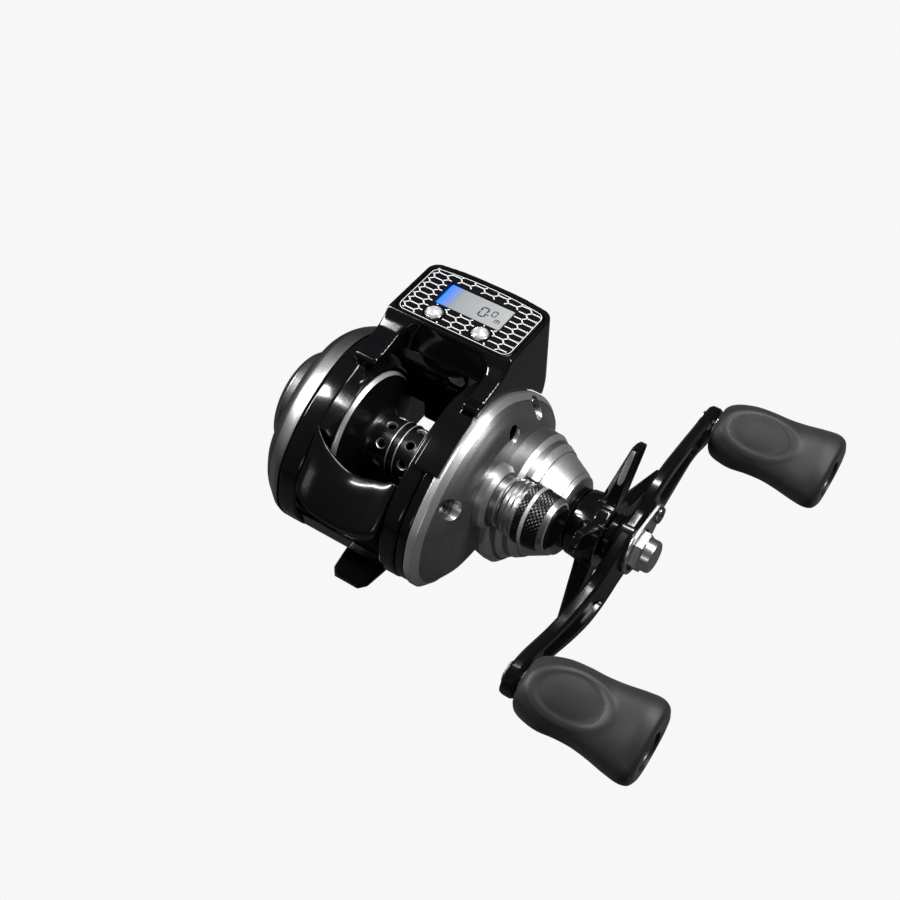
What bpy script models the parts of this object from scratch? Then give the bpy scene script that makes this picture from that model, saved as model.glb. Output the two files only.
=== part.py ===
"""Low-profile baitcasting reel with an electronic line counter, modelled piece by piece.

Frame of the part: origin at the middle of the reel foot's flat underside, +X to the handle side,
+Y towards the rod tip, +Z up. Sizes are metres. The helpers take places relative to the spool's
axis, because every shaft of the reel is set out from that axis.
"""
import bpy
import bmesh
from math import acos, atan2, cos, hypot, pi, radians, sin
from mathutils import Matrix, Vector

MM = 0.001

# Clearances that many pieces share
TOUCH = 0.3 * MM          # between pieces that rest on each other
RUN = 0.4 * MM            # round a turning or sliding piece
OVERRUN = 1.0 * MM        # how far a cutter passes the face that it cuts
SMALL_STEPS = 12
SMOOTH_ANGLE = radians(35)

# Spool and the walls that stand beside it
SPOOL_RADIUS = 17.0 * MM
SPOOL_WIDTH = 22.3 * MM
SPOOL_MID_X = -1.05 * MM
ARBOR_RADIUS = 7.0 * MM
ARBOR_WALL = 1.0 * MM
ARBOR_WEB = 2.4 * MM
ARBOR_HOLES = 8
ARBOR_HOLE_RADIUS = 1.25 * MM
PIN_STEPS = 6
FLANGE = 1.0 * MM
FLANGE_ROOT = 2.6 * MM
SHAFT_RADIUS = 1.7 * MM
RIM_GAP = 0.6 * MM        # between the spool's rim and the ring round it
RIM_NEST = 0.6 * MM       # how deep the rims sit in their rings
FLANGE_GAP = 1.0 * MM
RIGHT_WALL = 2.9 * MM
LEFT_SLAB = 5.6 * MM
COLLAR_REACH = 3.8 * MM

# Side outline shared by frame, set plate, palm plate and gear cover
TOP_COVER = 2.8 * MM
BOTTOM_COVER = 4.8 * MM
REAR_COVER = 9.4 * MM
FRONT_COVER = 23.4 * MM
SIDE_LENGTH_SHARES = (0.0, 0.037, 0.126, 0.232, 0.365, 0.5, 0.635, 0.769, 0.882, 0.962, 1.0,
                      0.965, 0.86, 0.515, 0.19, 0.062, 0.012)
SIDE_HEIGHT_SHARES = (0.392, 0.6, 0.765, 0.885, 0.972, 1.0, 0.936, 0.79, 0.612, 0.41, 0.215,
                      0.06, 0.0, 0.0, 0.014, 0.115, 0.25)
SIDE_SPAN_STEPS = 2

# Floor and foot
SPOOL_FLOOR_GAP = 1.3 * MM
FLOOR = 1.9 * MM
FOOT_THICKNESS = 2.8 * MM
FOOT_LENGTH = 66.0 * MM
FOOT_WIDTH = 13.0 * MM
FOOT_TIP = 1.2 * MM
FOOT_LENGTH_SHARES = (0.0, 0.03, 0.12, 0.26, 0.32, 0.68, 0.74, 0.88, 0.97, 1.0)
FOOT_WIDTH_SHARES = (0.55, 0.80, 0.93, 1.0, 1.0, 1.0, 1.0, 0.93, 0.80, 0.55)
FOOT_HEIGHT_SHARES = (0.0, 0.05, 0.25, 0.60, 1.0, 1.0, 0.60, 0.25, 0.05, 0.0)

SPOOL_Y = -5.0 * MM
SPOOL_Z = SPOOL_RADIUS + SPOOL_FLOOR_GAP + FLOOR + TOUCH + FOOT_THICKNESS

# Gears: the tooth counts and one module set every centre distance
GEAR_MODULE = 0.5 * MM
MAIN_TEETH = 61
PINION_TEETH = 10
WIND_DRIVE_TEETH = 30
WIND_COG_TEETH = 21
MAIN_ANGLE = radians(-40.0)
WORM_ANGLE = radians(43.0)
MESH_GAP = 0.35 * MM
GEAR_ADDENDUM_SHARE = 0.5
GEAR_DEDENDUM_SHARE = 0.8
TOOTH_PLACE_SHARES = (-0.3, -0.12, 0.12, 0.3)


def half_pitch(teeth):
    """Pitch radius of a gear with that many teeth."""
    return teeth * GEAR_MODULE / 2


MAIN_Y = (half_pitch(MAIN_TEETH) + half_pitch(PINION_TEETH)) * cos(MAIN_ANGLE)
MAIN_Z = (half_pitch(MAIN_TEETH) + half_pitch(PINION_TEETH)) * sin(MAIN_ANGLE)
WORM_Y = MAIN_Y + (half_pitch(WIND_DRIVE_TEETH) + half_pitch(WIND_COG_TEETH)) * cos(WORM_ANGLE)
WORM_Z = MAIN_Z + (half_pitch(WIND_DRIVE_TEETH) + half_pitch(WIND_COG_TEETH)) * sin(WORM_ANGLE)
SPOOL_AXIS = (0.0, 0.0)
MAIN_AXIS = (MAIN_Y, MAIN_Z)
WORM_AXIS = (WORM_Y, WORM_Z)

# Stations along the shafts, from the palm side to the handle side
SPOOL_LEFT = SPOOL_MID_X - SPOOL_WIDTH / 2
SPOOL_RIGHT = SPOOL_MID_X + SPOOL_WIDTH / 2
COLLAR_END = SPOOL_LEFT + RIM_NEST
SLAB_IN = SPOOL_LEFT - COLLAR_REACH + TOUCH
SLAB_OUT = SLAB_IN - LEFT_SLAB
RIGHT_IN = SPOOL_RIGHT - RIM_NEST
RECESS_FLOOR = SPOOL_RIGHT + FLANGE_GAP
RIGHT_OUT = RECESS_FLOOR + RIGHT_WALL
SET_PLATE = 2.4 * MM
SET_IN = RIGHT_OUT + TOUCH
SET_OUT = SET_IN + SET_PLATE
COVER_IN = SET_OUT + TOUCH

RING_BORE = SPOOL_RADIUS + RIM_GAP
TOP_Z = SPOOL_RADIUS + TOP_COVER
BOTTOM_Z = -SPOOL_RADIUS - BOTTOM_COVER
REAR_Y = -SPOOL_RADIUS - REAR_COVER
FRONT_Y = SPOOL_RADIUS + FRONT_COVER
FLOOR_TOP = -SPOOL_RADIUS - SPOOL_FLOOR_GAP
FLOOR_BOTTOM = FLOOR_TOP - FLOOR
FOOT_TOP = FLOOR_BOTTOM - TOUCH
FOOT_BOTTOM = FOOT_TOP - FOOT_THICKNESS

# Frame
RING_STEPS = 32
COLLAR_RADIUS = 20.4 * MM
COLLAR_LIP = 0.8 * MM
COLLAR_SLOPE_END = 1.3 * MM
FLOOR_FRONT_Y = 19.5 * MM
FLOOR_REAR_Y = -25.2 * MM
FLOOR_REAR_RISE = 11.0 * MM
FLOOR_LENGTH_SHARES = (1.0, 0.19, 0.04, 0.0, 0.045, 0.085, 0.22, 1.0)
FLOOR_HEIGHT_SHARES = (0.0, 0.0, 0.42, 1.0, 1.0, 0.5, 0.172, 0.172)
NOSE_BAR_Y = 35.5 * MM
NOSE_BAR_Z = -16.2 * MM
NOSE_BAR_RADIUS = 2.8 * MM
THUMB_NOTCH_TOP = 15.5 * MM
THUMB_NOTCH_BOTTOM = -8.0 * MM
THUMB_NOTCH_FRONT = -14.6 * MM
GUIDE_NOTCH_REAR = 13.5 * MM

# Spool, its shaft and bearings
SPOOL_STEPS = 28
FLANGE_HUB_RADIUS = 11.5 * MM
FLANGE_RIM = 1.3 * MM
RIM_CHAMFER = 0.9 * MM
ARBOR_BLEND = 2.0 * MM
HOLE_ROW_OFFSET = 3.6 * MM
BALANCE_RING_OFFSET = 1.1 * MM
BALANCE_RING_WIDTH = 0.7 * MM
BALANCE_RING_RISE = 0.35 * MM
SPOOL_HUB_RADIUS = 3.4 * MM
SPOOL_HUB = 8.0 * MM
SHAFT_LEFT_INSET = 2.4 * MM
SHAFT_LEFT_X = SLAB_OUT + SHAFT_LEFT_INSET
SHAFT_RIGHT_FROM_COVER = 14.2 * MM
SHAFT_RIGHT_X = COVER_IN + SHAFT_RIGHT_FROM_COVER
SHAFT_TIP_RADIUS = 1.2 * MM
BEARING_WIDTH = 2.4 * MM
BEARING_RADIUS = 5.0 * MM
ROTOR_RADIUS = 9.0 * MM
ROTOR_THICKNESS = 0.9 * MM
COUNT_RING_INNER = 10.4 * MM
COUNT_RING_OUTER = 12.9 * MM
COUNT_RING_THICKNESS = 0.9 * MM

# Brake on the palm side
HOUSING_DEPTH = 4.6 * MM
HOUSING_BACK_INSET = 0.1 * MM
HOUSING_BACK_X = SLAB_OUT + HOUSING_BACK_INSET
HOUSING_POCKET_RADIUS = 13.4 * MM
HOUSING_POCKET_DEPTH = 1.8 * MM
BRAKE_RING_INNER = 6.0 * MM
BRAKE_RING_OUTER = 9.4 * MM
BRAKE_RING_THICKNESS = 1.2 * MM
DIAL_RADIUS = 8.0 * MM
DIAL_THICKNESS = 1.4 * MM
DIAL_STEM_RADIUS = 2.4 * MM
DIAL_STEM = 8.6 * MM

# Palm side plate
PALM_CROWN = 8.0 * MM
PALM_SHOULDER_Y = 10.0 * MM
PALM_SHOULDER_Z = 12.0 * MM
PALM_CROWN_Y = 3.0 * MM
PALM_CROWN_Z = 0.0 * MM
BOSS_RADIUS = 15.2 * MM
BOSS_FACE_RADIUS = 13.2 * MM
BOSS_EDGE_FROM_SLAB = 9.3 * MM
BOSS_EDGE_X = SLAB_OUT - BOSS_EDGE_FROM_SLAB
BOSS_FACE_FROM_SLAB = 11.0 * MM
BOSS_FACE_X = SLAB_OUT - BOSS_FACE_FROM_SLAB
PALM_WALL = 1.5 * MM
PALM_CAVITY_RADIUS = 13.6 * MM
PALM_CAVITY_FROM_SLAB = 7.3 * MM
PALM_CAVITY_X = SLAB_OUT - PALM_CAVITY_FROM_SLAB
PALM_DEPTH_SHARES = (0.0, 0.20, 0.42, 0.64, 0.86, 1.0)
PALM_SCALE_SHARES = (1.0, 0.985, 0.95, 0.905, 0.82, 0.62)
PALM_SHIFT_SHARES = (0.0, 0.0, 0.0, 0.35, 0.8, 1.0)
PALM_SCREW_FROM_SLAB = 2.9 * MM
PALM_SCREW_X = SLAB_OUT - PALM_SCREW_FROM_SLAB
BOSS_EDGE = 1.7 * MM

# Gear side cover
COVER_RIM = 3.0 * MM
COVER_DOME = 7.6 * MM
COVER_DEPTH_SHARES = (0.0, 0.20, 0.38, 0.62, 0.84, 1.0)
COVER_SCALE_SHARES = (1.0, 0.985, 0.945, 0.875, 0.79, 0.66)
COVER_MID_Y = 4.5 * MM
COVER_MID_Z = -2.5 * MM
LOWER_HOUSE_Y = 13.3 * MM
LOWER_HOUSE_Z = -13.2 * MM
LOWER_HOUSE_RADIUS = 19.2 * MM
LOWER_HOUSE_START_RADIUS = 17.4 * MM
LOWER_HOUSE_FULL_FROM_COVER = 6.0 * MM
LOWER_HOUSE_FULL_X = COVER_IN + LOWER_HOUSE_FULL_FROM_COVER
PLATFORM_ONE_FROM_COVER = 10.5 * MM
PLATFORM_ONE_X = COVER_IN + PLATFORM_ONE_FROM_COVER
PLATFORM_EDGE = 0.6 * MM
LOBE_RADIUS = 6.4 * MM
LOBE_STEP = 0.8 * MM
LOBE_FOOT_RADIUS = 7.6 * MM
LOBE_FOOT_FROM_COVER = 8.4 * MM
LOBE_FOOT_X = COVER_IN + LOBE_FOOT_FROM_COVER
LOBE_FROM_COVER = 12.2 * MM
LOBE_X = COVER_IN + LOBE_FROM_COVER
PLATFORM_TWO_RADIUS = 18.3 * MM
PLATFORM_TWO_FROM_COVER = 14.5 * MM
PLATFORM_TWO_X = COVER_IN + PLATFORM_TWO_FROM_COVER
PLATFORM_FACE_FROM_COVER = 16.4 * MM
PLATFORM_FACE_X = COVER_IN + PLATFORM_FACE_FROM_COVER
PLATFORM_FACE_RADIUS = 16.4 * MM
CONE_FOOT_RADIUS = 14.3 * MM
CONE_TOP_RADIUS = 10.8 * MM
CONE_TOP_FROM_COVER = 23.3 * MM
CONE_TOP_X = COVER_IN + CONE_TOP_FROM_COVER
KNOB_SEAT_RADIUS = 8.2 * MM
KNOB_SEAT_FROM_COVER = 13.2 * MM
KNOB_SEAT_X = COVER_IN + KNOB_SEAT_FROM_COVER
SPIGOT_RADIUS = 5.2 * MM
SPIGOT_FROM_COVER = 21.2 * MM
SPIGOT_X = COVER_IN + SPIGOT_FROM_COVER
SPIGOT_BORE = 3.9 * MM
GEAR_ROOM_RADIUS = 16.3 * MM
GEAR_ROOM_FROM_COVER = 8.6 * MM
GEAR_ROOM_X = COVER_IN + GEAR_ROOM_FROM_COVER
PINION_ROOM_RADIUS = 4.8 * MM
PINION_ROOM_FROM_COVER = 11.0 * MM
PINION_ROOM_X = COVER_IN + PINION_ROOM_FROM_COVER
COG_ROOM_RADIUS = 6.0 * MM
COG_ROOM_FROM_COVER = 2.4 * MM
COG_ROOM_X = COVER_IN + COG_ROOM_FROM_COVER
CAM_ROOM_FROM_COVER = 2.4 * MM
CAM_ROOM_X = COVER_IN + CAM_ROOM_FROM_COVER

# Gear train
DRIVE_SHAFT_RADIUS = 2.6 * MM
DRIVE_SHAFT_NECK = 2.0 * MM
DRIVE_SHOULDER_RADIUS = 5.4 * MM
DRIVE_SHOULDER = 0.8 * MM
DRIVE_THREAD_RADIUS = 2.2 * MM
DRIVE_THREAD_FROM_COVER = 33.9 * MM
DRIVE_THREAD_X = COVER_IN + DRIVE_THREAD_FROM_COVER
DRIVE_SEAT = 1.9 * MM
WIND_GEAR_FROM_COVER = 0.3 * MM
WIND_GEAR_X = COVER_IN + WIND_GEAR_FROM_COVER
WIND_GEAR_WIDTH = 1.4 * MM
MAIN_GEAR_FROM_COVER = 3.4 * MM
MAIN_GEAR_X = COVER_IN + MAIN_GEAR_FROM_COVER
MAIN_GEAR_WIDTH = 2.9 * MM
MAIN_GEAR_DISH = 1.0 * MM
MAIN_GEAR_DISH_RADIUS = 12.6 * MM
PINION_FROM_COVER = 2.0 * MM
PINION_X = COVER_IN + PINION_FROM_COVER
PINION_TEETH_WIDTH = 5.0 * MM
PINION_NECK = 1.4 * MM
PINION_NECK_RADIUS = 2.0 * MM
PINION_END = 1.0 * MM
PINION_TAIL_INSET = 2.0 * MM
PINION_TAIL_X = COVER_IN - PINION_TAIL_INSET
PINION_COLLAR_RADIUS = 3.0 * MM
DRAG_RADIUS = 11.8 * MM
DRAG_WASHER = 0.8 * MM
PRESSURE_PLATE = 1.1 * MM
SLEEVE_RADIUS = 4.4 * MM
CLUTCH_BEARING_INNER = 4.8 * MM
CLUTCH_BEARING_RADIUS = 7.2 * MM
CLUTCH_BEARING_FROM_COVER = 13.9 * MM
CLUTCH_BEARING_X = COVER_IN + CLUTCH_BEARING_FROM_COVER
CLUTCH_BEARING_WIDTH = 7.0 * MM
CLUTCH_COVER = 0.8 * MM

# Clutch
YOKE_THICKNESS = 0.8 * MM
YOKE_RADIUS = 3.6 * MM
YOKE_ARM_Z = 3.0 * MM
YOKE_ARM_HALF = 1.2 * MM
CAM_FROM_COVER = 0.3 * MM
CAM_X = COVER_IN + CAM_FROM_COVER
CAM_THICKNESS = 1.6 * MM
CAM_INNER = 6.0 * MM
CAM_OUTER = 9.3 * MM
CAM_TAIL_Y = -17.8 * MM
CAM_TAIL_Z = -1.2 * MM
CAM_TAIL_HALF = 2.0 * MM

# Thumb bar
THUMB_LEFT_INSET = 6.1 * MM
THUMB_LEFT_TIP_X = SLAB_OUT + THUMB_LEFT_INSET
THUMB_RIGHT_INSET = 7.9 * MM
THUMB_RIGHT_X = COVER_IN - THUMB_RIGHT_INSET
THUMB_REAR_Y = -27.8 * MM
THUMB_FRONT_Y = -15.2 * MM
THUMB_BOTTOM_Z = -5.0 * MM
THUMB_TOP_Z = 13.6 * MM
THUMB_WIDTH_SHARES = (0.0, 0.05, 0.20, 0.48, 0.78, 0.95, 1.0)
THUMB_SECTION_SHARES = (
    ((0.27, 0.45), (0.62, 0.60), (1.0, 1.0), (0.93, 1.0), (0.58, 0.72), (0.20, 0.42), (0.22, 0.36)),
    ((0.16, 0.30), (0.66, 0.42), (0.93, 0.90), (0.85, 0.93), (0.50, 0.70), (0.10, 0.36), (0.11, 0.27)),
    ((0.08, 0.12), (0.64, 0.26), (0.86, 0.72), (0.74, 0.76), (0.43, 0.58), (0.03, 0.22), (0.03, 0.14)),
    ((0.06, 0.08), (0.66, 0.22), (0.80, 0.59), (0.67, 0.62), (0.42, 0.52), (0.0, 0.18), (0.0, 0.10)),
    ((0.07, 0.10), (0.66, 0.24), (0.83, 0.66), (0.70, 0.69), (0.43, 0.55), (0.01, 0.25), (0.01, 0.15)),
    ((0.11, 0.18), (0.66, 0.32), (0.86, 0.74), (0.76, 0.77), (0.47, 0.62), (0.06, 0.34), (0.06, 0.22)),
    ((0.20, 0.30), (0.66, 0.42), (0.86, 0.72), (0.77, 0.74), (0.52, 0.62), (0.16, 0.38), (0.16, 0.31)),
)
THUMB_LUG_Y = -20.8 * MM
THUMB_LUG_Z = 0.2 * MM
THUMB_LUG_HALF = 1.3 * MM
THUMB_LUG_INSET = 0.1 * MM
THUMB_LUG_END_X = COVER_IN - THUMB_LUG_INSET
THUMB_LUG_LEFT_INSET = 3.7 * MM
THUMB_LUG_LEFT_X = SLAB_OUT + THUMB_LUG_LEFT_INSET
THUMB_TRAVEL = 3.2 * MM
CAM_SWING = THUMB_TRAVEL / -THUMB_LUG_Y

# Level wind
WORM_RADIUS = 2.3 * MM
WORM_CORE_RADIUS = 1.7 * MM
WORM_END_RADIUS = 1.4 * MM
WORM_LEFT_INSET = 2.5 * MM
WORM_LEFT_X = SLAB_OUT + WORM_LEFT_INSET
WORM_GROOVES = 8
WORM_LAND_SHARE = 0.16
GUARD_RADIUS = 3.5 * MM
GUARD_BORE = 2.75 * MM
GUARD_SOCKET = 0.8 * MM
GUARD_SLOT = 1.5 * MM
GUIDE_X = -3.5 * MM
GUIDE_HALF = 4.0 * MM
GUIDE_REAR = 5.2 * MM
GUIDE_FRONT = 9.4 * MM
GUIDE_DOWN = 5.6 * MM
GUIDE_EYE_RISE = 8.6 * MM
GUIDE_LENGTH_SHARES = (0.0, 0.0, 0.14, 0.56, 0.62, 0.93, 1.0, 1.0, 0.90, 0.72, 0.66, 0.12)
GUIDE_HEIGHT_SHARES = (0.08, 0.64, 0.74, 0.76, 1.0, 1.0, 0.94, 0.10, 0.02, 0.0, 0.0, 0.0)
EYE_HALF = 3.0 * MM
EYE_RADIUS = 1.7 * MM
EYE_WALL = 0.9 * MM
EYE_DEPTH = 3.4 * MM
EYE_Y = 5.6 * MM
EYE_Z = 4.4 * MM
EYE_STEPS = 5
PAWL_RADIUS = 1.4 * MM
PAWL_CAP_RADIUS = 2.5 * MM
PAWL_CAP = 1.6 * MM
GUIDE_ROD_RADIUS = 1.0 * MM
GUIDE_ROD_Y = 7.2 * MM
GUIDE_ROD_Z = -1.8 * MM

# Counter pod
POD_HALF_WIDTH = 18.2 * MM
POD_TOP_Z = 27.0 * MM
POD_REAR_Y = 3.2 * MM
POD_FRONT_Y = 39.3 * MM
POD_CORNER_Y = 38.2 * MM
POD_LOW_Z = 0.5 * MM
POD_CORNER = 3.4 * MM
CORNER_STEPS = 4
BOW_STEPS = 6
POD_LENGTH_SHARES = (0.0, 0.0, 0.02, 0.09, 0.19, 0.28, 0.343, 0.40, 0.416, 0.989, 1.0, 0.997, 0.964, 0.867,
                     0.715, 0.465, 0.188)
POD_HEIGHT_SHARES = (0.66, 0.796, 0.826, 0.823, 0.849, 0.879, 0.925, 0.992, 1.0, 1.0, 0.98, 0.49, 0.34, 0.057,
                     0.0, 0.283, 0.547)
LEG_INNER_LEFT = COLLAR_END
LEG_RIGHT_INSET = 4.1 * MM
LEG_INNER_RIGHT = RIGHT_IN + LEG_RIGHT_INSET
NICHE_FRONT_Y = 17.2 * MM
NICHE_LIP_Y = 14.3 * MM
NICHE_LIP = 1.3 * MM
NICHE_TOP_Z = 25.6 * MM
NICHE_BOTTOM_Z = 17.0 * MM
BELLY_Z = 11.6 * MM
BELLY_Y = 20.5 * MM
ROOM_HALF_WIDTH = 15.6 * MM
ROOM_REAR_Y = 19.6 * MM
ROOM_FRONT_Y = 36.2 * MM
ROOM_FLOOR_Z = 17.0 * MM
FACE_HALF_WIDTH = 16.8 * MM
FACE_REAR_Y = 18.3 * MM
FACE_FRONT_Y = 37.4 * MM
FACE_THICKNESS = 1.2 * MM
FACE_CORNER = 2.4 * MM
FACE_SINK = 0.15 * MM
LCD_HALF_WIDTH = 9.35 * MM
LCD_REAR_Y = 25.7 * MM
LCD_FRONT_Y = 33.7 * MM
LCD_THICKNESS = 2.6 * MM
LCD_SINK = 0.45 * MM
BUTTON_Y = 21.8 * MM
MODE_BUTTON_X = -7.0 * MM
RESET_BUTTON_X = 6.6 * MM
BUTTON_RADIUS = 2.4 * MM
BUTTON_STEM_RADIUS = 1.7 * MM
BUTTON_CAP = 1.3 * MM
BUTTON_DOME = 0.4 * MM
BUTTON_SKIRT = 0.6 * MM
BUTTON_TRAVEL = 0.8 * MM
BOARD_HALF_WIDTH = 15.0 * MM
BOARD_THICKNESS = 1.0 * MM
BOARD_Z = 19.6 * MM
CELL_RADIUS = 7.8 * MM
CELL_THICKNESS = 2.0 * MM
CELL_Y = 27.9 * MM
CAP_LIP_RADIUS = 9.8 * MM
CAP_LIP = 0.9 * MM
CAP_PLUG = 1.5 * MM
COIN_SLOT_SHARE = 0.7

# Cast-control knob
CAST_COLLAR_FROM_COVER = 13.7 * MM
CAST_COLLAR_X = COVER_IN + CAST_COLLAR_FROM_COVER
CAST_COLLAR_RADIUS = 7.3 * MM
CAST_RIDGE = 1.3 * MM
CAST_RIDGE_RISE = 0.35 * MM
CAST_KNURL_FROM_COVER = 18.0 * MM
CAST_KNURL_X = COVER_IN + CAST_KNURL_FROM_COVER
CAST_KNURL_RADIUS = 7.8 * MM
CAST_BAND_FROM_COVER = 19.9 * MM
CAST_BAND_X = COVER_IN + CAST_BAND_FROM_COVER
CAST_BAND_RADIUS = 7.5 * MM
CAST_EDGE_FROM_COVER = 24.6 * MM
CAST_EDGE_X = COVER_IN + CAST_EDGE_FROM_COVER
CAST_EDGE_RADIUS = 7.2 * MM
CAST_FACE_FROM_COVER = 26.0 * MM
CAST_FACE_X = COVER_IN + CAST_FACE_FROM_COVER
CAST_FACE_RADIUS = 6.1 * MM
CAST_CAP_RADIUS = 5.5 * MM
CAST_CAP_FROM_COVER = 26.6 * MM
CAST_CAP_X = COVER_IN + CAST_CAP_FROM_COVER
CAST_CAP_DEPTH = 1.4 * MM
CAST_KNURLS = 20
CAST_KNURL_DEPTH = 0.3 * MM
CAST_PIN_RADIUS = 1.5 * MM

# Star drag
STAR_SPACER_RADIUS = 8.5 * MM
STAR_SPACER = 1.9 * MM
STAR_ARMS = 5
STAR_TURN = radians(66.4)
STAR_HUB_RADIUS = 9.6 * MM
STAR_HUB_END_FROM_COVER = 34.0 * MM
STAR_HUB_END_X = COVER_IN + STAR_HUB_END_FROM_COVER
STAR_TIP_RADIUS = 26.2 * MM
STAR_ROOT_FROM_COVER = 31.0 * MM
STAR_ROOT_X = COVER_IN + STAR_ROOT_FROM_COVER
STAR_TIP_FROM_COVER = 33.4 * MM
STAR_TIP_X = COVER_IN + STAR_TIP_FROM_COVER
STAR_ARM_THICKNESS = 3.3 * MM
STAR_TIP_THINNING_SHARE = 0.42
STAR_HUB_DRAFT = 0.6 * MM
STAR_ARM_ANGLE_SHARES = (-0.42, -0.30, -0.21, -0.13, -0.085, -0.045, 0.0, 0.045, 0.085, 0.13,
                         0.21, 0.30, 0.42)
STAR_REACH_SHARES = (0.0, 0.0, 0.05, 0.38, 0.94, 1.0, 1.0, 1.0, 0.94, 0.38, 0.05, 0.0, 0.0)

# Handle
HANDLE_HUB_FROM_COVER = 34.4 * MM
HANDLE_HUB_X = COVER_IN + HANDLE_HUB_FROM_COVER
HANDLE_HUB_END_FROM_COVER = 41.0 * MM
HANDLE_HUB_END_X = COVER_IN + HANDLE_HUB_END_FROM_COVER
HANDLE_HUB_RADIUS = 7.4 * MM
HANDLE_HUB_NECK = 6.2 * MM
KNOB_REACH = 47.8 * MM
ARM_THICKNESS = 3.2 * MM
ARM_FACE_FROM_COVER = 40.9 * MM
ARM_FACE_X = COVER_IN + ARM_FACE_FROM_COVER
ARM_DROP_X = 2.0 * MM
ARM_SWEEP = 5.6 * MM
ARM_HALF_WIDTH = 5.0 * MM
ARM_TURN = radians(0.8)
ARM_REACH_SHARES = (1.105, 1.09, 1.05, 1.0, 0.92, 0.82, 0.70, 0.55, 0.42, 0.33, 0.25, 0.14, 0.0)
ARM_WIDTH_SHARES = (0.22, 0.56, 0.90, 1.0, 0.96, 0.86, 0.90, 1.10, 1.28, 1.33, 1.38, 1.42, 1.46)
ARM_SWEEP_SHARES = (-0.15, -0.15, -0.15, -0.13, -0.05, 0.15, 0.41, 0.63, 0.73, 0.71, 0.56, 0.19, 0.0)
ARM_DROP_SHARES = (1.0, 1.0, 1.0, 1.0, 1.0, 0.95, 0.75, 0.45, 0.25, 0.15, 0.1, 0.0, 0.0)
KNOB_STATION = 3
ARM_BEVEL = 0.7 * MM
HANDLE_BORE = 2.55 * MM
NUT_HEX_END_FROM_COVER = 44.4 * MM
NUT_HEX_END_X = COVER_IN + NUT_HEX_END_FROM_COVER
NUT_RADIUS = 5.4 * MM
NUT_CAP_RADIUS = 4.3 * MM
NUT_CAP_FROM_COVER = 47.0 * MM
NUT_CAP_X = COVER_IN + NUT_CAP_FROM_COVER
NUT_POINTS = 24
NUT_EDGE_SHARE = 0.96
RETAINER_THICKNESS = 0.9 * MM
RETAINER_SCREW_Y = 9.6 * MM
RETAINER_SCREW_Z = 3.9 * MM
RETAINER_HUB_RADIUS = 6.9 * MM
RETAINER_TIP_RADIUS = 3.0 * MM
DRIVE_SHAFT_FROM_COVER = 45.2 * MM
DRIVE_SHAFT_END = COVER_IN + DRIVE_SHAFT_FROM_COVER

# Handle knobs
KNOB_LENGTH = 31.6 * MM
KNOB_HALF_WIDTH = 10.0 * MM
KNOB_HALF_THICKNESS = 7.1 * MM
KNOB_TILT = radians(20.0)
KNOB_POINTS = 20
KNOB_POWER_SHARE = 0.86
KNOB_STATION_SHARES = (0.0, 0.03, 0.10, 0.22, 0.36, 0.50, 0.64, 0.78, 0.90, 0.97, 1.0)
KNOB_WIDTH_SHARES = (0.62, 0.72, 0.82, 0.90, 0.90, 0.90, 0.95, 1.03, 1.07, 1.0, 0.84)
KNOB_SHIFT = 1.2 * MM
KNOB_SHIFT_SHARES = (0.0, 0.0, 0.2, 0.5, 0.9, 1.0, 1.0, 1.0, 1.0, 0.9, 0.8)
KNOB_THICKNESS_SHARES = (0.80, 0.90, 0.98, 1.0, 0.94, 0.88, 0.88, 0.92, 0.96, 0.88, 0.74)
KNOB_CAP_RADIUS = 4.4 * MM
KNOB_CAP_RECESS = 3.8 * MM
KNOB_CAP = 1.5 * MM
KNOB_CAP_SINK = 0.7 * MM
AXLE_RADIUS = 2.0 * MM
AXLE_FLANGE_RADIUS = 3.4 * MM
AXLE_FLANGE = 0.6 * MM
AXLE_RIVET_RADIUS = 2.9 * MM
AXLE_RIVET = 0.6 * MM
AXLE_SCREW_RADIUS = 3.0 * MM

# Screws
SCREW_HEAD_RADIUS = 1.7 * MM
SCREW_HEAD = 1.1 * MM
SCREW_SHANK_RADIUS = 0.9 * MM
SCREW_HOLE_RADIUS = 1.25 * MM
SCREW_SLOT = 0.45 * MM
SCREW_SLOT_DEPTH = 0.5 * MM
SCREW_EDGE = 0.25 * MM
SCREW_DEPTH = 4.2 * MM
SCREW_GRIP = 1.8 * MM
SIDE_SCREW_REAR_Y = -20.4 * MM
SIDE_SCREW_REAR_Z = -14.4 * MM
COVER_SCREW_FRONT_Y = 25.6 * MM
COVER_SCREW_FRONT_Z = 6.9 * MM
COVER_SCREW_REAR_Y = -14.6 * MM
COVER_SCREW_REAR_Z = 7.4 * MM
COVER_SCREW_REAR_FROM_COVER = 4.0 * MM
COVER_SCREW_REAR_X = COVER_IN + COVER_SCREW_REAR_FROM_COVER
COVER_SCREW_FRONT_FROM_COVER = 3.4 * MM
COVER_SCREW_FRONT_X = COVER_IN + COVER_SCREW_FRONT_FROM_COVER
COVER_SCREW_RADIUS = 2.2 * MM
PORT_Y = 10.5 * MM
PORT_Z = 11.7 * MM
PORT_RADIUS = 2.4 * MM
PORT_FROM_COVER = 4.8 * MM
PORT_X = COVER_IN + PORT_FROM_COVER
COVER_SCREWS = ((COVER_SCREW_REAR_Y, COVER_SCREW_REAR_Z), (COVER_SCREW_FRONT_Y, COVER_SCREW_FRONT_Z))
FOOT_SCREW_PITCH = 9.0 * MM
FOOT_SCREW_BACK_PITCH = 7.0 * MM
FOOT_MID_Y = -SPOOL_Y
FOOT_SCREWS = (FOOT_MID_Y - FOOT_SCREW_BACK_PITCH * 2, FOOT_MID_Y + FOOT_SCREW_PITCH)

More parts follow.
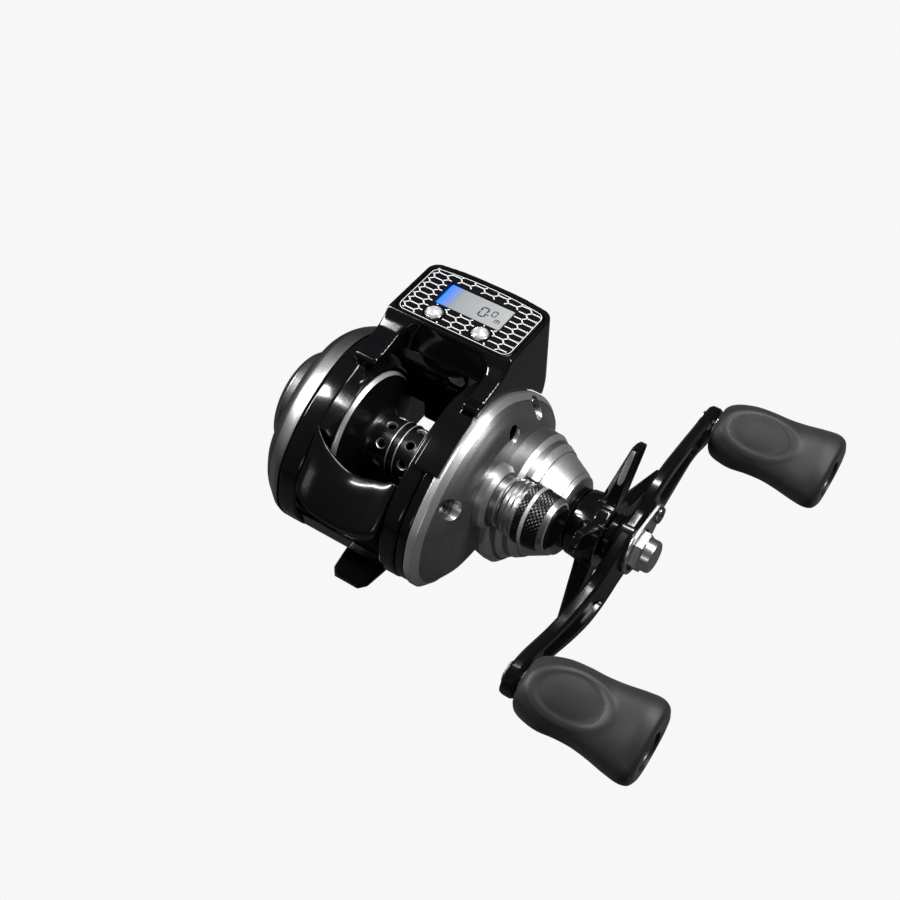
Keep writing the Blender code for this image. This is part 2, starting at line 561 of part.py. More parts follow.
FINISHES = {
    "gloss_black": ((0.012, 0.012, 0.014), 0.18, 0.0),
    "satin_silver": ((0.50, 0.50, 0.51), 0.34, 1.0),
    "polished_steel": ((0.70, 0.70, 0.71), 0.16, 1.0),
    "black_anodised": ((0.02, 0.02, 0.022), 0.28, 0.8),
    "brass": ((0.72, 0.52, 0.24), 0.30, 1.0),
    "rubber_grey": ((0.05, 0.05, 0.052), 0.75, 0.0),
    "black_plastic": ((0.02, 0.02, 0.02), 0.45, 0.0),
    "lcd_grey": ((0.42, 0.44, 0.45), 0.20, 0.0),
    "pearl_button": ((0.80, 0.80, 0.79), 0.25, 0.0),
    "board_green": ((0.03, 0.16, 0.07), 0.50, 0.0),
    "carbon_washer": ((0.06, 0.06, 0.06), 0.80, 0.0),
    "ceramic": ((0.75, 0.76, 0.78), 0.20, 0.0),
    "magnet": ((0.45, 0.45, 0.47), 0.35, 1.0),
}


def clear_scene():
    for thing in list(bpy.data.objects):
        bpy.data.objects.remove(thing, do_unlink=True)


def finish(name):
    """The Principled material of one finish, made once."""
    if name in bpy.data.materials:
        return bpy.data.materials[name]
    colour, roughness, metallic = FINISHES[name]
    made = bpy.data.materials.new(name)
    made.use_nodes = True
    shader = made.node_tree.nodes["Principled BSDF"]
    shader.inputs["Base Color"].default_value = (*colour, 1.0)
    shader.inputs["Roughness"].default_value = roughness
    shader.inputs["Metallic"].default_value = metallic
    return made


def at(x, y, z):
    """World place of a point given from the spool's axis."""
    return Vector((x, y + SPOOL_Y, z + SPOOL_Z))


def solid(name, mesh_data, finish_name, pivot=None):
    """Turn a bmesh into a named object whose origin is its pivot."""
    bmesh.ops.recalc_face_normals(mesh_data, faces=mesh_data.faces)
    mesh = bpy.data.meshes.new(name)
    mesh_data.to_mesh(mesh)
    mesh_data.free()
    mesh.shade_smooth()
    mesh.set_sharp_from_angle(angle=SMOOTH_ANGLE)
    origin = pivot if pivot is not None else Vector((0, 0, 0))
    mesh.transform(Matrix.Scale(1 / MM, 4) @ Matrix.Translation(-origin))
    made = bpy.data.objects.new(name, mesh)
    made.location = origin
    made.scale = (MM, MM, MM)
    if finish_name:
        mesh.materials.append(finish(finish_name))
    bpy.context.scene.collection.objects.link(made)
    return made


def guide(made):
    """Hide a cutter or an added lump from the finished part."""
    made.hide_render = True
    made.display_type = "WIRE"
    return made


def boolean(target, tools, operation):
    """One exact Boolean of the target with all of the tools at once."""
    step = target.modifiers.new(operation.lower(), "BOOLEAN")
    step.operation = operation
    step.solver = "EXACT"
    if len(tools) == 1:
        step.object = guide(tools[0])
        return
    group = bpy.data.collections.new(target.name + " " + operation.lower())
    for tool in tools:
        group.objects.link(guide(tool))
    step.operand_type = "COLLECTION"
    step.collection = group


def cut(target, *tools):
    boolean(target, tools, "DIFFERENCE")


def join(target, *tools):
    boolean(target, tools, "UNION")


def skin(mesh_data, rings, closed=False):
    """Faces between rings of points; a ring of one point closes to a tip."""
    rows = [[mesh_data.verts.new(point) for point in ring] for ring in rings]
    pairs = list(zip(rows, rows[1:]))
    if closed:
        pairs.append((rows[-1], rows[0]))
    for low, high in pairs:
        count = max(len(low), len(high))
        for index in range(count):
            after = (index + 1) % count
            if len(low) == 1:
                mesh_data.faces.new((low[0], high[index], high[after]))
            elif len(high) == 1:
                mesh_data.faces.new((low[index], low[after], high[0]))
            else:
                mesh_data.faces.new((low[index], low[after], high[after], high[index]))
    if not closed:
        for row in (rows[0], rows[-1]):
            if len(row) > 1:
                mesh_data.faces.new(row)


def turned(name, profile, axis, steps, finish_name=None, pivot=None, start=0.0):
    """Solid of revolution about a line along X; profile is (x, radius) from end to end.

    A profile that never meets the axis closes on itself and makes a ring.
    """
    mesh_data = bmesh.new()
    rings = []
    for x, radius in profile:
        if radius == 0:
            rings.append([at(x, axis[0], axis[1])])
            continue
        turns = [start + 2 * pi * index / steps for index in range(steps)]
        rings.append([at(x, axis[0] + radius * cos(turn), axis[1] + radius * sin(turn))
                      for turn in turns])
    hollow = profile[0][1] > 0 and profile[-1][1] > 0
    skin(mesh_data, rings, closed=hollow)
    return solid(name, mesh_data, finish_name, pivot)


def upright(name, profile, centre, steps, finish_name=None, pivot=None):
    """Solid of revolution about a line along Z; profile is (z, radius)."""
    mesh_data = bmesh.new()
    rings = []
    for z, radius in profile:
        if radius == 0:
            rings.append([at(centre[0], centre[1], z)])
            continue
        turns = [2 * pi * index / steps for index in range(steps)]
        rings.append([at(centre[0] + radius * cos(turn), centre[1] + radius * sin(turn), z)
                      for turn in turns])
    hollow = profile[0][1] > 0 and profile[-1][1] > 0
    skin(mesh_data, rings, closed=hollow)
    return solid(name, mesh_data, finish_name, pivot)


def rod(name, x_from, x_to, radius, axis, steps=16, finish_name=None, pivot=None):
    return turned(name, [(x_from, 0), (x_from, radius), (x_to, radius), (x_to, 0)], axis, steps,
                  finish_name, pivot)


def ring(name, x_from, x_to, bore, radius, axis, steps=20, finish_name=None, pivot=None):
    profile = [(x_from, bore), (x_from, radius), (x_to, radius), (x_to, bore)]
    return turned(name, profile, axis, steps, finish_name, pivot)


def prism(name, outline, x_from, x_to, finish_name=None, pivot=None):
    """A flat outline of (y, z) points, thick along X."""
    return stack(name, [(x_from, outline), (x_to, outline)], finish_name, pivot)


def stack(name, layers, finish_name=None, pivot=None):
    """Outlines of (y, z) points at stations along X, skinned in turn."""
    mesh_data = bmesh.new()
    skin(mesh_data, [[at(x, y, z) for y, z in outline] for x, outline in layers])
    return solid(name, mesh_data, finish_name, pivot)


def tower(name, layers, finish_name=None, pivot=None):
    """Outlines of (x, y) points at heights, skinned in turn."""
    mesh_data = bmesh.new()
    skin(mesh_data, [[at(x, y, z) for x, y in outline] for z, outline in layers])
    return solid(name, mesh_data, finish_name, pivot)


def block(name, x_from, x_to, y_from, y_to, z_from, z_to, finish_name=None, pivot=None):
    outline = [(y_from, z_from), (y_to, z_from), (y_to, z_to), (y_from, z_to)]
    return prism(name, outline, x_from, x_to, finish_name, pivot)


def spline(points, steps):
    """Closed Catmull-Rom curve through the points."""
    curve = []
    count = len(points)
    for index in range(count):
        before, start, end, after = (Vector(points[(index + shift) % count])
                                     for shift in (-1, 0, 1, 2))
        for step in range(steps):
            t = step / steps
            curve.append((start * 2 + (end - before) * t
                          + (before * 2 - start * 5 + end * 4 - after) * t ** 2
                          + (start * 3 - before - end * 3 + after) * t ** 3) / 2)
    return [tuple(point) for point in curve]


def offset(outline, distance):
    """Move an outline's points along their normals; outwards is positive."""
    moved = []
    count = len(outline)
    for index in range(count):
        before = Vector(outline[index - 1])
        after = Vector(outline[(index + 1) % count])
        along = (after - before).normalized()
        moved.append(tuple(Vector(outline[index]) + Vector((-along.y, along.x)) * distance))
    return moved


def scaled(outline, share, centre):
    return [(centre[0] + (y - centre[0]) * share, centre[1] + (z - centre[1]) * share)
            for y, z in outline]


def side_outline():
    """The side of the reel: a low round back that runs down to the nose."""
    points = [(REAR_Y + (FRONT_Y - REAR_Y) * along, BOTTOM_Z + (TOP_Z - BOTTOM_Z) * up)
              for along, up in zip(SIDE_LENGTH_SHARES, SIDE_HEIGHT_SHARES)]
    return spline(points, SIDE_SPAN_STEPS)


def circle(centre, radius, steps, start=0.0):
    return [(centre[0] + radius * cos(start + 2 * pi * index / steps),
             centre[1] + radius * sin(start + 2 * pi * index / steps)) for index in range(steps)]


def belt_outline(first, first_radius, second, second_radius, steps):
    """Outline round two circles and the straight tangents that join them."""
    away = Vector(second) - Vector(first)
    heading = atan2(away.y, away.x)
    spread = acos((first_radius - second_radius) / away.length)
    points = []
    for centre, radius, turn_from, turn_to in (
            (second, second_radius, heading - spread, heading + spread),
            (first, first_radius, heading + spread, heading - spread + 2 * pi)):
        for index in range(steps + 1):
            turn = turn_from + (turn_to - turn_from) * index / steps
            points.append((centre[0] + radius * cos(turn), centre[1] + radius * sin(turn)))
    return points


def gear_outline(teeth, axis, start=0.0):
    """Straight-flanked teeth, cut back a little so that meshing gears stay apart."""
    pitch = half_pitch(teeth) - MESH_GAP / 2
    tip = pitch + GEAR_MODULE * GEAR_ADDENDUM_SHARE
    root = pitch - GEAR_MODULE * GEAR_DEDENDUM_SHARE
    tooth = 2 * pi / teeth
    points = []
    for index in range(teeth):
        for radius, place in zip((root, tip, tip, root), TOOTH_PLACE_SHARES):
            turn = start + tooth * (index + place)
            points.append((axis[0] + radius * cos(turn), axis[1] + radius * sin(turn)))
    return points


def pod_plan(half_width, rear_y, corner_y, front_y, corner):
    """Plan of the counter: square behind, rounded corners and a slight bow in front."""
    points = [(-half_width, rear_y), (half_width, rear_y)]
    for index in range(CORNER_STEPS + 1):
        turn = pi / 2 * index / CORNER_STEPS
        points.append((half_width - corner + corner * cos(turn),
                       corner_y - corner + corner * sin(turn)))
    for index in range(1, BOW_STEPS):
        share = 1 - 2 * index / BOW_STEPS
        points.append(((half_width - corner) * share,
                       corner_y + (front_y - corner_y) * (1 - share ** 2)))
    for index in range(CORNER_STEPS + 1):
        turn = pi / 2 + pi / 2 * index / CORNER_STEPS
        points.append((-half_width + corner + corner * cos(turn),
                       corner_y - corner + corner * sin(turn)))
    return points


def table_outline(lengths, heights, y_from, y_to, z_from, z_to):
    return [(y_from + (y_to - y_from) * along, z_from + (z_to - z_from) * up)
            for along, up in zip(lengths, heights)]


def hull(name, rings, finish_name=None, pivot=None):
    mesh_data = bmesh.new()
    skin(mesh_data, rings)
    return solid(name, mesh_data, finish_name, pivot)


def plate_y(name, outline, y_from, y_to, finish_name=None, pivot=None):
    """A flat outline of (x, z) points, thick along Y."""
    rings = [[at(x, y, z) for x, z in outline] for y in (y_from, y_to)]
    return hull(name, rings, finish_name, pivot)


def radial_pins(name, radius, inner, outer, stations, count, axis):
    """Cylinders that stand out from a shaft line in even rows."""
    mesh_data = bmesh.new()
    for row, x in enumerate(stations):
        for index in range(count):
            turn = 2 * pi * (index + row / 2) / count
            out = Vector((0, cos(turn), sin(turn)))
            side = Vector((0, -sin(turn), cos(turn)))
            rings = []
            for reach in (inner, outer):
                foot = at(x, axis[0], axis[1]) + out * reach
                rings.append([foot + Vector((radius * cos(step), 0, 0)) + side * radius * sin(step)
                              for step in [2 * pi * k / PIN_STEPS for k in range(PIN_STEPS)]])
            skin(mesh_data, rings)
    return solid(name, mesh_data, None)


def knurled(name, profile, axis, count, depth, finish_name, pivot):
    """Turned piece whose marked stations are cut with fine ribs."""
    mesh_data = bmesh.new()
    rings = []
    for x, radius, ribbed in profile:
        if radius == 0:
            rings.append([at(x, axis[0], axis[1])])
            continue
        points = []
        for index in range(count * 2):
            turn = pi * index / count
            reach = radius - depth * (index % 2) if ribbed else radius
            points.append(at(x, axis[0] + reach * cos(turn), axis[1] + reach * sin(turn)))
        rings.append(points)
    skin(mesh_data, rings)
    return solid(name, mesh_data, finish_name, pivot)


def screw(name, head_x, end_x, place, finish_name="polished_steel", radius=None):
    """Screw along X with its head at head_x and a straight driver slot."""
    head = radius or SCREW_HEAD_RADIUS
    way = 1 if head_x > end_x else -1
    seat = head_x - way * SCREW_HEAD
    made = turned(name, [(head_x, 0), (head_x, head - SCREW_EDGE), (head_x - way * SCREW_EDGE, head),
                         (seat, head), (seat, SCREW_SHANK_RADIUS), (end_x, SCREW_SHANK_RADIUS),
                         (end_x, 0)], place, SMALL_STEPS, finish_name)
    low, high = sorted((head_x - way * SCREW_SLOT_DEPTH, head_x + way * OVERRUN))
    cut(made, block(name + " slot", low, high, place[0] - SCREW_SLOT / 2, place[0] + SCREW_SLOT / 2,
                    place[1] - head - OVERRUN, place[1] + head + OVERRUN))
    return made


def make_frame():
    outline = side_outline()
    frame = prism("frame", outline, SLAB_OUT, SLAB_IN, "gloss_black")
    collar = turned("collar form", [
        (SLAB_IN - OVERRUN, RING_BORE), (SLAB_IN - OVERRUN, COLLAR_RADIUS),
        (SLAB_IN, COLLAR_RADIUS), (COLLAR_END - COLLAR_SLOPE_END, RING_BORE + COLLAR_LIP),
        (COLLAR_END, RING_BORE + COLLAR_LIP), (COLLAR_END, RING_BORE)], SPOOL_AXIS, RING_STEPS)
    boolean(collar, [prism("collar bound", offset(outline, -TOUCH), SLAB_OUT, RIGHT_IN)], "INTERSECT")
    cut(collar, block("collar notch", SLAB_IN - OVERRUN * 2, COLLAR_END + OVERRUN,
                      REAR_Y, THUMB_NOTCH_FRONT, THUMB_NOTCH_BOTTOM, THUMB_NOTCH_TOP),
        block("collar front notch", SLAB_IN - OVERRUN * 2, COLLAR_END + OVERRUN, GUIDE_NOTCH_REAR,
              FRONT_Y, WORM_Z - GUIDE_DOWN - PAWL_CAP - RUN * 2, WORM_Z + GUIDE_EYE_RISE + RUN))
    floor = prism("floor form", table_outline(
        FLOOR_LENGTH_SHARES, FLOOR_HEIGHT_SHARES, FLOOR_REAR_Y, FLOOR_FRONT_Y,
        FLOOR_BOTTOM, FLOOR_BOTTOM + FLOOR_REAR_RISE), SLAB_IN - OVERRUN, RIGHT_IN + OVERRUN)
    nose = rod("nose bar form", SLAB_IN - OVERRUN, RIGHT_IN + OVERRUN, NOSE_BAR_RADIUS,
               (NOSE_BAR_Y, NOSE_BAR_Z), SMALL_STEPS)
    join(frame, collar, prism("right wall form", outline, RIGHT_IN, RIGHT_OUT), floor, nose)
    rod_axis = (WORM_Y + GUIDE_ROD_Y, WORM_Z + GUIDE_ROD_Z)
    cutters = [
        rod("spool bore", SLAB_OUT - OVERRUN, COLLAR_END + OVERRUN, RING_BORE, SPOOL_AXIS, RING_STEPS),
        rod("rim recess", RIGHT_IN - OVERRUN, RECESS_FLOOR, RING_BORE, SPOOL_AXIS, RING_STEPS),
        rod("right bearing seat", RECESS_FLOOR - OVERRUN, RIGHT_OUT + OVERRUN,
            BEARING_RADIUS + TOUCH, SPOOL_AXIS, 18),
        rod("drive shaft seat", RIGHT_OUT - DRIVE_SEAT, RIGHT_OUT + OVERRUN,
            DRIVE_SHAFT_NECK + RUN, MAIN_AXIS),
        rod("guard socket left", SLAB_IN - GUARD_SOCKET, SLAB_IN + OVERRUN, GUARD_RADIUS + TOUCH,
            WORM_AXIS),
        rod("guard socket right", RIGHT_IN - OVERRUN, RIGHT_IN + GUARD_SOCKET, GUARD_RADIUS + TOUCH,
            WORM_AXIS),
        rod("worm end left", WORM_LEFT_X - TOUCH, SLAB_IN, WORM_END_RADIUS + TOUCH, WORM_AXIS,
            SMALL_STEPS),
        rod("worm end right", RIGHT_IN, RIGHT_OUT + OVERRUN, WORM_END_RADIUS + TOUCH, WORM_AXIS,
            SMALL_STEPS),
        rod("rod socket left", SLAB_IN - GUARD_SOCKET, SLAB_IN + OVERRUN, GUIDE_ROD_RADIUS + TOUCH,
            rod_axis, SMALL_STEPS),
        rod("rod socket right", RIGHT_IN - OVERRUN, RIGHT_IN + GUARD_SOCKET,
            GUIDE_ROD_RADIUS + TOUCH, rod_axis, SMALL_STEPS),
        lug_slot("thumb slot right", RIGHT_IN - OVERRUN, RIGHT_OUT + OVERRUN),
        lug_slot("thumb slot left", THUMB_LUG_LEFT_X - RUN, SLAB_IN + OVERRUN),
        rod("palm screw hole", SLAB_OUT - OVERRUN, SLAB_OUT + SCREW_DEPTH, SCREW_HOLE_RADIUS,
            (SIDE_SCREW_REAR_Y, SIDE_SCREW_REAR_Z), SMALL_STEPS)]
    for index, place in enumerate(COVER_SCREWS):
        cutters.append(rod("cover screw hole %d" % index, RIGHT_OUT - SCREW_GRIP - TOUCH,
                           RIGHT_OUT + OVERRUN, SCREW_HOLE_RADIUS, place, SMALL_STEPS))
    for index, y in enumerate(FOOT_SCREWS):
        cutters.append(upright("foot screw hole %d" % index, [
            (FLOOR_BOTTOM - OVERRUN, 0), (FLOOR_BOTTOM - OVERRUN, SCREW_HOLE_RADIUS),
            (FLOOR_TOP + OVERRUN, SCREW_HOLE_RADIUS), (FLOOR_TOP + OVERRUN, 0)], (0, y), SMALL_STEPS))
    cut(frame, *cutters)


def lug_slot(name, x_from, x_to):
    """Slot that lets a thumb-bar lug run down by its whole travel."""
    return block(name, x_from, x_to, THUMB_LUG_Y - THUMB_LUG_HALF - RUN,
                 THUMB_LUG_Y + THUMB_LUG_HALF + RUN,
                 THUMB_LUG_Z - THUMB_TRAVEL - THUMB_LUG_HALF - RUN,
                 THUMB_LUG_Z + THUMB_LUG_HALF + RUN)


def make_foot():
    rings = []
    for along, width, height in zip(FOOT_LENGTH_SHARES, FOOT_WIDTH_SHARES, FOOT_HEIGHT_SHARES):
        y = FOOT_MID_Y + FOOT_LENGTH * (along - 0.5)
        half = FOOT_WIDTH / 2 * width
        top = FOOT_BOTTOM + FOOT_TIP + (FOOT_THICKNESS - FOOT_TIP) * height
        rings.append([at(half, y, FOOT_BOTTOM), at(half, y, top - FOOT_TIP / 2),
                      at(half - FOOT_TIP / 2, y, top), at(-half + FOOT_TIP / 2, y, top),
                      at(-half, y, top - FOOT_TIP / 2), at(-half, y, FOOT_BOTTOM)])
    foot = hull("reel_foot", rings, "gloss_black")
    holes = []
    for index, y in enumerate(FOOT_SCREWS):
        place = (0, y)
        holes.append(upright("foot hole %d" % index, [
            (FOOT_BOTTOM - OVERRUN, 0), (FOOT_BOTTOM - OVERRUN, SCREW_HEAD_RADIUS + TOUCH),
            (FOOT_BOTTOM + SCREW_HEAD + TOUCH * 2, SCREW_HEAD_RADIUS + TOUCH),
            (FOOT_BOTTOM + SCREW_HEAD + TOUCH * 2, SCREW_HOLE_RADIUS),
            (FOOT_TOP + OVERRUN, SCREW_HOLE_RADIUS), (FOOT_TOP + OVERRUN, 0)], place, SMALL_STEPS))
        upright("foot_screw_%s" % ("rear", "front")[index], [
            (FOOT_BOTTOM + TOUCH, 0), (FOOT_BOTTOM + TOUCH, SCREW_HEAD_RADIUS),
            (FOOT_BOTTOM + TOUCH + SCREW_HEAD, SCREW_HEAD_RADIUS),
            (FOOT_BOTTOM + TOUCH + SCREW_HEAD, SCREW_SHANK_RADIUS),
            (FLOOR_TOP - TOUCH, SCREW_SHANK_RADIUS), (FLOOR_TOP - TOUCH, 0)], place, SMALL_STEPS,
            "polished_steel")
    cut(foot, *holes)


def make_palm_side():
    outline = side_outline()
    layers = []
    for deep, share, shift in zip(PALM_DEPTH_SHARES, PALM_SCALE_SHARES, PALM_SHIFT_SHARES):
        centre = (PALM_SHOULDER_Y + (PALM_CROWN_Y - PALM_SHOULDER_Y) * shift,
                  PALM_SHOULDER_Z + (PALM_CROWN_Z - PALM_SHOULDER_Z) * shift)
        layers.append((SLAB_OUT - TOUCH - PALM_CROWN * deep, scaled(outline, share, centre)))
    plate = stack("palm_side_plate", layers, "satin_silver")
    join(plate, turned("palm boss form", [
        (PALM_CAVITY_X + OVERRUN * 2, 0), (PALM_CAVITY_X + OVERRUN * 2, BOSS_RADIUS),
        (BOSS_EDGE_X, BOSS_RADIUS), (BOSS_EDGE_X - BOSS_EDGE / 2, BOSS_RADIUS - BOSS_EDGE / 3),
        (BOSS_FACE_X, BOSS_FACE_RADIUS), (BOSS_FACE_X, 0)], SPOOL_AXIS, RING_STEPS))
    place = (SIDE_SCREW_REAR_Y, SIDE_SCREW_REAR_Z)
    cut(plate,
        turned("palm cavity", [
            (SLAB_OUT, 0), (SLAB_OUT, BOSS_RADIUS), (PALM_CAVITY_X + PALM_WALL * 2, PALM_CAVITY_RADIUS),
            (PALM_CAVITY_X, PALM_CAVITY_RADIUS - PALM_WALL), (PALM_CAVITY_X, 0)], SPOOL_AXIS,
            RING_STEPS),
        rod("dial bore", BOSS_FACE_X - OVERRUN, PALM_CAVITY_X + OVERRUN, DIAL_STEM_RADIUS + RUN,
            SPOOL_AXIS),
        rod("palm screw clearance", PALM_SCREW_X - OVERRUN * 6, SLAB_OUT + OVERRUN,
            SCREW_HOLE_RADIUS, place, SMALL_STEPS),
        rod("palm screw seat", PALM_SCREW_X - OVERRUN * 6, PALM_SCREW_X + SCREW_HEAD + TOUCH,
            SCREW_HEAD_RADIUS + TOUCH, place, SMALL_STEPS))
    screw("palm_plate_screw", PALM_SCREW_X, SLAB_OUT + SCREW_DEPTH - TOUCH, place)
    centre = at(0, 0, 0)
    turned("brake_housing", [
        (HOUSING_BACK_X, BEARING_RADIUS + TOUCH), (HOUSING_BACK_X, RING_BORE - RUN),
        (HOUSING_BACK_X + HOUSING_DEPTH, RING_BORE - RUN),
        (HOUSING_BACK_X + HOUSING_DEPTH, HOUSING_POCKET_RADIUS),
        (HOUSING_BACK_X + HOUSING_DEPTH - HOUSING_POCKET_DEPTH, HOUSING_POCKET_RADIUS),
        (HOUSING_BACK_X + HOUSING_DEPTH - HOUSING_POCKET_DEPTH, BEARING_RADIUS + TOUCH)],
        SPOOL_AXIS, RING_STEPS, "black_plastic")
    front = HOUSING_BACK_X + HOUSING_DEPTH - TOUCH
    ring("brake_magnet_ring", front - BRAKE_RING_THICKNESS, front, BRAKE_RING_INNER,
         BRAKE_RING_OUTER, SPOOL_AXIS, 20, "magnet")
    ring("spool_bearing_left", front - BEARING_WIDTH, front - TOUCH, SHAFT_RADIUS + TOUCH,
         BEARING_RADIUS, SPOOL_AXIS, 16, "polished_steel")
    knurled("brake_dial", [
        (BOSS_FACE_X - TOUCH - DIAL_THICKNESS, 0, False),
        (BOSS_FACE_X - TOUCH - DIAL_THICKNESS, DIAL_RADIUS - SCREW_EDGE, False),
        (BOSS_FACE_X - TOUCH - DIAL_THICKNESS + SCREW_EDGE, DIAL_RADIUS, True),
        (BOSS_FACE_X - TOUCH, DIAL_RADIUS, True), (BOSS_FACE_X - TOUCH, DIAL_STEM_RADIUS, False),
        (BOSS_FACE_X - TOUCH + DIAL_STEM, DIAL_STEM_RADIUS, False),
        (BOSS_FACE_X - TOUCH + DIAL_STEM, 0, False)], SPOOL_AXIS, CAST_KNURLS // 2,
        CAST_KNURL_DEPTH, "black_anodised", centre)


def make_gear_side():
    outline = side_outline()
    set_plate = prism("gear_set_plate", offset(outline, -TOUCH), SET_IN, SET_OUT, "gloss_black")
    x_from, x_to = SET_IN - OVERRUN, SET_OUT + OVERRUN
    cutters = [
        rod("set pinion hole", x_from, x_to, PINION_NECK_RADIUS + RUN, SPOOL_AXIS),
        rod("set drive hole", x_from, x_to, DRIVE_SHAFT_RADIUS + RUN, MAIN_AXIS),
        rod("set worm hole", x_from, x_to, WORM_END_RADIUS + TOUCH, WORM_AXIS, SMALL_STEPS),
        lug_slot("set thumb slot", x_from, x_to)]
    for index, place in enumerate(COVER_SCREWS):
        cutters.append(rod("set screw hole %d" % index, x_from, x_to, SCREW_HOLE_RADIUS, place,
                           SMALL_STEPS))
    cut(set_plate, *cutters)

    layers = []
    for deep, share in zip(COVER_DEPTH_SHARES, COVER_SCALE_SHARES):
        layers.append((COVER_IN + COVER_DOME * deep,
                       scaled(outline, share, (COVER_MID_Y, COVER_MID_Z))))
    cover = stack("gear_side_cover", layers, "satin_silver")
    lower = (LOWER_HOUSE_Y, LOWER_HOUSE_Z)
    cone = turned("cone form", [
        (COVER_IN + OVERRUN * 2, 0), (COVER_IN + OVERRUN * 2, PLATFORM_TWO_RADIUS),
        (PLATFORM_TWO_X, PLATFORM_TWO_RADIUS), (PLATFORM_FACE_X, PLATFORM_FACE_RADIUS),
        (PLATFORM_FACE_X, CONE_FOOT_RADIUS), (CONE_TOP_X, CONE_TOP_RADIUS), (CONE_TOP_X, 0)],
        MAIN_AXIS, RING_STEPS)
    cut(cone, turned("knob clearance", [
        (KNOB_SEAT_X, 0), (KNOB_SEAT_X, KNOB_SEAT_RADIUS), (CONE_TOP_X + OVERRUN, KNOB_SEAT_RADIUS),
        (CONE_TOP_X + OVERRUN, 0)], SPOOL_AXIS, 28))
    join(cover, cone, stack("lower house form", [
        (COVER_IN, circle(lower, LOWER_HOUSE_START_RADIUS, RING_STEPS)),
        (LOWER_HOUSE_FULL_X - COVER_RIM, circle(lower, LOWER_HOUSE_RADIUS - PLATFORM_EDGE, RING_STEPS)),
        (LOWER_HOUSE_FULL_X, circle(lower, LOWER_HOUSE_RADIUS, RING_STEPS)),
        (PLATFORM_ONE_X - PLATFORM_EDGE, circle(lower, LOWER_HOUSE_RADIUS, RING_STEPS)),
        (PLATFORM_ONE_X, circle(lower, LOWER_HOUSE_RADIUS - PLATFORM_EDGE, RING_STEPS))]),
        turned("knob boss form", [
            (COVER_IN + OVERRUN, 0), (COVER_IN + OVERRUN, LOBE_FOOT_RADIUS),
            (LOBE_FOOT_X, LOBE_FOOT_RADIUS), (LOBE_FOOT_X + LOBE_STEP * 2, LOBE_RADIUS),
            (LOBE_X - LOBE_STEP / 2, LOBE_RADIUS), (LOBE_X, LOBE_RADIUS - LOBE_STEP / 2),
            (LOBE_X, SPIGOT_RADIUS), (SPIGOT_X, SPIGOT_RADIUS), (SPIGOT_X, 0)], SPOOL_AXIS, 26))
    inside = COVER_IN - OVERRUN
    cutters = [turned("gear room", [
            (inside, 0), (inside, GEAR_ROOM_RADIUS), (GEAR_ROOM_X, GEAR_ROOM_RADIUS),
            (GEAR_ROOM_X, CLUTCH_BEARING_RADIUS + TOUCH),
            (CONE_TOP_X - CLUTCH_COVER, CLUTCH_BEARING_RADIUS + TOUCH),
            (CONE_TOP_X - CLUTCH_COVER, SLEEVE_RADIUS + RUN),
            (CONE_TOP_X + OVERRUN, SLEEVE_RADIUS + RUN), (CONE_TOP_X + OVERRUN, 0)],
            MAIN_AXIS, RING_STEPS),
        turned("pinion room", [
            (inside, 0), (inside, CAM_OUTER + RUN), (CAM_ROOM_X, CAM_OUTER + RUN),
            (CAM_ROOM_X, PINION_ROOM_RADIUS), (PINION_ROOM_X, PINION_ROOM_RADIUS),
            (PINION_ROOM_X, SPIGOT_BORE), (SPIGOT_X + OVERRUN, SPIGOT_BORE),
            (SPIGOT_X + OVERRUN, 0)], SPOOL_AXIS, 28),
        rod("cog room", inside, COG_ROOM_X, COG_ROOM_RADIUS, WORM_AXIS, 20),
        block("cam tail room", inside, CAM_ROOM_X, CAM_TAIL_Y - RUN, 0,
              CAM_TAIL_Z - CAM_TAIL_HALF + CAM_TAIL_Y * sin(CAM_SWING) - RUN,
              CAM_TAIL_Z + CAM_TAIL_HALF + RUN)]
    for index, (place, head_x) in enumerate(zip(COVER_SCREWS, (COVER_SCREW_REAR_X, COVER_SCREW_FRONT_X))):
        cutters.append(rod("cover screw way %d" % index, inside, head_x + OVERRUN * 6,
                           SCREW_HOLE_RADIUS, place, SMALL_STEPS))
        cutters.append(rod("cover screw seat %d" % index, head_x - SCREW_HEAD - TOUCH,
                           head_x + OVERRUN * 6, COVER_SCREW_RADIUS + TOUCH, place))
        screw("cover_screw_%s" % ("rear", "front")[index], head_x, RIGHT_OUT - SCREW_GRIP, place,
              "polished_steel", COVER_SCREW_RADIUS)
    cutters.append(rod("port hole", PORT_X, PLATFORM_TWO_X, PORT_RADIUS, (PORT_Y, PORT_Z)))

    cut(cover, *cutters)


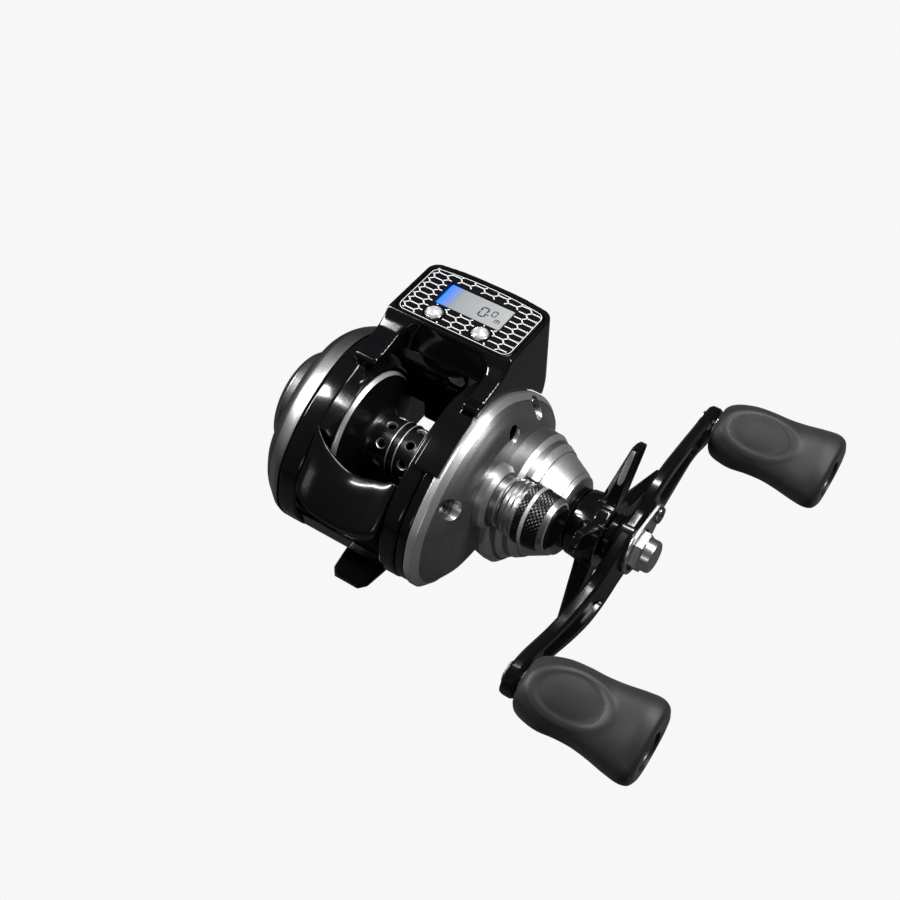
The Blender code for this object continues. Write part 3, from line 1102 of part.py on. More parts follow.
def make_spool():
    centre = at(0, 0, 0)
    left, right, mid = SPOOL_LEFT, SPOOL_RIGHT, SPOOL_MID_X
    arbor_inside = ARBOR_RADIUS - ARBOR_WALL
    half = [
        (BALANCE_RING_OFFSET - BALANCE_RING_WIDTH / 2, ARBOR_RADIUS),
        (BALANCE_RING_OFFSET - BALANCE_RING_WIDTH / 2, ARBOR_RADIUS + BALANCE_RING_RISE),
        (BALANCE_RING_OFFSET + BALANCE_RING_WIDTH / 2, ARBOR_RADIUS + BALANCE_RING_RISE),
        (BALANCE_RING_OFFSET + BALANCE_RING_WIDTH / 2, ARBOR_RADIUS),
        (SPOOL_WIDTH / 2 - FLANGE_ROOT - ARBOR_BLEND, ARBOR_RADIUS),
        (SPOOL_WIDTH / 2 - FLANGE_ROOT - ARBOR_BLEND / 4, ARBOR_RADIUS + ARBOR_BLEND / 2),
        (SPOOL_WIDTH / 2 - FLANGE_ROOT, ARBOR_RADIUS + ARBOR_BLEND),
        (SPOOL_WIDTH / 2 - FLANGE_RIM, SPOOL_RADIUS - RIM_CHAMFER),
        (SPOOL_WIDTH / 2 - RIM_CHAMFER / 2, SPOOL_RADIUS),
        (SPOOL_WIDTH / 2 - RIM_CHAMFER / 4, SPOOL_RADIUS),
        (SPOOL_WIDTH / 2, SPOOL_RADIUS - RIM_CHAMFER / 2),
        (SPOOL_WIDTH / 2, FLANGE_HUB_RADIUS),
        (SPOOL_WIDTH / 2 - FLANGE, arbor_inside + FLANGE),
        (SPOOL_WIDTH / 2 - FLANGE * 2, arbor_inside),
        (ARBOR_WEB / 2, arbor_inside), (ARBOR_WEB / 2, SPOOL_HUB_RADIUS),
        (SPOOL_HUB / 2, SPOOL_HUB_RADIUS), (SPOOL_HUB / 2, SHAFT_RADIUS + TOUCH)]
    profile = [(mid - x, radius) for x, radius in half] + [(mid + x, radius) for x, radius in half[::-1]]
    spool = turned("spool", profile, SPOOL_AXIS, SPOOL_STEPS, "black_anodised", centre)
    cut(spool, radial_pins("arbor holes", ARBOR_HOLE_RADIUS, arbor_inside - ARBOR_WALL,
                           ARBOR_RADIUS + ARBOR_WALL,
                           (mid - HOLE_ROW_OFFSET, mid + HOLE_ROW_OFFSET), ARBOR_HOLES, SPOOL_AXIS))
    step = RIGHT_OUT - TOUCH
    turned("spool_shaft", [
        (SHAFT_LEFT_X, 0), (SHAFT_LEFT_X, SHAFT_RADIUS - SCREW_EDGE),
        (SHAFT_LEFT_X + SCREW_EDGE, SHAFT_RADIUS), (step, SHAFT_RADIUS), (step, SHAFT_TIP_RADIUS),
        (SHAFT_RIGHT_X - SCREW_EDGE, SHAFT_TIP_RADIUS),
        (SHAFT_RIGHT_X, SHAFT_TIP_RADIUS - SCREW_EDGE), (SHAFT_RIGHT_X, 0)], SPOOL_AXIS, 12,
        "polished_steel", centre)
    ring("spool_bearing_right", RECESS_FLOOR + TOUCH, RIGHT_OUT - TOUCH, SHAFT_RADIUS + TOUCH,
         BEARING_RADIUS, SPOOL_AXIS, 16, "polished_steel")
    rotor_x = left - TOUCH - COUNT_RING_THICKNESS
    turned("brake_rotor", [
        (rotor_x - ROTOR_THICKNESS * 2, SHAFT_RADIUS + TOUCH),
        (rotor_x - ROTOR_THICKNESS * 2, SPOOL_HUB_RADIUS), (rotor_x, SPOOL_HUB_RADIUS),
        (rotor_x, ROTOR_RADIUS), (rotor_x + ROTOR_THICKNESS, ROTOR_RADIUS),
        (rotor_x + ROTOR_THICKNESS, SHAFT_RADIUS + TOUCH)], SPOOL_AXIS, 20, "satin_silver", centre)
    ring("counter_magnet_ring", rotor_x, rotor_x + COUNT_RING_THICKNESS, COUNT_RING_INNER,
         COUNT_RING_OUTER, SPOOL_AXIS, 20, "magnet", centre)
    pinion = stack("pinion_gear", [
        (PINION_X, gear_outline(PINION_TEETH, SPOOL_AXIS, MAIN_ANGLE + pi / PINION_TEETH)),
        (PINION_X + PINION_TEETH_WIDTH, gear_outline(PINION_TEETH, SPOOL_AXIS,
                                                     MAIN_ANGLE + pi / PINION_TEETH))],
        "brass", centre)
    neck = PINION_X + PINION_TEETH_WIDTH
    join(pinion, turned("pinion barrel form", [
        (PINION_TAIL_X, 0), (PINION_TAIL_X, PINION_NECK_RADIUS),
        (neck + PINION_NECK, PINION_NECK_RADIUS), (neck + PINION_NECK, PINION_COLLAR_RADIUS),
        (neck + PINION_NECK + PINION_END, PINION_COLLAR_RADIUS),
        (neck + PINION_NECK + PINION_END, 0)], SPOOL_AXIS, 12))
    cut(pinion, rod("pinion bore", PINION_TAIL_X - OVERRUN, neck + PINION_NECK + PINION_END + OVERRUN,
                    SHAFT_TIP_RADIUS + TOUCH, SPOOL_AXIS, SMALL_STEPS))


def make_clutch():
    yoke_x = PINION_X + PINION_TEETH_WIDTH + TOUCH
    yoke = prism("clutch_yoke", belt_outline((0, -YOKE_ARM_Z), YOKE_ARM_HALF, (0, YOKE_ARM_Z),
                                             YOKE_ARM_HALF, 6), yoke_x, yoke_x + YOKE_THICKNESS,
                 "satin_silver")
    join(yoke, rod("yoke eye form", yoke_x, yoke_x + YOKE_THICKNESS, YOKE_RADIUS, SPOOL_AXIS))
    cut(yoke, rod("yoke eye", yoke_x - OVERRUN, yoke_x + YOKE_THICKNESS + OVERRUN,
                  PINION_NECK_RADIUS + TOUCH, SPOOL_AXIS, SMALL_STEPS))
    centre = at(0, 0, 0)
    cam = ring("clutch_cam", CAM_X, CAM_X + CAM_THICKNESS, CAM_INNER, CAM_OUTER, SPOOL_AXIS, 20,
               "satin_silver", centre)
    join(cam, prism("cam tail form", [
        (CAM_TAIL_Y, CAM_TAIL_Z - CAM_TAIL_HALF), (CAM_TAIL_Y, CAM_TAIL_Z + CAM_TAIL_HALF),
        (-CAM_INNER - CAM_TAIL_HALF / 2, CAM_TAIL_Z + CAM_TAIL_HALF),
        (-CAM_INNER - CAM_TAIL_HALF / 2, CAM_TAIL_Z - CAM_TAIL_HALF)],
        CAM_X, CAM_X + CAM_THICKNESS))


def make_thumb_bar():
    rings = []
    for along, section in zip(THUMB_WIDTH_SHARES, THUMB_SECTION_SHARES):
        x = THUMB_LEFT_TIP_X + (THUMB_RIGHT_X - THUMB_LEFT_TIP_X) * along
        outline = table_outline(*zip(*section), THUMB_REAR_Y, THUMB_FRONT_Y, THUMB_BOTTOM_Z, THUMB_TOP_Z)
        rings.append([at(x, y, z) for y, z in outline])
    bar = hull("thumb_bar", rings, "gloss_black", at(0, THUMB_LUG_Y, THUMB_LUG_Z))
    join(bar, block("thumb lug form", THUMB_LUG_LEFT_X, THUMB_LUG_END_X,
                    THUMB_LUG_Y - THUMB_LUG_HALF, THUMB_LUG_Y + THUMB_LUG_HALF,
                    THUMB_LUG_Z - THUMB_LUG_HALF, THUMB_LUG_Z + THUMB_LUG_HALF))


def make_level_wind():
    pivot = at(0, *WORM_AXIS)
    cog_x = WIND_GEAR_X
    thread = []
    pitch = (RIGHT_IN - SLAB_IN - GUARD_SOCKET * 2) / WORM_GROOVES
    for index in range(WORM_GROOVES + 1):
        x = SLAB_IN + GUARD_SOCKET + pitch * index
        thread += [(x - pitch * WORM_LAND_SHARE, WORM_RADIUS), (x + pitch * WORM_LAND_SHARE, WORM_RADIUS)]
        if index < WORM_GROOVES:
            thread.append((x + pitch / 2, WORM_CORE_RADIUS))
    turned("worm_shaft", [(WORM_LEFT_X, 0), (WORM_LEFT_X, WORM_END_RADIUS),
                          (thread[0][0], WORM_END_RADIUS), *thread,
                          (thread[-1][0], WORM_END_RADIUS),
                          (cog_x + WIND_GEAR_WIDTH + TOUCH, WORM_END_RADIUS),
                          (cog_x + WIND_GEAR_WIDTH + TOUCH, 0)], WORM_AXIS, 12,
           "polished_steel", pivot)
    guard = ring("worm_guard", SLAB_IN - GUARD_SOCKET + TOUCH, RIGHT_IN + GUARD_SOCKET - TOUCH,
                 GUARD_BORE, GUARD_RADIUS, WORM_AXIS, 20, "black_anodised")
    cut(guard, block("guard slot", SLAB_IN + GUARD_SLOT, RIGHT_IN - GUARD_SLOT,
                     WORM_Y - PAWL_RADIUS - RUN, WORM_Y + PAWL_RADIUS + RUN,
                     WORM_Z - GUARD_RADIUS - OVERRUN, WORM_Z - WORM_RADIUS))
    rod_axis = (WORM_Y + GUIDE_ROD_Y, WORM_Z + GUIDE_ROD_Z)
    rod("guide_rod", SLAB_IN - GUARD_SOCKET + TOUCH, RIGHT_IN + GUARD_SOCKET - TOUCH,
        GUIDE_ROD_RADIUS, rod_axis, 12, "polished_steel")

    carriage = prism("line_guide", table_outline(
        GUIDE_LENGTH_SHARES, GUIDE_HEIGHT_SHARES, WORM_Y - GUIDE_REAR, WORM_Y + GUIDE_FRONT,
        WORM_Z - GUIDE_DOWN, WORM_Z + GUIDE_EYE_RISE), GUIDE_X - GUIDE_HALF, GUIDE_X + GUIDE_HALF,
        "gloss_black", at(GUIDE_X, *WORM_AXIS))
    eye_z = WORM_Z + EYE_Z
    eye_y = WORM_Y + EYE_Y
    eye_hole = eye_outline(EYE_RADIUS + EYE_WALL + TOUCH, EYE_HALF + TOUCH, eye_z)
    x_from, x_to = GUIDE_X - GUIDE_HALF - OVERRUN, GUIDE_X + GUIDE_HALF + OVERRUN
    cut(carriage,
        rod("carriage bore", x_from, x_to, GUARD_RADIUS + RUN, WORM_AXIS, 20),
        rod("carriage rod bore", x_from, x_to, GUIDE_ROD_RADIUS + RUN, rod_axis, SMALL_STEPS),
        plate_y("eye seat", eye_hole, WORM_Y - GUIDE_REAR - OVERRUN, WORM_Y + GUIDE_FRONT + OVERRUN),
        upright("pawl bore", [
            (WORM_Z - GUIDE_DOWN - OVERRUN, 0), (WORM_Z - GUIDE_DOWN - OVERRUN, PAWL_RADIUS + TOUCH),
            (WORM_Z, PAWL_RADIUS + TOUCH), (WORM_Z, 0)], (GUIDE_X, WORM_Y), SMALL_STEPS))
    eye = plate_y("line_guide_eye", eye_outline(EYE_RADIUS + EYE_WALL, EYE_HALF, eye_z),
                  eye_y - EYE_DEPTH / 2, eye_y + EYE_DEPTH / 2, "ceramic", at(GUIDE_X, eye_y, eye_z))
    cut(eye, plate_y("eye bore", eye_outline(EYE_RADIUS, EYE_HALF - EYE_WALL, eye_z),
                     eye_y - EYE_DEPTH, eye_y + EYE_DEPTH))
    upright("pawl", [
        (WORM_Z - GUIDE_DOWN, 0), (WORM_Z - GUIDE_DOWN, PAWL_RADIUS),
        (WORM_Z - WORM_RADIUS - TOUCH, PAWL_RADIUS), (WORM_Z - WORM_RADIUS - TOUCH, 0)],
        (GUIDE_X, WORM_Y), SMALL_STEPS, "brass", at(GUIDE_X, *WORM_AXIS))
    low = WORM_Z - GUIDE_DOWN - TOUCH
    upright("pawl_cap", [
        (low - PAWL_CAP, 0), (low - PAWL_CAP, PAWL_CAP_RADIUS - SCREW_EDGE),
        (low - PAWL_CAP + SCREW_EDGE, PAWL_CAP_RADIUS), (low, PAWL_CAP_RADIUS), (low, 0)],
        (GUIDE_X, WORM_Y), 16, "black_anodised", at(GUIDE_X, *WORM_AXIS))
    wind_end = WIND_GEAR_X + WIND_GEAR_WIDTH
    cog = prism("level_wind_cog", gear_outline(WIND_COG_TEETH, WORM_AXIS, WORM_ANGLE + pi
                                               + pi / WIND_COG_TEETH),
                WIND_GEAR_X, wind_end, "black_plastic", pivot)
    cut(cog, rod("cog bore", WIND_GEAR_X - OVERRUN, wind_end + OVERRUN, WORM_END_RADIUS + TOUCH,
                 WORM_AXIS, SMALL_STEPS))


def eye_outline(radius, half, z):
    """Upright oval of (x, z) points about the line guide."""
    points = []
    for end, turn_from in ((1, -pi / 2), (-1, pi / 2)):
        for index in range(EYE_STEPS + 1):
            turn = turn_from + pi * index / EYE_STEPS
            points.append((GUIDE_X + end * (half - radius) + radius * cos(turn),
                           z + radius * sin(turn)))
    return points


def make_counter():
    outline = side_outline()
    profile = table_outline(POD_LENGTH_SHARES, POD_HEIGHT_SHARES, POD_REAR_Y, POD_FRONT_Y,
                            POD_LOW_Z, POD_TOP_Z)
    pod = prism("counter_housing", profile, -POD_HALF_WIDTH, POD_HALF_WIDTH, "gloss_black")
    plan = pod_plan(POD_HALF_WIDTH - TOUCH / 4, POD_REAR_Y - OVERRUN, POD_CORNER_Y, POD_FRONT_Y,
                    POD_CORNER)
    boolean(pod, [tower("pod plan form", [(REAR_Y, plan), (POD_TOP_Z + OVERRUN, plan)])], "INTERSECT")
    niche = [(POD_REAR_Y - OVERRUN, POD_TOP_Z), (NICHE_FRONT_Y, POD_TOP_Z), (NICHE_FRONT_Y, NICHE_TOP_Z),
             (NICHE_LIP_Y + NICHE_LIP, NICHE_BOTTOM_Z + NICHE_LIP), (NICHE_LIP_Y, NICHE_BOTTOM_Z),
             (NICHE_LIP_Y, POD_LOW_Z), (POD_REAR_Y - OVERRUN, POD_LOW_Z)]
    belly = [(POD_REAR_Y - OVERRUN, NICHE_BOTTOM_Z - NICHE_LIP), (NICHE_LIP_Y, NICHE_BOTTOM_Z - NICHE_LIP),
             (BELLY_Y, BELLY_Z), (POD_FRONT_Y + OVERRUN, BELLY_Z),
             (POD_FRONT_Y + OVERRUN, POD_LOW_Z - OVERRUN), (POD_REAR_Y - OVERRUN, POD_LOW_Z - OVERRUN)]
    face_plan = pod_plan(FACE_HALF_WIDTH, FACE_REAR_Y, POD_CORNER_Y - POD_FRONT_Y + FACE_FRONT_Y,
                         FACE_FRONT_Y, FACE_CORNER)
    face_top = POD_TOP_Z - FACE_SINK
    face_low = face_top - FACE_THICKNESS
    seat_plan = pod_plan(FACE_HALF_WIDTH + TOUCH, FACE_REAR_Y - TOUCH,
                         POD_CORNER_Y - POD_FRONT_Y + FACE_FRONT_Y + TOUCH, FACE_FRONT_Y + TOUCH,
                         FACE_CORNER + TOUCH)
    well = (GUIDE_X, CELL_Y)
    cut(pod,
        prism("side plates clearance", offset(outline, TOUCH), -POD_HALF_WIDTH * 2, POD_HALF_WIDTH * 2),
        prism("rear niche", niche, LEG_INNER_LEFT, LEG_INNER_RIGHT),
        prism("belly", belly, SLAB_IN + TOUCH, RIGHT_IN - TOUCH),
        tower("face seat", [(face_low - TOUCH, seat_plan), (POD_TOP_Z + OVERRUN, seat_plan)]),
        block("electronics room", -ROOM_HALF_WIDTH, ROOM_HALF_WIDTH, ROOM_REAR_Y, ROOM_FRONT_Y,
              ROOM_FLOOR_Z, POD_TOP_Z + OVERRUN),
        upright("cell well", [
            (BELLY_Z - OVERRUN, 0), (BELLY_Z - OVERRUN, CELL_RADIUS + TOUCH * 2),
            (ROOM_FLOOR_Z + OVERRUN, CELL_RADIUS + TOUCH * 2), (ROOM_FLOOR_Z + OVERRUN, 0)], well, 28))

    face = tower("counter_face", [(face_low, face_plan), (face_top, face_plan)], "gloss_black")
    window = LCD_HALF_WIDTH + TOUCH
    openings = [block("lcd window", -window, window, LCD_REAR_Y - TOUCH, LCD_FRONT_Y + TOUCH,
                      face_low - OVERRUN, face_top + OVERRUN)]
    for name, x in (("mode_button", MODE_BUTTON_X), ("reset_button", RESET_BUTTON_X)):
        openings.append(upright(name + " hole", [
            (face_low - OVERRUN, 0), (face_low - OVERRUN, BUTTON_RADIUS + TOUCH),
            (face_top + OVERRUN, BUTTON_RADIUS + TOUCH), (face_top + OVERRUN, 0)],
            (x, BUTTON_Y), 20))
        base = BOARD_Z + BUTTON_TRAVEL + TOUCH
        shoulder = face_top - BUTTON_SKIRT
        crown = face_top + BUTTON_CAP
        upright(name, [
            (base, 0), (base, BUTTON_STEM_RADIUS), (shoulder, BUTTON_STEM_RADIUS),
            (shoulder, BUTTON_RADIUS), (crown - BUTTON_DOME, BUTTON_RADIUS),
            (crown - BUTTON_DOME / 4, BUTTON_RADIUS - BUTTON_DOME),
            (crown, BUTTON_RADIUS / 2), (crown, 0)], (x, BUTTON_Y), 20, "pearl_button",
            at(x, BUTTON_Y, face_top))
    cut(face, *openings)
    lcd_top = face_top - LCD_SINK
    tower("lcd_display", [(z, [(-LCD_HALF_WIDTH, LCD_REAR_Y), (LCD_HALF_WIDTH, LCD_REAR_Y),
                                     (LCD_HALF_WIDTH, LCD_FRONT_Y), (-LCD_HALF_WIDTH, LCD_FRONT_Y)])
                                for z in (lcd_top - LCD_THICKNESS, lcd_top)], "lcd_grey")
    block("counter_circuit_board", -BOARD_HALF_WIDTH, BOARD_HALF_WIDTH, ROOM_REAR_Y + RUN,
          ROOM_FRONT_Y - RUN, BOARD_Z - BOARD_THICKNESS, BOARD_Z, "board_green")
    cell_z = BELLY_Z + CAP_PLUG + TOUCH
    upright("coin_cell", [
        (cell_z, 0), (cell_z, CELL_RADIUS), (cell_z + CELL_THICKNESS - CAP_LIP / 3, CELL_RADIUS),
        (cell_z + CELL_THICKNESS - CAP_LIP / 3, CELL_RADIUS - CAP_LIP / 2),
        (cell_z + CELL_THICKNESS, CELL_RADIUS - CAP_LIP / 2), (cell_z + CELL_THICKNESS, 0)], well, 24,
        "polished_steel")
    lip = BELLY_Z - TOUCH
    cap = upright("battery_cap", [
        (lip - CAP_LIP, 0), (lip - CAP_LIP, CAP_LIP_RADIUS - CAP_LIP / 2),
        (lip - CAP_LIP / 2, CAP_LIP_RADIUS), (lip, CAP_LIP_RADIUS), (lip, CELL_RADIUS),
        (BELLY_Z + CAP_PLUG, CELL_RADIUS), (BELLY_Z + CAP_PLUG, 0)], well, 24, "black_plastic")
    cut(cap, block("coin slot", GUIDE_X - CELL_RADIUS * COIN_SLOT_SHARE,
                   GUIDE_X + CELL_RADIUS * COIN_SLOT_SHARE, CELL_Y - CAP_LIP, CELL_Y + CAP_LIP,
                   lip - CAP_LIP - OVERRUN, lip - CAP_LIP / 3))


def make_drive():
    pivot = at(0, *MAIN_AXIS)
    wind_end = WIND_GEAR_X + WIND_GEAR_WIDTH
    shoulder = wind_end + TOUCH
    turned("drive_shaft", [
        (RIGHT_OUT - DRIVE_SEAT + TOUCH, 0), (RIGHT_OUT - DRIVE_SEAT + TOUCH, DRIVE_SHAFT_NECK),
        (SET_IN, DRIVE_SHAFT_NECK), (SET_IN, DRIVE_SHAFT_RADIUS), (shoulder, DRIVE_SHAFT_RADIUS),
        (shoulder, DRIVE_SHOULDER_RADIUS), (shoulder + DRIVE_SHOULDER, DRIVE_SHOULDER_RADIUS),
        (shoulder + DRIVE_SHOULDER, DRIVE_SHAFT_RADIUS), (DRIVE_THREAD_X, DRIVE_SHAFT_RADIUS),
        (DRIVE_THREAD_X, DRIVE_THREAD_RADIUS), (DRIVE_SHAFT_END, DRIVE_THREAD_RADIUS),
        (DRIVE_SHAFT_END, 0)], MAIN_AXIS, 16, "polished_steel", pivot)
    wind = prism("level_wind_drive_gear", gear_outline(WIND_DRIVE_TEETH, MAIN_AXIS, WORM_ANGLE),
                 WIND_GEAR_X, wind_end, "black_plastic", pivot)
    cut(wind, rod("wind gear bore", WIND_GEAR_X - OVERRUN, wind_end + OVERRUN,
                  DRIVE_SHAFT_RADIUS + TOUCH, MAIN_AXIS))
    gear_end = MAIN_GEAR_X + MAIN_GEAR_WIDTH
    gear = prism("main_gear", gear_outline(MAIN_TEETH, MAIN_AXIS, MAIN_ANGLE + pi), MAIN_GEAR_X,
                 gear_end, "brass", pivot)
    cut(gear,
        rod("main gear bore", MAIN_GEAR_X - OVERRUN, gear_end, DRIVE_SHAFT_RADIUS + RUN, MAIN_AXIS),
        rod("drag dish", gear_end - MAIN_GEAR_DISH, gear_end + OVERRUN, MAIN_GEAR_DISH_RADIUS,
            MAIN_AXIS, 32))
    bore = DRIVE_SHAFT_RADIUS + TOUCH
    washer = gear_end - MAIN_GEAR_DISH + TOUCH
    plate = washer + DRAG_WASHER + TOUCH
    sleeve = plate + PRESSURE_PLATE + TOUCH
    ring("drag_washer", washer, washer + DRAG_WASHER, bore, DRAG_RADIUS, MAIN_AXIS, 28,
         "carbon_washer", pivot)
    ring("drag_pressure_plate", plate, plate + PRESSURE_PLATE, bore, DRAG_RADIUS, MAIN_AXIS, 28,
         "polished_steel", pivot)
    ring("drag_sleeve", sleeve, CONE_TOP_X, bore, SLEEVE_RADIUS, MAIN_AXIS, 20, "polished_steel",
         pivot)
    ring("anti_reverse_bearing", CLUTCH_BEARING_X, CLUTCH_BEARING_X + CLUTCH_BEARING_WIDTH,
         CLUTCH_BEARING_INNER, CLUTCH_BEARING_RADIUS, MAIN_AXIS, 20, "polished_steel")
    spacer = CONE_TOP_X + TOUCH
    ring("star_drag_spacer", spacer, spacer + STAR_SPACER, bore, STAR_SPACER_RADIUS, MAIN_AXIS, 28,
         "satin_silver", pivot)
    make_star(spacer + STAR_SPACER + TOUCH, pivot)


def make_star(hub_x, pivot):
    """Hub with curved arms that lean towards the handle."""
    count = STAR_ARMS * len(STAR_ARM_ANGLE_SHARES)
    low, high, foot, head = [], [], [], []
    for index in range(count):
        arm, place = divmod(index, len(STAR_ARM_ANGLE_SHARES))
        reach = STAR_REACH_SHARES[place]
        turn = STAR_TURN + 2 * pi / STAR_ARMS * (arm + STAR_ARM_ANGLE_SHARES[place])
        radius = STAR_HUB_RADIUS + (STAR_TIP_RADIUS - STAR_HUB_RADIUS) * reach
        lean = STAR_ROOT_X + (STAR_TIP_X - STAR_ROOT_X) * reach
        outer = lean + STAR_ARM_THICKNESS * (1 - STAR_TIP_THINNING_SHARE * reach)
        way = (cos(turn), sin(turn))
        low.append(at(lean, MAIN_Y + radius * way[0], MAIN_Z + radius * way[1]))
        high.append(at(outer, MAIN_Y + radius * way[0], MAIN_Z + radius * way[1]))
        for ring_points, x in ((foot, hub_x), (head, STAR_HUB_END_X)):
            hub_radius = STAR_HUB_RADIUS - STAR_HUB_DRAFT
            ring_points.append(at(x, MAIN_Y + hub_radius * way[0], MAIN_Z + hub_radius * way[1]))
    star = hull("star_drag", [foot, low, high, head], "gloss_black", pivot)
    cut(star, rod("star bore", hub_x - OVERRUN, STAR_HUB_END_X + OVERRUN, DRIVE_SHAFT_RADIUS + RUN,
                  MAIN_AXIS))


def make_cast_knob():
    centre = at(0, 0, 0)
    bore = SPIGOT_RADIUS + TOUCH
    bore_end = SPIGOT_X + TOUCH
    cap_seat = CAST_CAP_X - CAST_CAP_DEPTH - TOUCH
    knurled("cast_control_knob", [
        (SHAFT_RIGHT_X + RUN, 0, False), (SHAFT_RIGHT_X + RUN, CAST_PIN_RADIUS, False),
        (bore_end, CAST_PIN_RADIUS, False), (bore_end, bore, False),
        (CAST_COLLAR_X, bore, False), (CAST_COLLAR_X, CAST_COLLAR_RADIUS - CAST_RIDGE_RISE, False),
        (CAST_COLLAR_X + CAST_RIDGE, CAST_COLLAR_RADIUS, False),
        (CAST_COLLAR_X + CAST_RIDGE, CAST_COLLAR_RADIUS - CAST_RIDGE_RISE, False),
        (CAST_COLLAR_X + CAST_RIDGE * 2, CAST_COLLAR_RADIUS, False),
        (CAST_COLLAR_X + CAST_RIDGE * 2, CAST_COLLAR_RADIUS - CAST_RIDGE_RISE, False),
        (CAST_KNURL_X - CAST_KNURL_DEPTH * 2, CAST_COLLAR_RADIUS, False),
        (CAST_KNURL_X, CAST_KNURL_RADIUS, True), (CAST_BAND_X - CAST_KNURL_DEPTH, CAST_KNURL_RADIUS, True),
        (CAST_BAND_X, CAST_BAND_RADIUS, False),
        (CAST_BAND_X + CAST_KNURL_DEPTH * 3, CAST_BAND_RADIUS, False),
        (CAST_BAND_X + CAST_KNURL_DEPTH * 4, CAST_KNURL_RADIUS - CAST_KNURL_DEPTH / 2, True),
        (CAST_EDGE_X, CAST_EDGE_RADIUS, True), (CAST_FACE_X, CAST_FACE_RADIUS, False),
        (CAST_FACE_X, CAST_CAP_RADIUS + TOUCH, False), (cap_seat, CAST_CAP_RADIUS + TOUCH, False),
        (cap_seat, 0, False)], SPOOL_AXIS, CAST_KNURLS, CAST_KNURL_DEPTH, "black_anodised", centre)
    turned("cast_control_cap", [
        (cap_seat + TOUCH, 0), (cap_seat + TOUCH, CAST_CAP_RADIUS),
        (CAST_CAP_X - CAST_KNURL_DEPTH, CAST_CAP_RADIUS), (CAST_CAP_X, CAST_CAP_RADIUS - CAST_KNURL_DEPTH),
        (CAST_CAP_X, 0)], SPOOL_AXIS, 20, "gloss_black", centre)


def arm_rings():
    """Bevelled sections along both arms of the handle, from knob to knob."""
    stations = list(zip(ARM_REACH_SHARES, ARM_WIDTH_SHARES, ARM_SWEEP_SHARES, ARM_DROP_SHARES))
    path = [(reach, width, sweep, drop) for reach, width, sweep, drop in stations]
    path += [(-reach, width, -sweep, drop) for reach, width, sweep, drop in stations[-2::-1]]
    along = Vector((cos(ARM_TURN), sin(ARM_TURN)))
    across = Vector((-sin(ARM_TURN), cos(ARM_TURN)))
    middle = [Vector(MAIN_AXIS) + along * KNOB_REACH * reach + across * ARM_SWEEP * sweep
              for reach, width, sweep, drop in path]
    rings = []
    for index, (reach, width, sweep, drop) in enumerate(path):
        heading = (middle[min(index + 1, len(path) - 1)] - middle[max(index - 1, 0)]).normalized()
        if abs(reach) >= 1:
            heading = -along
        side = Vector((-heading.y, heading.x))
        half = ARM_HALF_WIDTH * width
        bevel = min(ARM_BEVEL, half / 2)
        face = ARM_FACE_X - ARM_DROP_X * drop
        ring_points = []
        for sign, x, inset in ((-1, face - bevel, 0), (-1, face, bevel), (1, face, bevel),
                               (1, face - bevel, 0), (1, face - ARM_THICKNESS + bevel, 0),
                               (1, face - ARM_THICKNESS, bevel), (-1, face - ARM_THICKNESS, bevel),
                               (-1, face - ARM_THICKNESS + bevel, 0)):
            point = middle[index] + side * sign * (half - inset)
            ring_points.append(at(x, point.x, point.y))
        rings.append(ring_points)
    return rings


def knob_axes():
    along = Vector((cos(ARM_TURN), sin(ARM_TURN)))
    across = Vector((-sin(ARM_TURN), cos(ARM_TURN)))
    offset_end = along * KNOB_REACH + across * ARM_SWEEP * ARM_SWEEP_SHARES[KNOB_STATION]
    return tuple(Vector(MAIN_AXIS) + offset_end), tuple(Vector(MAIN_AXIS) - offset_end)


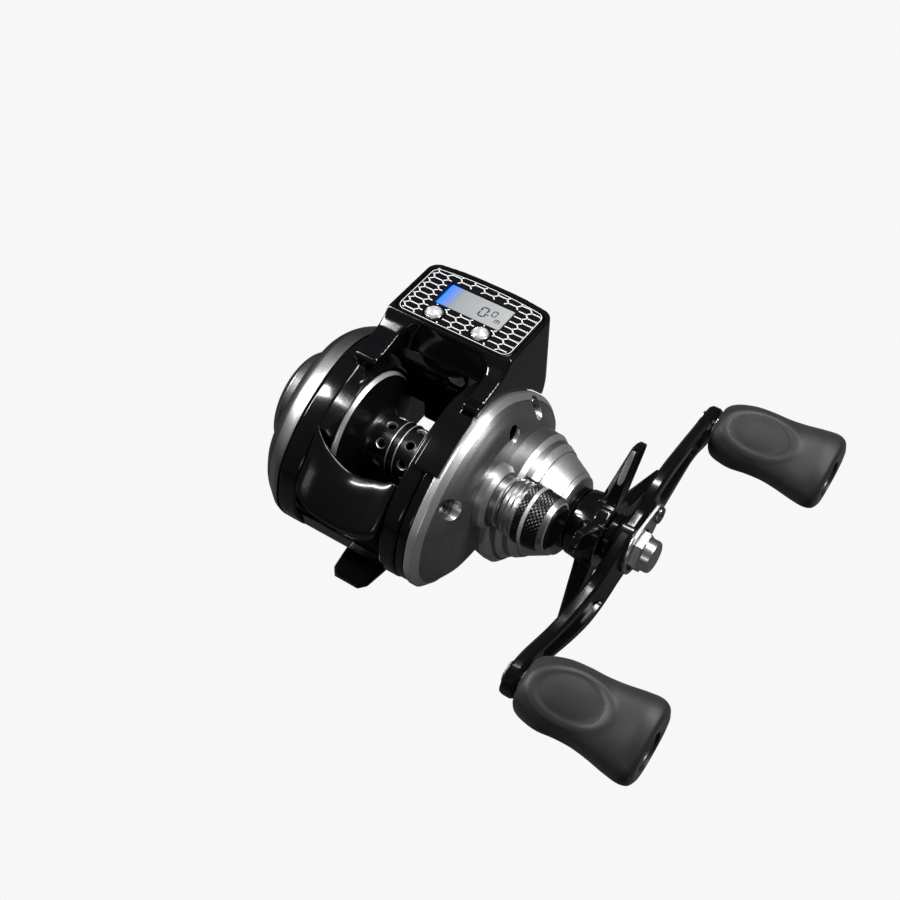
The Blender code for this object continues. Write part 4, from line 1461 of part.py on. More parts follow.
def make_handle():
    pivot = at(0, *MAIN_AXIS)
    arm = hull("handle_arm", arm_rings(), "black_anodised", pivot)
    join(arm, turned("handle hub form", [
        (HANDLE_HUB_X, 0), (HANDLE_HUB_X, HANDLE_HUB_NECK),
        (ARM_FACE_X - ARM_THICKNESS, HANDLE_HUB_RADIUS), (HANDLE_HUB_END_X, HANDLE_HUB_RADIUS),
        (HANDLE_HUB_END_X, 0)], MAIN_AXIS, 24))
    holes = [rod("handle bore", HANDLE_HUB_X - OVERRUN, HANDLE_HUB_END_X + OVERRUN, HANDLE_BORE,
                 MAIN_AXIS)]
    for index, place in enumerate(knob_axes()):
        face = ARM_FACE_X - ARM_DROP_X
        holes.append(rod("knob axle hole %d" % index, face - ARM_THICKNESS - OVERRUN,
                         face + OVERRUN, AXLE_RADIUS + TOUCH, place))
        make_knob(("front", "rear")[index], place)
    screw_place = (MAIN_Y + RETAINER_SCREW_Y, MAIN_Z + RETAINER_SCREW_Z)
    holes.append(rod("retainer screw hole", HANDLE_HUB_END_X - SCREW_GRIP - TOUCH,
                     HANDLE_HUB_END_X + OVERRUN, SCREW_HOLE_RADIUS, screw_place, SMALL_STEPS))
    cut(arm, *holes)
    seat = HANDLE_HUB_END_X + TOUCH
    plate = prism("nut_retainer", belt_outline(MAIN_AXIS, RETAINER_HUB_RADIUS, screw_place,
                                               RETAINER_TIP_RADIUS, 12),
                  seat, seat + RETAINER_THICKNESS, "polished_steel", pivot)
    cut(plate,
        rod("retainer nut hole", seat - OVERRUN, seat + OVERRUN * 2, NUT_RADIUS + TOUCH, MAIN_AXIS, 24),
        rod("retainer hole", seat - OVERRUN, seat + OVERRUN * 2, SCREW_HOLE_RADIUS, screw_place,
            SMALL_STEPS))
    screw("retainer_screw", seat + RETAINER_THICKNESS + TOUCH + SCREW_HEAD,
          HANDLE_HUB_END_X - SCREW_GRIP, screw_place)
    hexagon = hex_points(NUT_RADIUS)
    rounded = circle(MAIN_AXIS, NUT_CAP_RADIUS, NUT_POINTS)
    nut = stack("handle_nut", [
        (seat, hexagon), (NUT_HEX_END_X - SCREW_EDGE, hexagon),
        (NUT_HEX_END_X, scaled(hexagon, NUT_EDGE_SHARE, MAIN_AXIS)),
        (NUT_HEX_END_X, circle(MAIN_AXIS, NUT_CAP_RADIUS + SCREW_EDGE, NUT_POINTS)),
        (NUT_HEX_END_X + SCREW_EDGE, rounded), (NUT_CAP_X - SCREW_EDGE * 2, rounded),
        (NUT_CAP_X, circle(MAIN_AXIS, NUT_CAP_RADIUS - SCREW_EDGE * 2, NUT_POINTS))],
        "polished_steel", pivot)
    cut(nut, rod("nut bore", seat - OVERRUN, DRIVE_SHAFT_END + TOUCH, DRIVE_THREAD_RADIUS + TOUCH,
                 MAIN_AXIS))


def hex_points(radius):
    """Six corners and even points along the flats between them."""
    corners = [Vector((cos(pi / 3 * index), sin(pi / 3 * index))) * radius for index in range(6)]
    per_side = NUT_POINTS // 6
    points = []
    for index in range(6):
        after = corners[(index + 1) % 6]
        for step in range(per_side):
            point = corners[index].lerp(after, step / per_side)
            points.append((MAIN_Y + point.x, MAIN_Z + point.y))
    return points


def make_knob(side, place):
    """One handle knob with its axle, retaining screw and cap."""
    pivot = at(0, *place)
    knob_x = ARM_FACE_X - ARM_DROP_X + TOUCH * 2 + AXLE_FLANGE
    end_x = knob_x + KNOB_LENGTH
    turn = Matrix.Rotation(KNOB_TILT, 2)
    rings = []
    for along, width, thick, shift in zip(KNOB_STATION_SHARES, KNOB_WIDTH_SHARES,
                                          KNOB_THICKNESS_SHARES, KNOB_SHIFT_SHARES):
        points = []
        for index in range(KNOB_POINTS):
            angle = 2 * pi * index / KNOB_POINTS
            bulge = [abs(part) ** KNOB_POWER_SHARE * (1 if part >= 0 else -1)
                     for part in (cos(angle), sin(angle))]
            point = turn @ Vector((bulge[0] * KNOB_HALF_WIDTH * width + KNOB_SHIFT * shift,
                                   bulge[1] * KNOB_HALF_THICKNESS * thick))
            points.append(at(knob_x + KNOB_LENGTH * along, place[0] + point.x, place[1] + point.y))
        rings.append(points)
    knob = hull("handle_knob_" + side, rings, "rubber_grey", pivot)
    seat = end_x - KNOB_CAP_RECESS
    cut(knob, turned("knob bore " + side, [
        (knob_x - OVERRUN, 0), (knob_x - OVERRUN, AXLE_RADIUS + RUN), (seat, AXLE_RADIUS + RUN),
        (seat, KNOB_CAP_RADIUS + TOUCH), (end_x + OVERRUN, KNOB_CAP_RADIUS + TOUCH),
        (end_x + OVERRUN, 0)], place, 20))
    flange = ARM_FACE_X - ARM_DROP_X + TOUCH
    back = ARM_FACE_X - ARM_DROP_X - ARM_THICKNESS - TOUCH
    turned("knob_axle_" + side, [
        (back - AXLE_RIVET, 0), (back - AXLE_RIVET, AXLE_RIVET_RADIUS), (back, AXLE_RIVET_RADIUS),
        (back, AXLE_RADIUS), (flange, AXLE_RADIUS), (flange, AXLE_FLANGE_RADIUS),
        (flange + AXLE_FLANGE, AXLE_FLANGE_RADIUS), (flange + AXLE_FLANGE, AXLE_RADIUS),
        (seat + TOUCH, AXLE_RADIUS), (seat + TOUCH, AXLE_SCREW_RADIUS),
        (seat + TOUCH + SCREW_HEAD, AXLE_SCREW_RADIUS), (seat + TOUCH + SCREW_HEAD, 0)], place, 16,
        "polished_steel")
    cap = end_x - KNOB_CAP_SINK
    turned("knob_cap_" + side, [
        (cap - KNOB_CAP, 0), (cap - KNOB_CAP, KNOB_CAP_RADIUS),
        (cap - SCREW_EDGE, KNOB_CAP_RADIUS), (cap, KNOB_CAP_RADIUS - SCREW_EDGE),
        (cap, 0)], place, 20, "rubber_grey", pivot)


clear_scene()
make_frame()
make_foot()
make_palm_side()
make_gear_side()
make_spool()
make_clutch()
make_thumb_bar()
make_level_wind()
make_counter()
make_drive()
make_cast_knob()
make_handle()
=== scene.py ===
# %% [markdown]
# # Dressing a baitcasting reel with a line counter
#
# The packed CAD model is the frame of this scene. It has every piece in its true place and size, but
# with flat faces and sharp edges. Each step below makes one group of pieces again from code, with
# rounded rims, knurls and screw recesses, and hangs them on the CAD bodies, so every joint still moves.
# A modelled mesh could also be kept as a file, but a script can be read, changed and run again.

import bmesh
import bpy
from math import acos, atan2, cos, hypot, pi, radians, sin
from mathutils import Matrix, Vector


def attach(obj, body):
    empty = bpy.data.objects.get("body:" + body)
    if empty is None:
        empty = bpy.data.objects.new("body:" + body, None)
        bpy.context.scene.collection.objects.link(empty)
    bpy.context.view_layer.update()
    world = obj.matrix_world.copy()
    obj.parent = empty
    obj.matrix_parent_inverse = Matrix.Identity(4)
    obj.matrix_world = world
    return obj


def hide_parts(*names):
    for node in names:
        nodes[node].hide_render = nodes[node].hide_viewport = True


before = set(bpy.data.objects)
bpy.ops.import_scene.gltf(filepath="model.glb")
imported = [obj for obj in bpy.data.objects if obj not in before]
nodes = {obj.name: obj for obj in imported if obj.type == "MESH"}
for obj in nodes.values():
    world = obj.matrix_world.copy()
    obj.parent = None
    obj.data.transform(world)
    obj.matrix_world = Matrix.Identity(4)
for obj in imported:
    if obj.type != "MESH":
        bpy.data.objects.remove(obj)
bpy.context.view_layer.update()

# %% [markdown]
# ## Shader sums
#
# A finish such as blasted alloy is a few layers of noise that are added, stretched and cut off. Nodes
# could be wired one by one, but sums are far easier to read. So `Signal` wraps one socket and turns
# Python's operators into Math nodes. Colours don't go through it, because a Math node turns them grey.

# %% A socket that can be used in sums


class Signal:
    """A node socket that can be used in sums."""

    def __init__(self, paint, socket):
        self.paint = paint
        self.socket = socket

    def math(self, operation, *others):
        values = [self, *others]
        return self.paint.node("ShaderNodeMath", {"operation": operation}, dict(enumerate(values)))

    def __add__(self, other):
        return self.math("ADD", other)

    __radd__ = __add__

    def __sub__(self, other):
        return self.math("SUBTRACT", other)

    def __rsub__(self, other):
        return (self * -1.0) + other

    def __mul__(self, other):
        return self.math("MULTIPLY", other)

    __rmul__ = __mul__

    def clamp(self):
        return self.paint.node("ShaderNodeClamp", {}, {0: self})

    def smooth(self, low, high):
        """0 below low, 1 above high, with a soft step between them."""
        return self.paint.node("ShaderNodeMapRange", {"interpolation_type": "SMOOTHSTEP"},
                               {0: self, 1: low, 2: high})


print("signals:", [name for name in vars(Signal) if not name.startswith("_")])

# %% [markdown]
# ## One paint
#
# A real finish is one pot of paint or one pass of a tool, so each material comes from one `Paint`. It
# could use image textures, but a picture has a fixed sharpness and has to lie flat on every form.
# Noise in the piece's own millimetres has neither trouble, so its grain has a true size everywhere.

# %% A procedural material
PER_METRE = 1000.0


class Paint:
    """One procedural material."""

    def __init__(self, name):
        self.material = bpy.data.materials.new(name)
        self.material.use_nodes = True
        self.tree = self.material.node_tree
        self.shader = self.tree.nodes["Principled BSDF"]
        self.place = self.node("ShaderNodeTexCoord", {}, {}, "Object")

    def node(self, kind, settings, inputs, output=0):
        made = self.tree.nodes.new(kind)
        for key, value in settings.items():
            setattr(made, key, value)
        for key, value in inputs.items():
            if isinstance(value, Signal):
                self.tree.links.new(value.socket, made.inputs[key])
            else:
                made.inputs[key].default_value = value
        return Signal(self, made.outputs[output])

    def axis(self, index):
        """One coordinate of the piece, in millimetres."""
        return self.node("ShaderNodeSeparateXYZ", {}, {0: self.place}, index) * PER_METRE

    def noise(self, scale, detail=3.0, stretch=(1.0, 1.0, 1.0), roughness=0.5):
        """Noise with that many waves to the millimetre."""
        spread = tuple(scale * PER_METRE * part for part in stretch)
        where = self.node("ShaderNodeVectorMath", {"operation": "MULTIPLY"},
                          {0: self.place, 1: spread})
        return self.node("ShaderNodeTexNoise", {},
                         {"Vector": where, "Scale": 1.0, "Detail": detail, "Roughness": roughness})

    def cells(self, scale):
        """Distance to the nearest of that many scattered points to the millimetre."""
        where = self.node("ShaderNodeVectorMath", {"operation": "SCALE"},
                          {0: self.place, "Scale": scale * PER_METRE})
        return self.node("ShaderNodeTexVoronoi", {"feature": "F1"}, {"Vector": where, "Scale": 1.0},
                         "Distance")

    def blend(self, factor, low, high):
        """A colour between two colours."""
        ends = [(*end, 1.0) if isinstance(end, tuple) else end for end in (low, high)]
        return self.node("ShaderNodeMix", {"data_type": "RGBA"}, {0: factor, 6: ends[0], 7: ends[1]}, 2)

    def bump(self, height, distance):
        """Surface relief; distance is in millimetres."""
        return self.node("ShaderNodeBump", {}, {"Height": height, "Distance": distance / PER_METRE,
                                                "Strength": 1.0})

    def set(self, **values):
        for key, value in values.items():
            name = key.replace("_", " ").title().replace("Ior", "IOR")
            if isinstance(value, Signal):
                self.tree.links.new(value.socket, self.shader.inputs[name])
            elif isinstance(value, tuple) and len(value) == 3:
                self.shader.inputs[name].default_value = (*value, 1.0)
            else:
                self.shader.inputs[name].default_value = value
        return self.material


print("paint tools:", [name for name in vars(Paint) if not name.startswith("_")])

# %% [markdown]
# ## Black lacquer
#
# The frame, the thumb bar and the counter are sprayed gloss black. A flat black with low roughness
# would look like plastic, so faint orange peel bends the reflections, a slow cloud varies the gloss
# and a few specks of dust dull it. A thin clear coat on top gives the sharp core of each highlight.

# %% Lacquer
LACQUER_BLACK = (0.003, 0.003, 0.0035)


def lacquer(name, rough):
    """Gloss black paint with faint orange peel and dulled, dusty patches."""
    paint = Paint(name)
    cloud = paint.noise(0.12, 4.0)
    fine = paint.noise(1.6, 2.0)
    dust = paint.noise(9.0, 2.0).smooth(0.66, 0.78)
    dusty = tuple(part * 3.0 + 0.012 for part in LACQUER_BLACK)
    shade = paint.blend(dust * 0.35, LACQUER_BLACK, dusty)
    return paint.set(base_color=shade, roughness=rough + cloud * 0.10 + dust * 0.12,
                     normal=paint.bump(fine, 0.003), coat_weight=0.12, coat_roughness=0.04,
                     specular_ior_level=0.34)


BLACK = lacquer("black_lacquer", 0.07)
BLACK_DEEP = lacquer("black_lacquer_deep", 0.16)
HANDLE_BLACK = lacquer("handle_lacquer", 0.10)
print("lacquers:", BLACK.name, BLACK_DEEP.name, HANDLE_BLACK.name)

# %% [markdown]
# ## Satin alloy
#
# Both side covers are blasted alloy under a clear silver coat: bright where they face a lamp, deep grey
# where they don't, with a grain that can be seen close up. Plain metal with some roughness has the
# gradient but no grain, so fine noise moves the colour, the gloss and the surface together. Small
# bright specks are painted glints: a lighter, smoother colour where single blasted facets would catch
# the light. Edges that were turned again after blasting are lighter.

# %% Satin finishes


def satin(name, colour, rough, grain, deep, metal=1.0):
    """Bead-blasted alloy with a fine grain."""
    paint = Paint(name)
    speck = paint.noise(3.6, 3.0, roughness=0.75)
    cloud = paint.noise(0.08, 3.0)
    # painted glints: small specks of lighter and smoother colour, where single facets would catch the light
    painted_glint = paint.noise(8.0, 1.0).smooth(0.60, 0.75)
    mix = paint.blend((speck * 0.7 + cloud * 0.3).smooth(0.3, 0.7), deep, colour)
    mix = paint.blend(painted_glint * 0.3, mix, (0.72, 0.72, 0.73))
    return paint.set(base_color=mix, metallic=metal, roughness=rough + speck * 0.12 - painted_glint * 0.10,
                     normal=paint.bump(speck, grain))


DOME = satin("satin_dome", (0.26, 0.26, 0.265), 0.33, 0.016, (0.13, 0.13, 0.135), 0.9)
CONE = satin("satin_cone", (0.56, 0.56, 0.565), 0.36, 0.018, (0.36, 0.36, 0.365), 0.9)
PALM_GREY = satin("satin_palm_band", (0.32, 0.32, 0.325), 0.30, 0.012, (0.21, 0.21, 0.215))
PALM_DARK = satin("satin_palm_dark", (0.11, 0.11, 0.113), 0.36, 0.012, (0.065, 0.065, 0.067))
CHROME = satin("brushed_nut", (0.62, 0.62, 0.625), 0.24, 0.004, (0.50, 0.50, 0.505))
BRIGHT = satin("bright_chamfer", (0.60, 0.60, 0.605), 0.28, 0.006, (0.46, 0.46, 0.465), 0.85)
SCREW_STEEL = satin("screw_steel", (0.30, 0.30, 0.305), 0.24, 0.006, (0.16, 0.16, 0.165))
EDGE = satin("bare_edge", (0.72, 0.72, 0.725), 0.28, 0.003, (0.58, 0.58, 0.585), 0.75)
# painted highlight: the silver of the bright band on one star arm, where it mirrors a lamp
PAINTED_HIGHLIGHT = satin("silver_inlay", (0.90, 0.90, 0.905), 0.30, 0.006, (0.74, 0.74, 0.75))
MAGNET = satin("sintered_magnet", (0.22, 0.22, 0.23), 0.4, 0.016, (0.15, 0.15, 0.155))
CELL_GREY = satin("worn_cell", (0.20, 0.20, 0.20), 0.35, 0.010, (0.06, 0.06, 0.06))
print("satin finishes:", DOME.name, CONE.name, PALM_GREY.name, BRIGHT.name, EDGE.name)

# %% [markdown]
# ## Polished, turned and anodised metal
#
# Shafts, rings and the knurled knob come from a lathe, so they carry faint tool lines. Those could be
# cut as grooves, but at this size a very shallow bump does the same with far fewer faces. The spool is
# dyed black: dark and half metallic, with fine scratches that let the alloy through.

# %% Polished and anodised finishes


def polished(name, colour, rough=0.12):
    """Diamond-turned or polished metal with faint tool lines."""
    paint = Paint(name)
    lines = paint.noise(3.5, 3.0)
    cloud = paint.noise(0.25, 3.0)
    mix = paint.blend(cloud, tuple(part * 0.72 for part in colour), colour)
    return paint.set(base_color=mix, metallic=1.0, roughness=rough + lines * 0.10 + cloud * 0.05,
                     normal=paint.bump(lines, 0.004))


def anodised(name, colour, rough):
    """Black anodised alloy: dark, metallic and slightly worn to grey in fine scratches."""
    paint = Paint(name)
    cloud = paint.noise(0.2, 4.0)
    scratch = paint.noise(2.0, 4.0, (0.15, 2.0, 2.0), 0.7).smooth(0.62, 0.72)
    mix = paint.blend(scratch * 0.25, colour, (0.05, 0.05, 0.053))
    return paint.set(base_color=mix, metallic=0.35, roughness=rough + cloud * 0.12,
                     normal=paint.bump(paint.noise(4.0, 2.0), 0.003), coat_weight=0.15,
                     coat_roughness=0.08)


BAND = polished("polished_band", (0.66, 0.66, 0.67), 0.16)
STEEL = polished("turned_steel", (0.56, 0.56, 0.57), 0.26)
DARK_STEEL = polished("dark_steel", (0.30, 0.30, 0.305), 0.24)
KNURL_BLACK = polished("worn_knurl", (0.055, 0.055, 0.057), 0.24)
BRASS = polished("machined_brass", (0.62, 0.42, 0.16), 0.22)
ANODISED = anodised("black_anodised_spool", (0.004, 0.004, 0.0045), 0.24)
print("turned finishes:", BAND.name, STEEL.name, DARK_STEEL.name, KNURL_BLACK.name, ANODISED.name)

# %% [markdown]
# ## Rubber
#
# The handle knobs are soft-touch rubber with a fine pore, and thumbs have rubbed parts of it smoother.
# A single grey would do from afar. Close up, the pore from a cell texture and a slow noise for the
# rubbed patches tell it from plastic. The sunk thumb panel is darker and duller than the grip.

# %% Rubber finishes


def rubber(name, colour, rough):
    """Soft-touch rubber with a fine pore and rubbed patches."""
    paint = Paint(name)
    pore = paint.cells(4.5)
    speck = paint.noise(7.0, 3.0, roughness=0.7)
    rubbed = paint.noise(0.10, 4.0)
    mix = paint.blend((rubbed * 0.6 + speck * 0.5).smooth(0.35, 0.75), colour,
                      tuple(part * 1.9 for part in colour))
    return paint.set(base_color=mix, roughness=rough - rubbed * 0.14 + speck * 0.08,
                     normal=paint.bump(pore * 0.5 + speck, 0.018), specular_ior_level=0.34,
                     sheen_weight=0.06, sheen_roughness=0.5)


RUBBER = rubber("grip_rubber", (0.009, 0.009, 0.0093), 0.50)
RUBBER_PANEL = rubber("grip_panel", (0.006, 0.006, 0.0062), 0.66)
RUBBER_CAP = rubber("grip_cap", (0.016, 0.016, 0.017), 0.42)
print("rubber finishes:", RUBBER.name, RUBBER_PANEL.name, RUBBER_CAP.name)

# %% [markdown]
# ## Plastic, print and carbon
#
# The small parts are moulded or printed: black wheels, a green circuit board, a pale comb of lines,
# dark digits, white pearly buttons and a woven drag washer. One flat colour for each would look like a
# toy. So each gets a pore, a swirl or a weave from noise or sine waves, at about its true size.

# %% Moulded, pearly and woven finishes


def moulded(name, colour, rough=0.45, pore=0.012):
    """Moulded plastic or print with a fine pore."""
    paint = Paint(name)
    speck = paint.noise(5.0, 3.0, roughness=0.65)
    cloud = paint.noise(0.15, 3.0)
    mix = paint.blend(cloud * 0.7 + speck * 0.3, colour, tuple(part * 1.5 for part in colour))
    return paint.set(base_color=mix, roughness=rough + speck * 0.12, normal=paint.bump(speck, pore))


def pearl(name):
    """White button with a faint pearly swirl."""
    paint = Paint(name)
    swirl = paint.noise(0.9, 4.0, (1.0, 1.0, 0.3)).smooth(0.35, 0.65)
    mix = paint.blend(swirl, (0.40, 0.40, 0.40), (0.60, 0.60, 0.595))
    return paint.set(base_color=mix, metallic=0.25, roughness=0.22 + swirl * 0.12,
                     normal=paint.bump(swirl, 0.01), coat_weight=0.5, coat_roughness=0.08)


def carbon(name):
    """Woven friction washer."""
    paint = Paint(name)
    threads = 5.0
    weave = (paint.axis(1) * threads).math("SINE") * (paint.axis(2) * threads).math("SINE")
    mix = paint.blend(weave * 0.5 + 0.5, (0.02, 0.02, 0.02), (0.075, 0.075, 0.075))
    return paint.set(base_color=mix, roughness=0.7, normal=paint.bump(weave, 0.03))


PLASTIC = moulded("black_moulded", (0.012, 0.012, 0.012))
BOARD = moulded("circuit_board", (0.010, 0.09, 0.035), 0.35)
INK = moulded("display_ink", (0.006, 0.007, 0.008), 0.4, 0.004)
CERAMIC = moulded("ceramic_insert", (0.55, 0.56, 0.58), 0.12, 0.002)
LINE_WHITE = moulded("silver_line", (0.50, 0.50, 0.51), 0.35, 0.004)
PEARL = pearl("pearl_button")
CARBON = carbon("carbon_weave")
print("small parts:", PLASTIC.name, BOARD.name, INK.name, LINE_WHITE.name, PEARL.name, CARBON.name)

# %% [markdown]
# ## Display glass
#
# The display is a grey liquid-crystal tile that is lit blue from its left end. A small lamp behind
# clear glass would light it too, but is hard to steer in a tile this thin. So the tile's colour and its
# own emission are blended along its length, with a little haze in the grey.

# %% Display glass
BLACKOUT = (0.0, 0.0, 0.0)


def panel_glass(name):
    """Grey liquid-crystal panel, lit blue at its left end."""
    paint = Paint(name)
    x = paint.axis(0)
    haze = paint.noise(0.25, 2.0)
    glow = (x * -1.0 - 4.2).smooth(0.0, 5.4)
    core = (x * -1.0 - 5.2).smooth(0.0, 4.6)
    grey = paint.blend((x * 0.06 + 0.5).clamp() * 0.8 + haze * 0.2, (0.17, 0.18, 0.185),
                       (0.27, 0.28, 0.28))
    mix = paint.blend(glow, grey, (0.02, 0.07, 0.30))
    light = paint.blend(core, BLACKOUT, (0.01, 0.15, 0.90))
    soft = paint.blend(glow * 0.6, BLACKOUT, (0.0, 0.03, 0.22))
    both = paint.node("ShaderNodeMix", {"data_type": "RGBA", "blend_type": "ADD"},
                      {0: 1.0, 6: light, 7: soft}, 2)
    return paint.set(base_color=mix, roughness=0.22 + haze * 0.06, emission_color=both,
                     emission_strength=1.1, coat_weight=0.3, coat_roughness=0.05)


LCD = panel_glass("liquid_crystal")
print("all materials:", len(bpy.data.materials))

# %% [markdown]
# ## Places
#
# The reel is built round its spool, so every number here is in millimetres from the spool's axis, as
# in the drawing of the solids. `at` moves such a point to the frame's origin on the reel seat. The
# numbers could be metres from the start, but a maker reads 17.6 more easily than 0.0176.

# %% Axes
MM = 0.001
SPOOL_BACK = 5.0
SPOOL_UP = 23.3
SPOOL = (0.0, 0.0)
MAIN = (13.597, -11.410)
WORM = (22.922, -2.714)


def at(x, y, z):
    """A place in millimetres from the spool's axis, seen from the reel seat."""
    return Vector((x, y - SPOOL_BACK, z + SPOOL_UP))


print("the spool's axis lies at", [round(part, 1) for part in at(0, *SPOOL)], "mm")

# %% [markdown]
# ## The side outline
#
# Seen from the side, the frame, both covers and the set plate share one soft, drooping outline. It
# could be a Bezier curve object, but then each plate would need its own copy. Here it is a table of
# shares of the reel's length and height, with a smooth Catmull-Rom curve through them.

# %% Side outline
SIDE_REAR, SIDE_LENGTH = -26.4, 66.8
SIDE_FOOT, SIDE_HEIGHT = -21.8, 41.6
SIDE_Y = (0.0, 0.037, 0.126, 0.232, 0.365, 0.5, 0.635, 0.769, 0.882, 0.962, 1.0, 0.965, 0.86, 0.515,
          0.19, 0.062, 0.012)
SIDE_Z = (0.392, 0.6, 0.765, 0.885, 0.972, 1.0, 0.936, 0.79, 0.612, 0.41, 0.215, 0.06, 0.0, 0.0,
          0.014, 0.115, 0.25)


def spline(points, steps, closed=True):
    """Catmull-Rom curve through points of any dimension."""
    curve = []
    count = len(points)
    spans = count if closed else count - 1
    for index in range(spans):
        def pick(shift):
            spot = index + shift
            spot = spot % count if closed else min(max(spot, 0), count - 1)
            return Vector(points[spot])
        before, start, end, after = pick(-1), pick(0), pick(1), pick(2)
        for step in range(steps):
            t = step / steps
            curve.append(tuple((start * 2 + (end - before) * t
                                + (before * 2 - start * 5 + end * 4 - after) * t ** 2
                                + (start * 3 - before - end * 3 + after) * t ** 3) / 2))
    if not closed:
        curve.append(tuple(points[-1]))
    return curve


SIDE = spline([(SIDE_REAR + SIDE_LENGTH * y, SIDE_FOOT + SIDE_HEIGHT * z)
               for y, z in zip(SIDE_Y, SIDE_Z)], 8)
print("side outline:", len(SIDE), "points")

# %% [markdown]
# ## Wider, smaller and round outlines
#
# A lip or a seam is the same outline moved in or out by a few tenths, and a dome is the same outline
# drawn smaller. Blender could inset faces, but an inset of a long curved face folds at tight corners.
# So the points are moved before there are any faces.

# %% Outline tools


def offset(outline, distance):
    """Move an outline's points along their normals; outwards is positive."""
    moved = []
    count = len(outline)
    for index in range(count):
        along = (Vector(outline[(index + 1) % count]) - Vector(outline[index - 1])).normalized()
        moved.append(tuple(Vector(outline[index]) + Vector((-along.y, along.x)) * distance))
    return moved


def scaled(outline, share, centre):
    """The outline drawn smaller or larger about a centre."""
    return [(centre[0] + (y - centre[0]) * share, centre[1] + (z - centre[1]) * share)
            for y, z in outline]


def circle(centre, radius, steps):
    """Points round a centre, evenly spaced."""
    return [(centre[0] + radius * cos(2 * pi * index / steps),
             centre[1] + radius * sin(2 * pi * index / steps)) for index in range(steps)]


print("an outline moved in by 1 mm is", round(max(y for y, z in SIDE) - max(
    y for y, z in offset(SIDE, -1.0)), 2), "mm shorter in front")

# %% [markdown]
# ## Skins between rings
#
# Turned, cast and moulded pieces are all rows of rings with faces between them. A modifier such as
# Screw or Skin could make some of them. One loop over rings makes all of them, and each band can have
# its own material slot. Blender forgets slot numbers where a mesh has no materials, so `raw` gives
# every mesh four empty slots first.

# %% Skins
EMPTY_SLOTS = 4


def skin(data, rings, slots=0, closed=False):
    """Faces between rings of points; slots is a material number or one for each band."""
    rows = [[data.verts.new(point) for point in ring] for ring in rings]
    pairs = list(zip(rows, rows[1:]))
    if closed:
        pairs.append((rows[-1], rows[0]))
    for number, (low, high) in enumerate(pairs):
        slot = slots if isinstance(slots, int) else slots[number]
        count = max(len(low), len(high))
        for index in range(count):
            after = (index + 1) % count
            if len(low) == 1:
                face = data.faces.new((low[0], high[index], high[after]))
            elif len(high) == 1:
                face = data.faces.new((low[index], low[after], high[0]))
            else:
                face = data.faces.new((low[index], low[after], high[after], high[index]))
            face.material_index = slot
            face.smooth = True
    if closed:
        return
    for row, slot in ((rows[0], slots if isinstance(slots, int) else slots[0]),
                      (rows[-1], slots if isinstance(slots, int) else slots[-1])):
        if len(row) > 2:
            face = data.faces.new(row)
            face.material_index = slot
            face.smooth = True


def raw(name, data):
    """A millimetre mesh as an object scaled to metres."""
    bmesh.ops.recalc_face_normals(data, faces=data.faces)
    mesh = bpy.data.meshes.new(name)
    data.to_mesh(mesh)
    data.free()
    indexes = [face.material_index for face in mesh.polygons]
    for _ in range(EMPTY_SLOTS):
        mesh.materials.append(None)
    mesh.polygons.foreach_set("material_index", indexes)
    made = bpy.data.objects.new(name, mesh)
    made.scale = (MM, MM, MM)
    bpy.context.scene.collection.objects.link(made)
    return made


def hull(name, rings, slots=0, closed=False):
    """Rings of points as one raw object."""
    data = bmesh.new()
    skin(data, rings, slots, closed)
    return raw(name, data)


print("a raw mesh starts with", EMPTY_SLOTS, "empty slots")

# %% [markdown]
# ## Turned and stacked forms
#
# Most pieces of a reel come off a lathe or are cut from plate. A lathe piece is a profile of steps
# along an axis, and a plate is an outline with a thickness. Blender's own cylinders could be scaled
# and joined, but a profile keeps every groove and step of a piece in one readable list.

# %% Lathe and plate


def turned(name, profile, axis, steps, slots=0):
    """Turn an (x, radius) profile round an axis along X."""
    rings = []
    for x, radius in profile:
        if radius == 0:
            rings.append([at(x, axis[0], axis[1])])
        else:
            rings.append([at(x, y, z) for y, z in circle(axis, radius, steps)])
    return hull(name, rings, slots, profile[0][1] > 0 and profile[-1][1] > 0)


def upright(name, profile, centre, steps, slots=0):
    """Turn a (z, radius) profile round a vertical axis at (x, y)."""
    rings = []
    for z, radius in profile:
        if radius == 0:
            rings.append([at(centre[0], centre[1], z)])
        else:
            rings.append([at(x, y, z) for x, y in circle(centre, radius, steps)])
    return hull(name, rings, slots, profile[0][1] > 0 and profile[-1][1] > 0)


def stack(name, layers, slots=0):
    """Layers of (x, (y, z) outline)."""
    return hull(name, [[at(x, y, z) for y, z in outline] for x, outline in layers], slots)


def tower(name, layers, slots=0):
    """Layers of (z, (x, y) outline)."""
    return hull(name, [[at(x, y, z) for x, y in outline] for z, outline in layers], slots)


def prism(name, outline, x_from, x_to):
    """A (y, z) outline, thick along X."""
    return stack(name, [(x_from, outline), (x_to, outline)])


def rod(name, x_from, x_to, radius, axis, steps=32):
    """A plain cylinder along X."""
    return turned(name, [(x_from, 0), (x_from, radius), (x_to, radius), (x_to, 0)], axis, steps)


def block(name, x_from, x_to, y_from, y_to, z_from, z_to):
    """A plain box."""
    return prism(name, [(y_from, z_from), (y_to, z_from), (y_to, z_to), (y_from, z_to)], x_from, x_to)


print("forms: turned, upright, stack, tower, prism, rod and block")

# %% [markdown]
# ## Cutting and joining
#
# Real pieces are milled and drilled after casting, and a Boolean does the same: a cutter is made,
# taken away from the piece and removed. Holes could be built into the skin, but each would need a
# fitted grid of faces round it. The exact solver takes a moment longer and leaves clean edges.

# %% Booleans


def settle(made):
    """Apply all modifiers of an object to its mesh."""
    bpy.context.view_layer.update()
    graph = bpy.context.evaluated_depsgraph_get()
    mesh = bpy.data.meshes.new_from_object(made.evaluated_get(graph))
    made.modifiers.clear()
    made.data = mesh


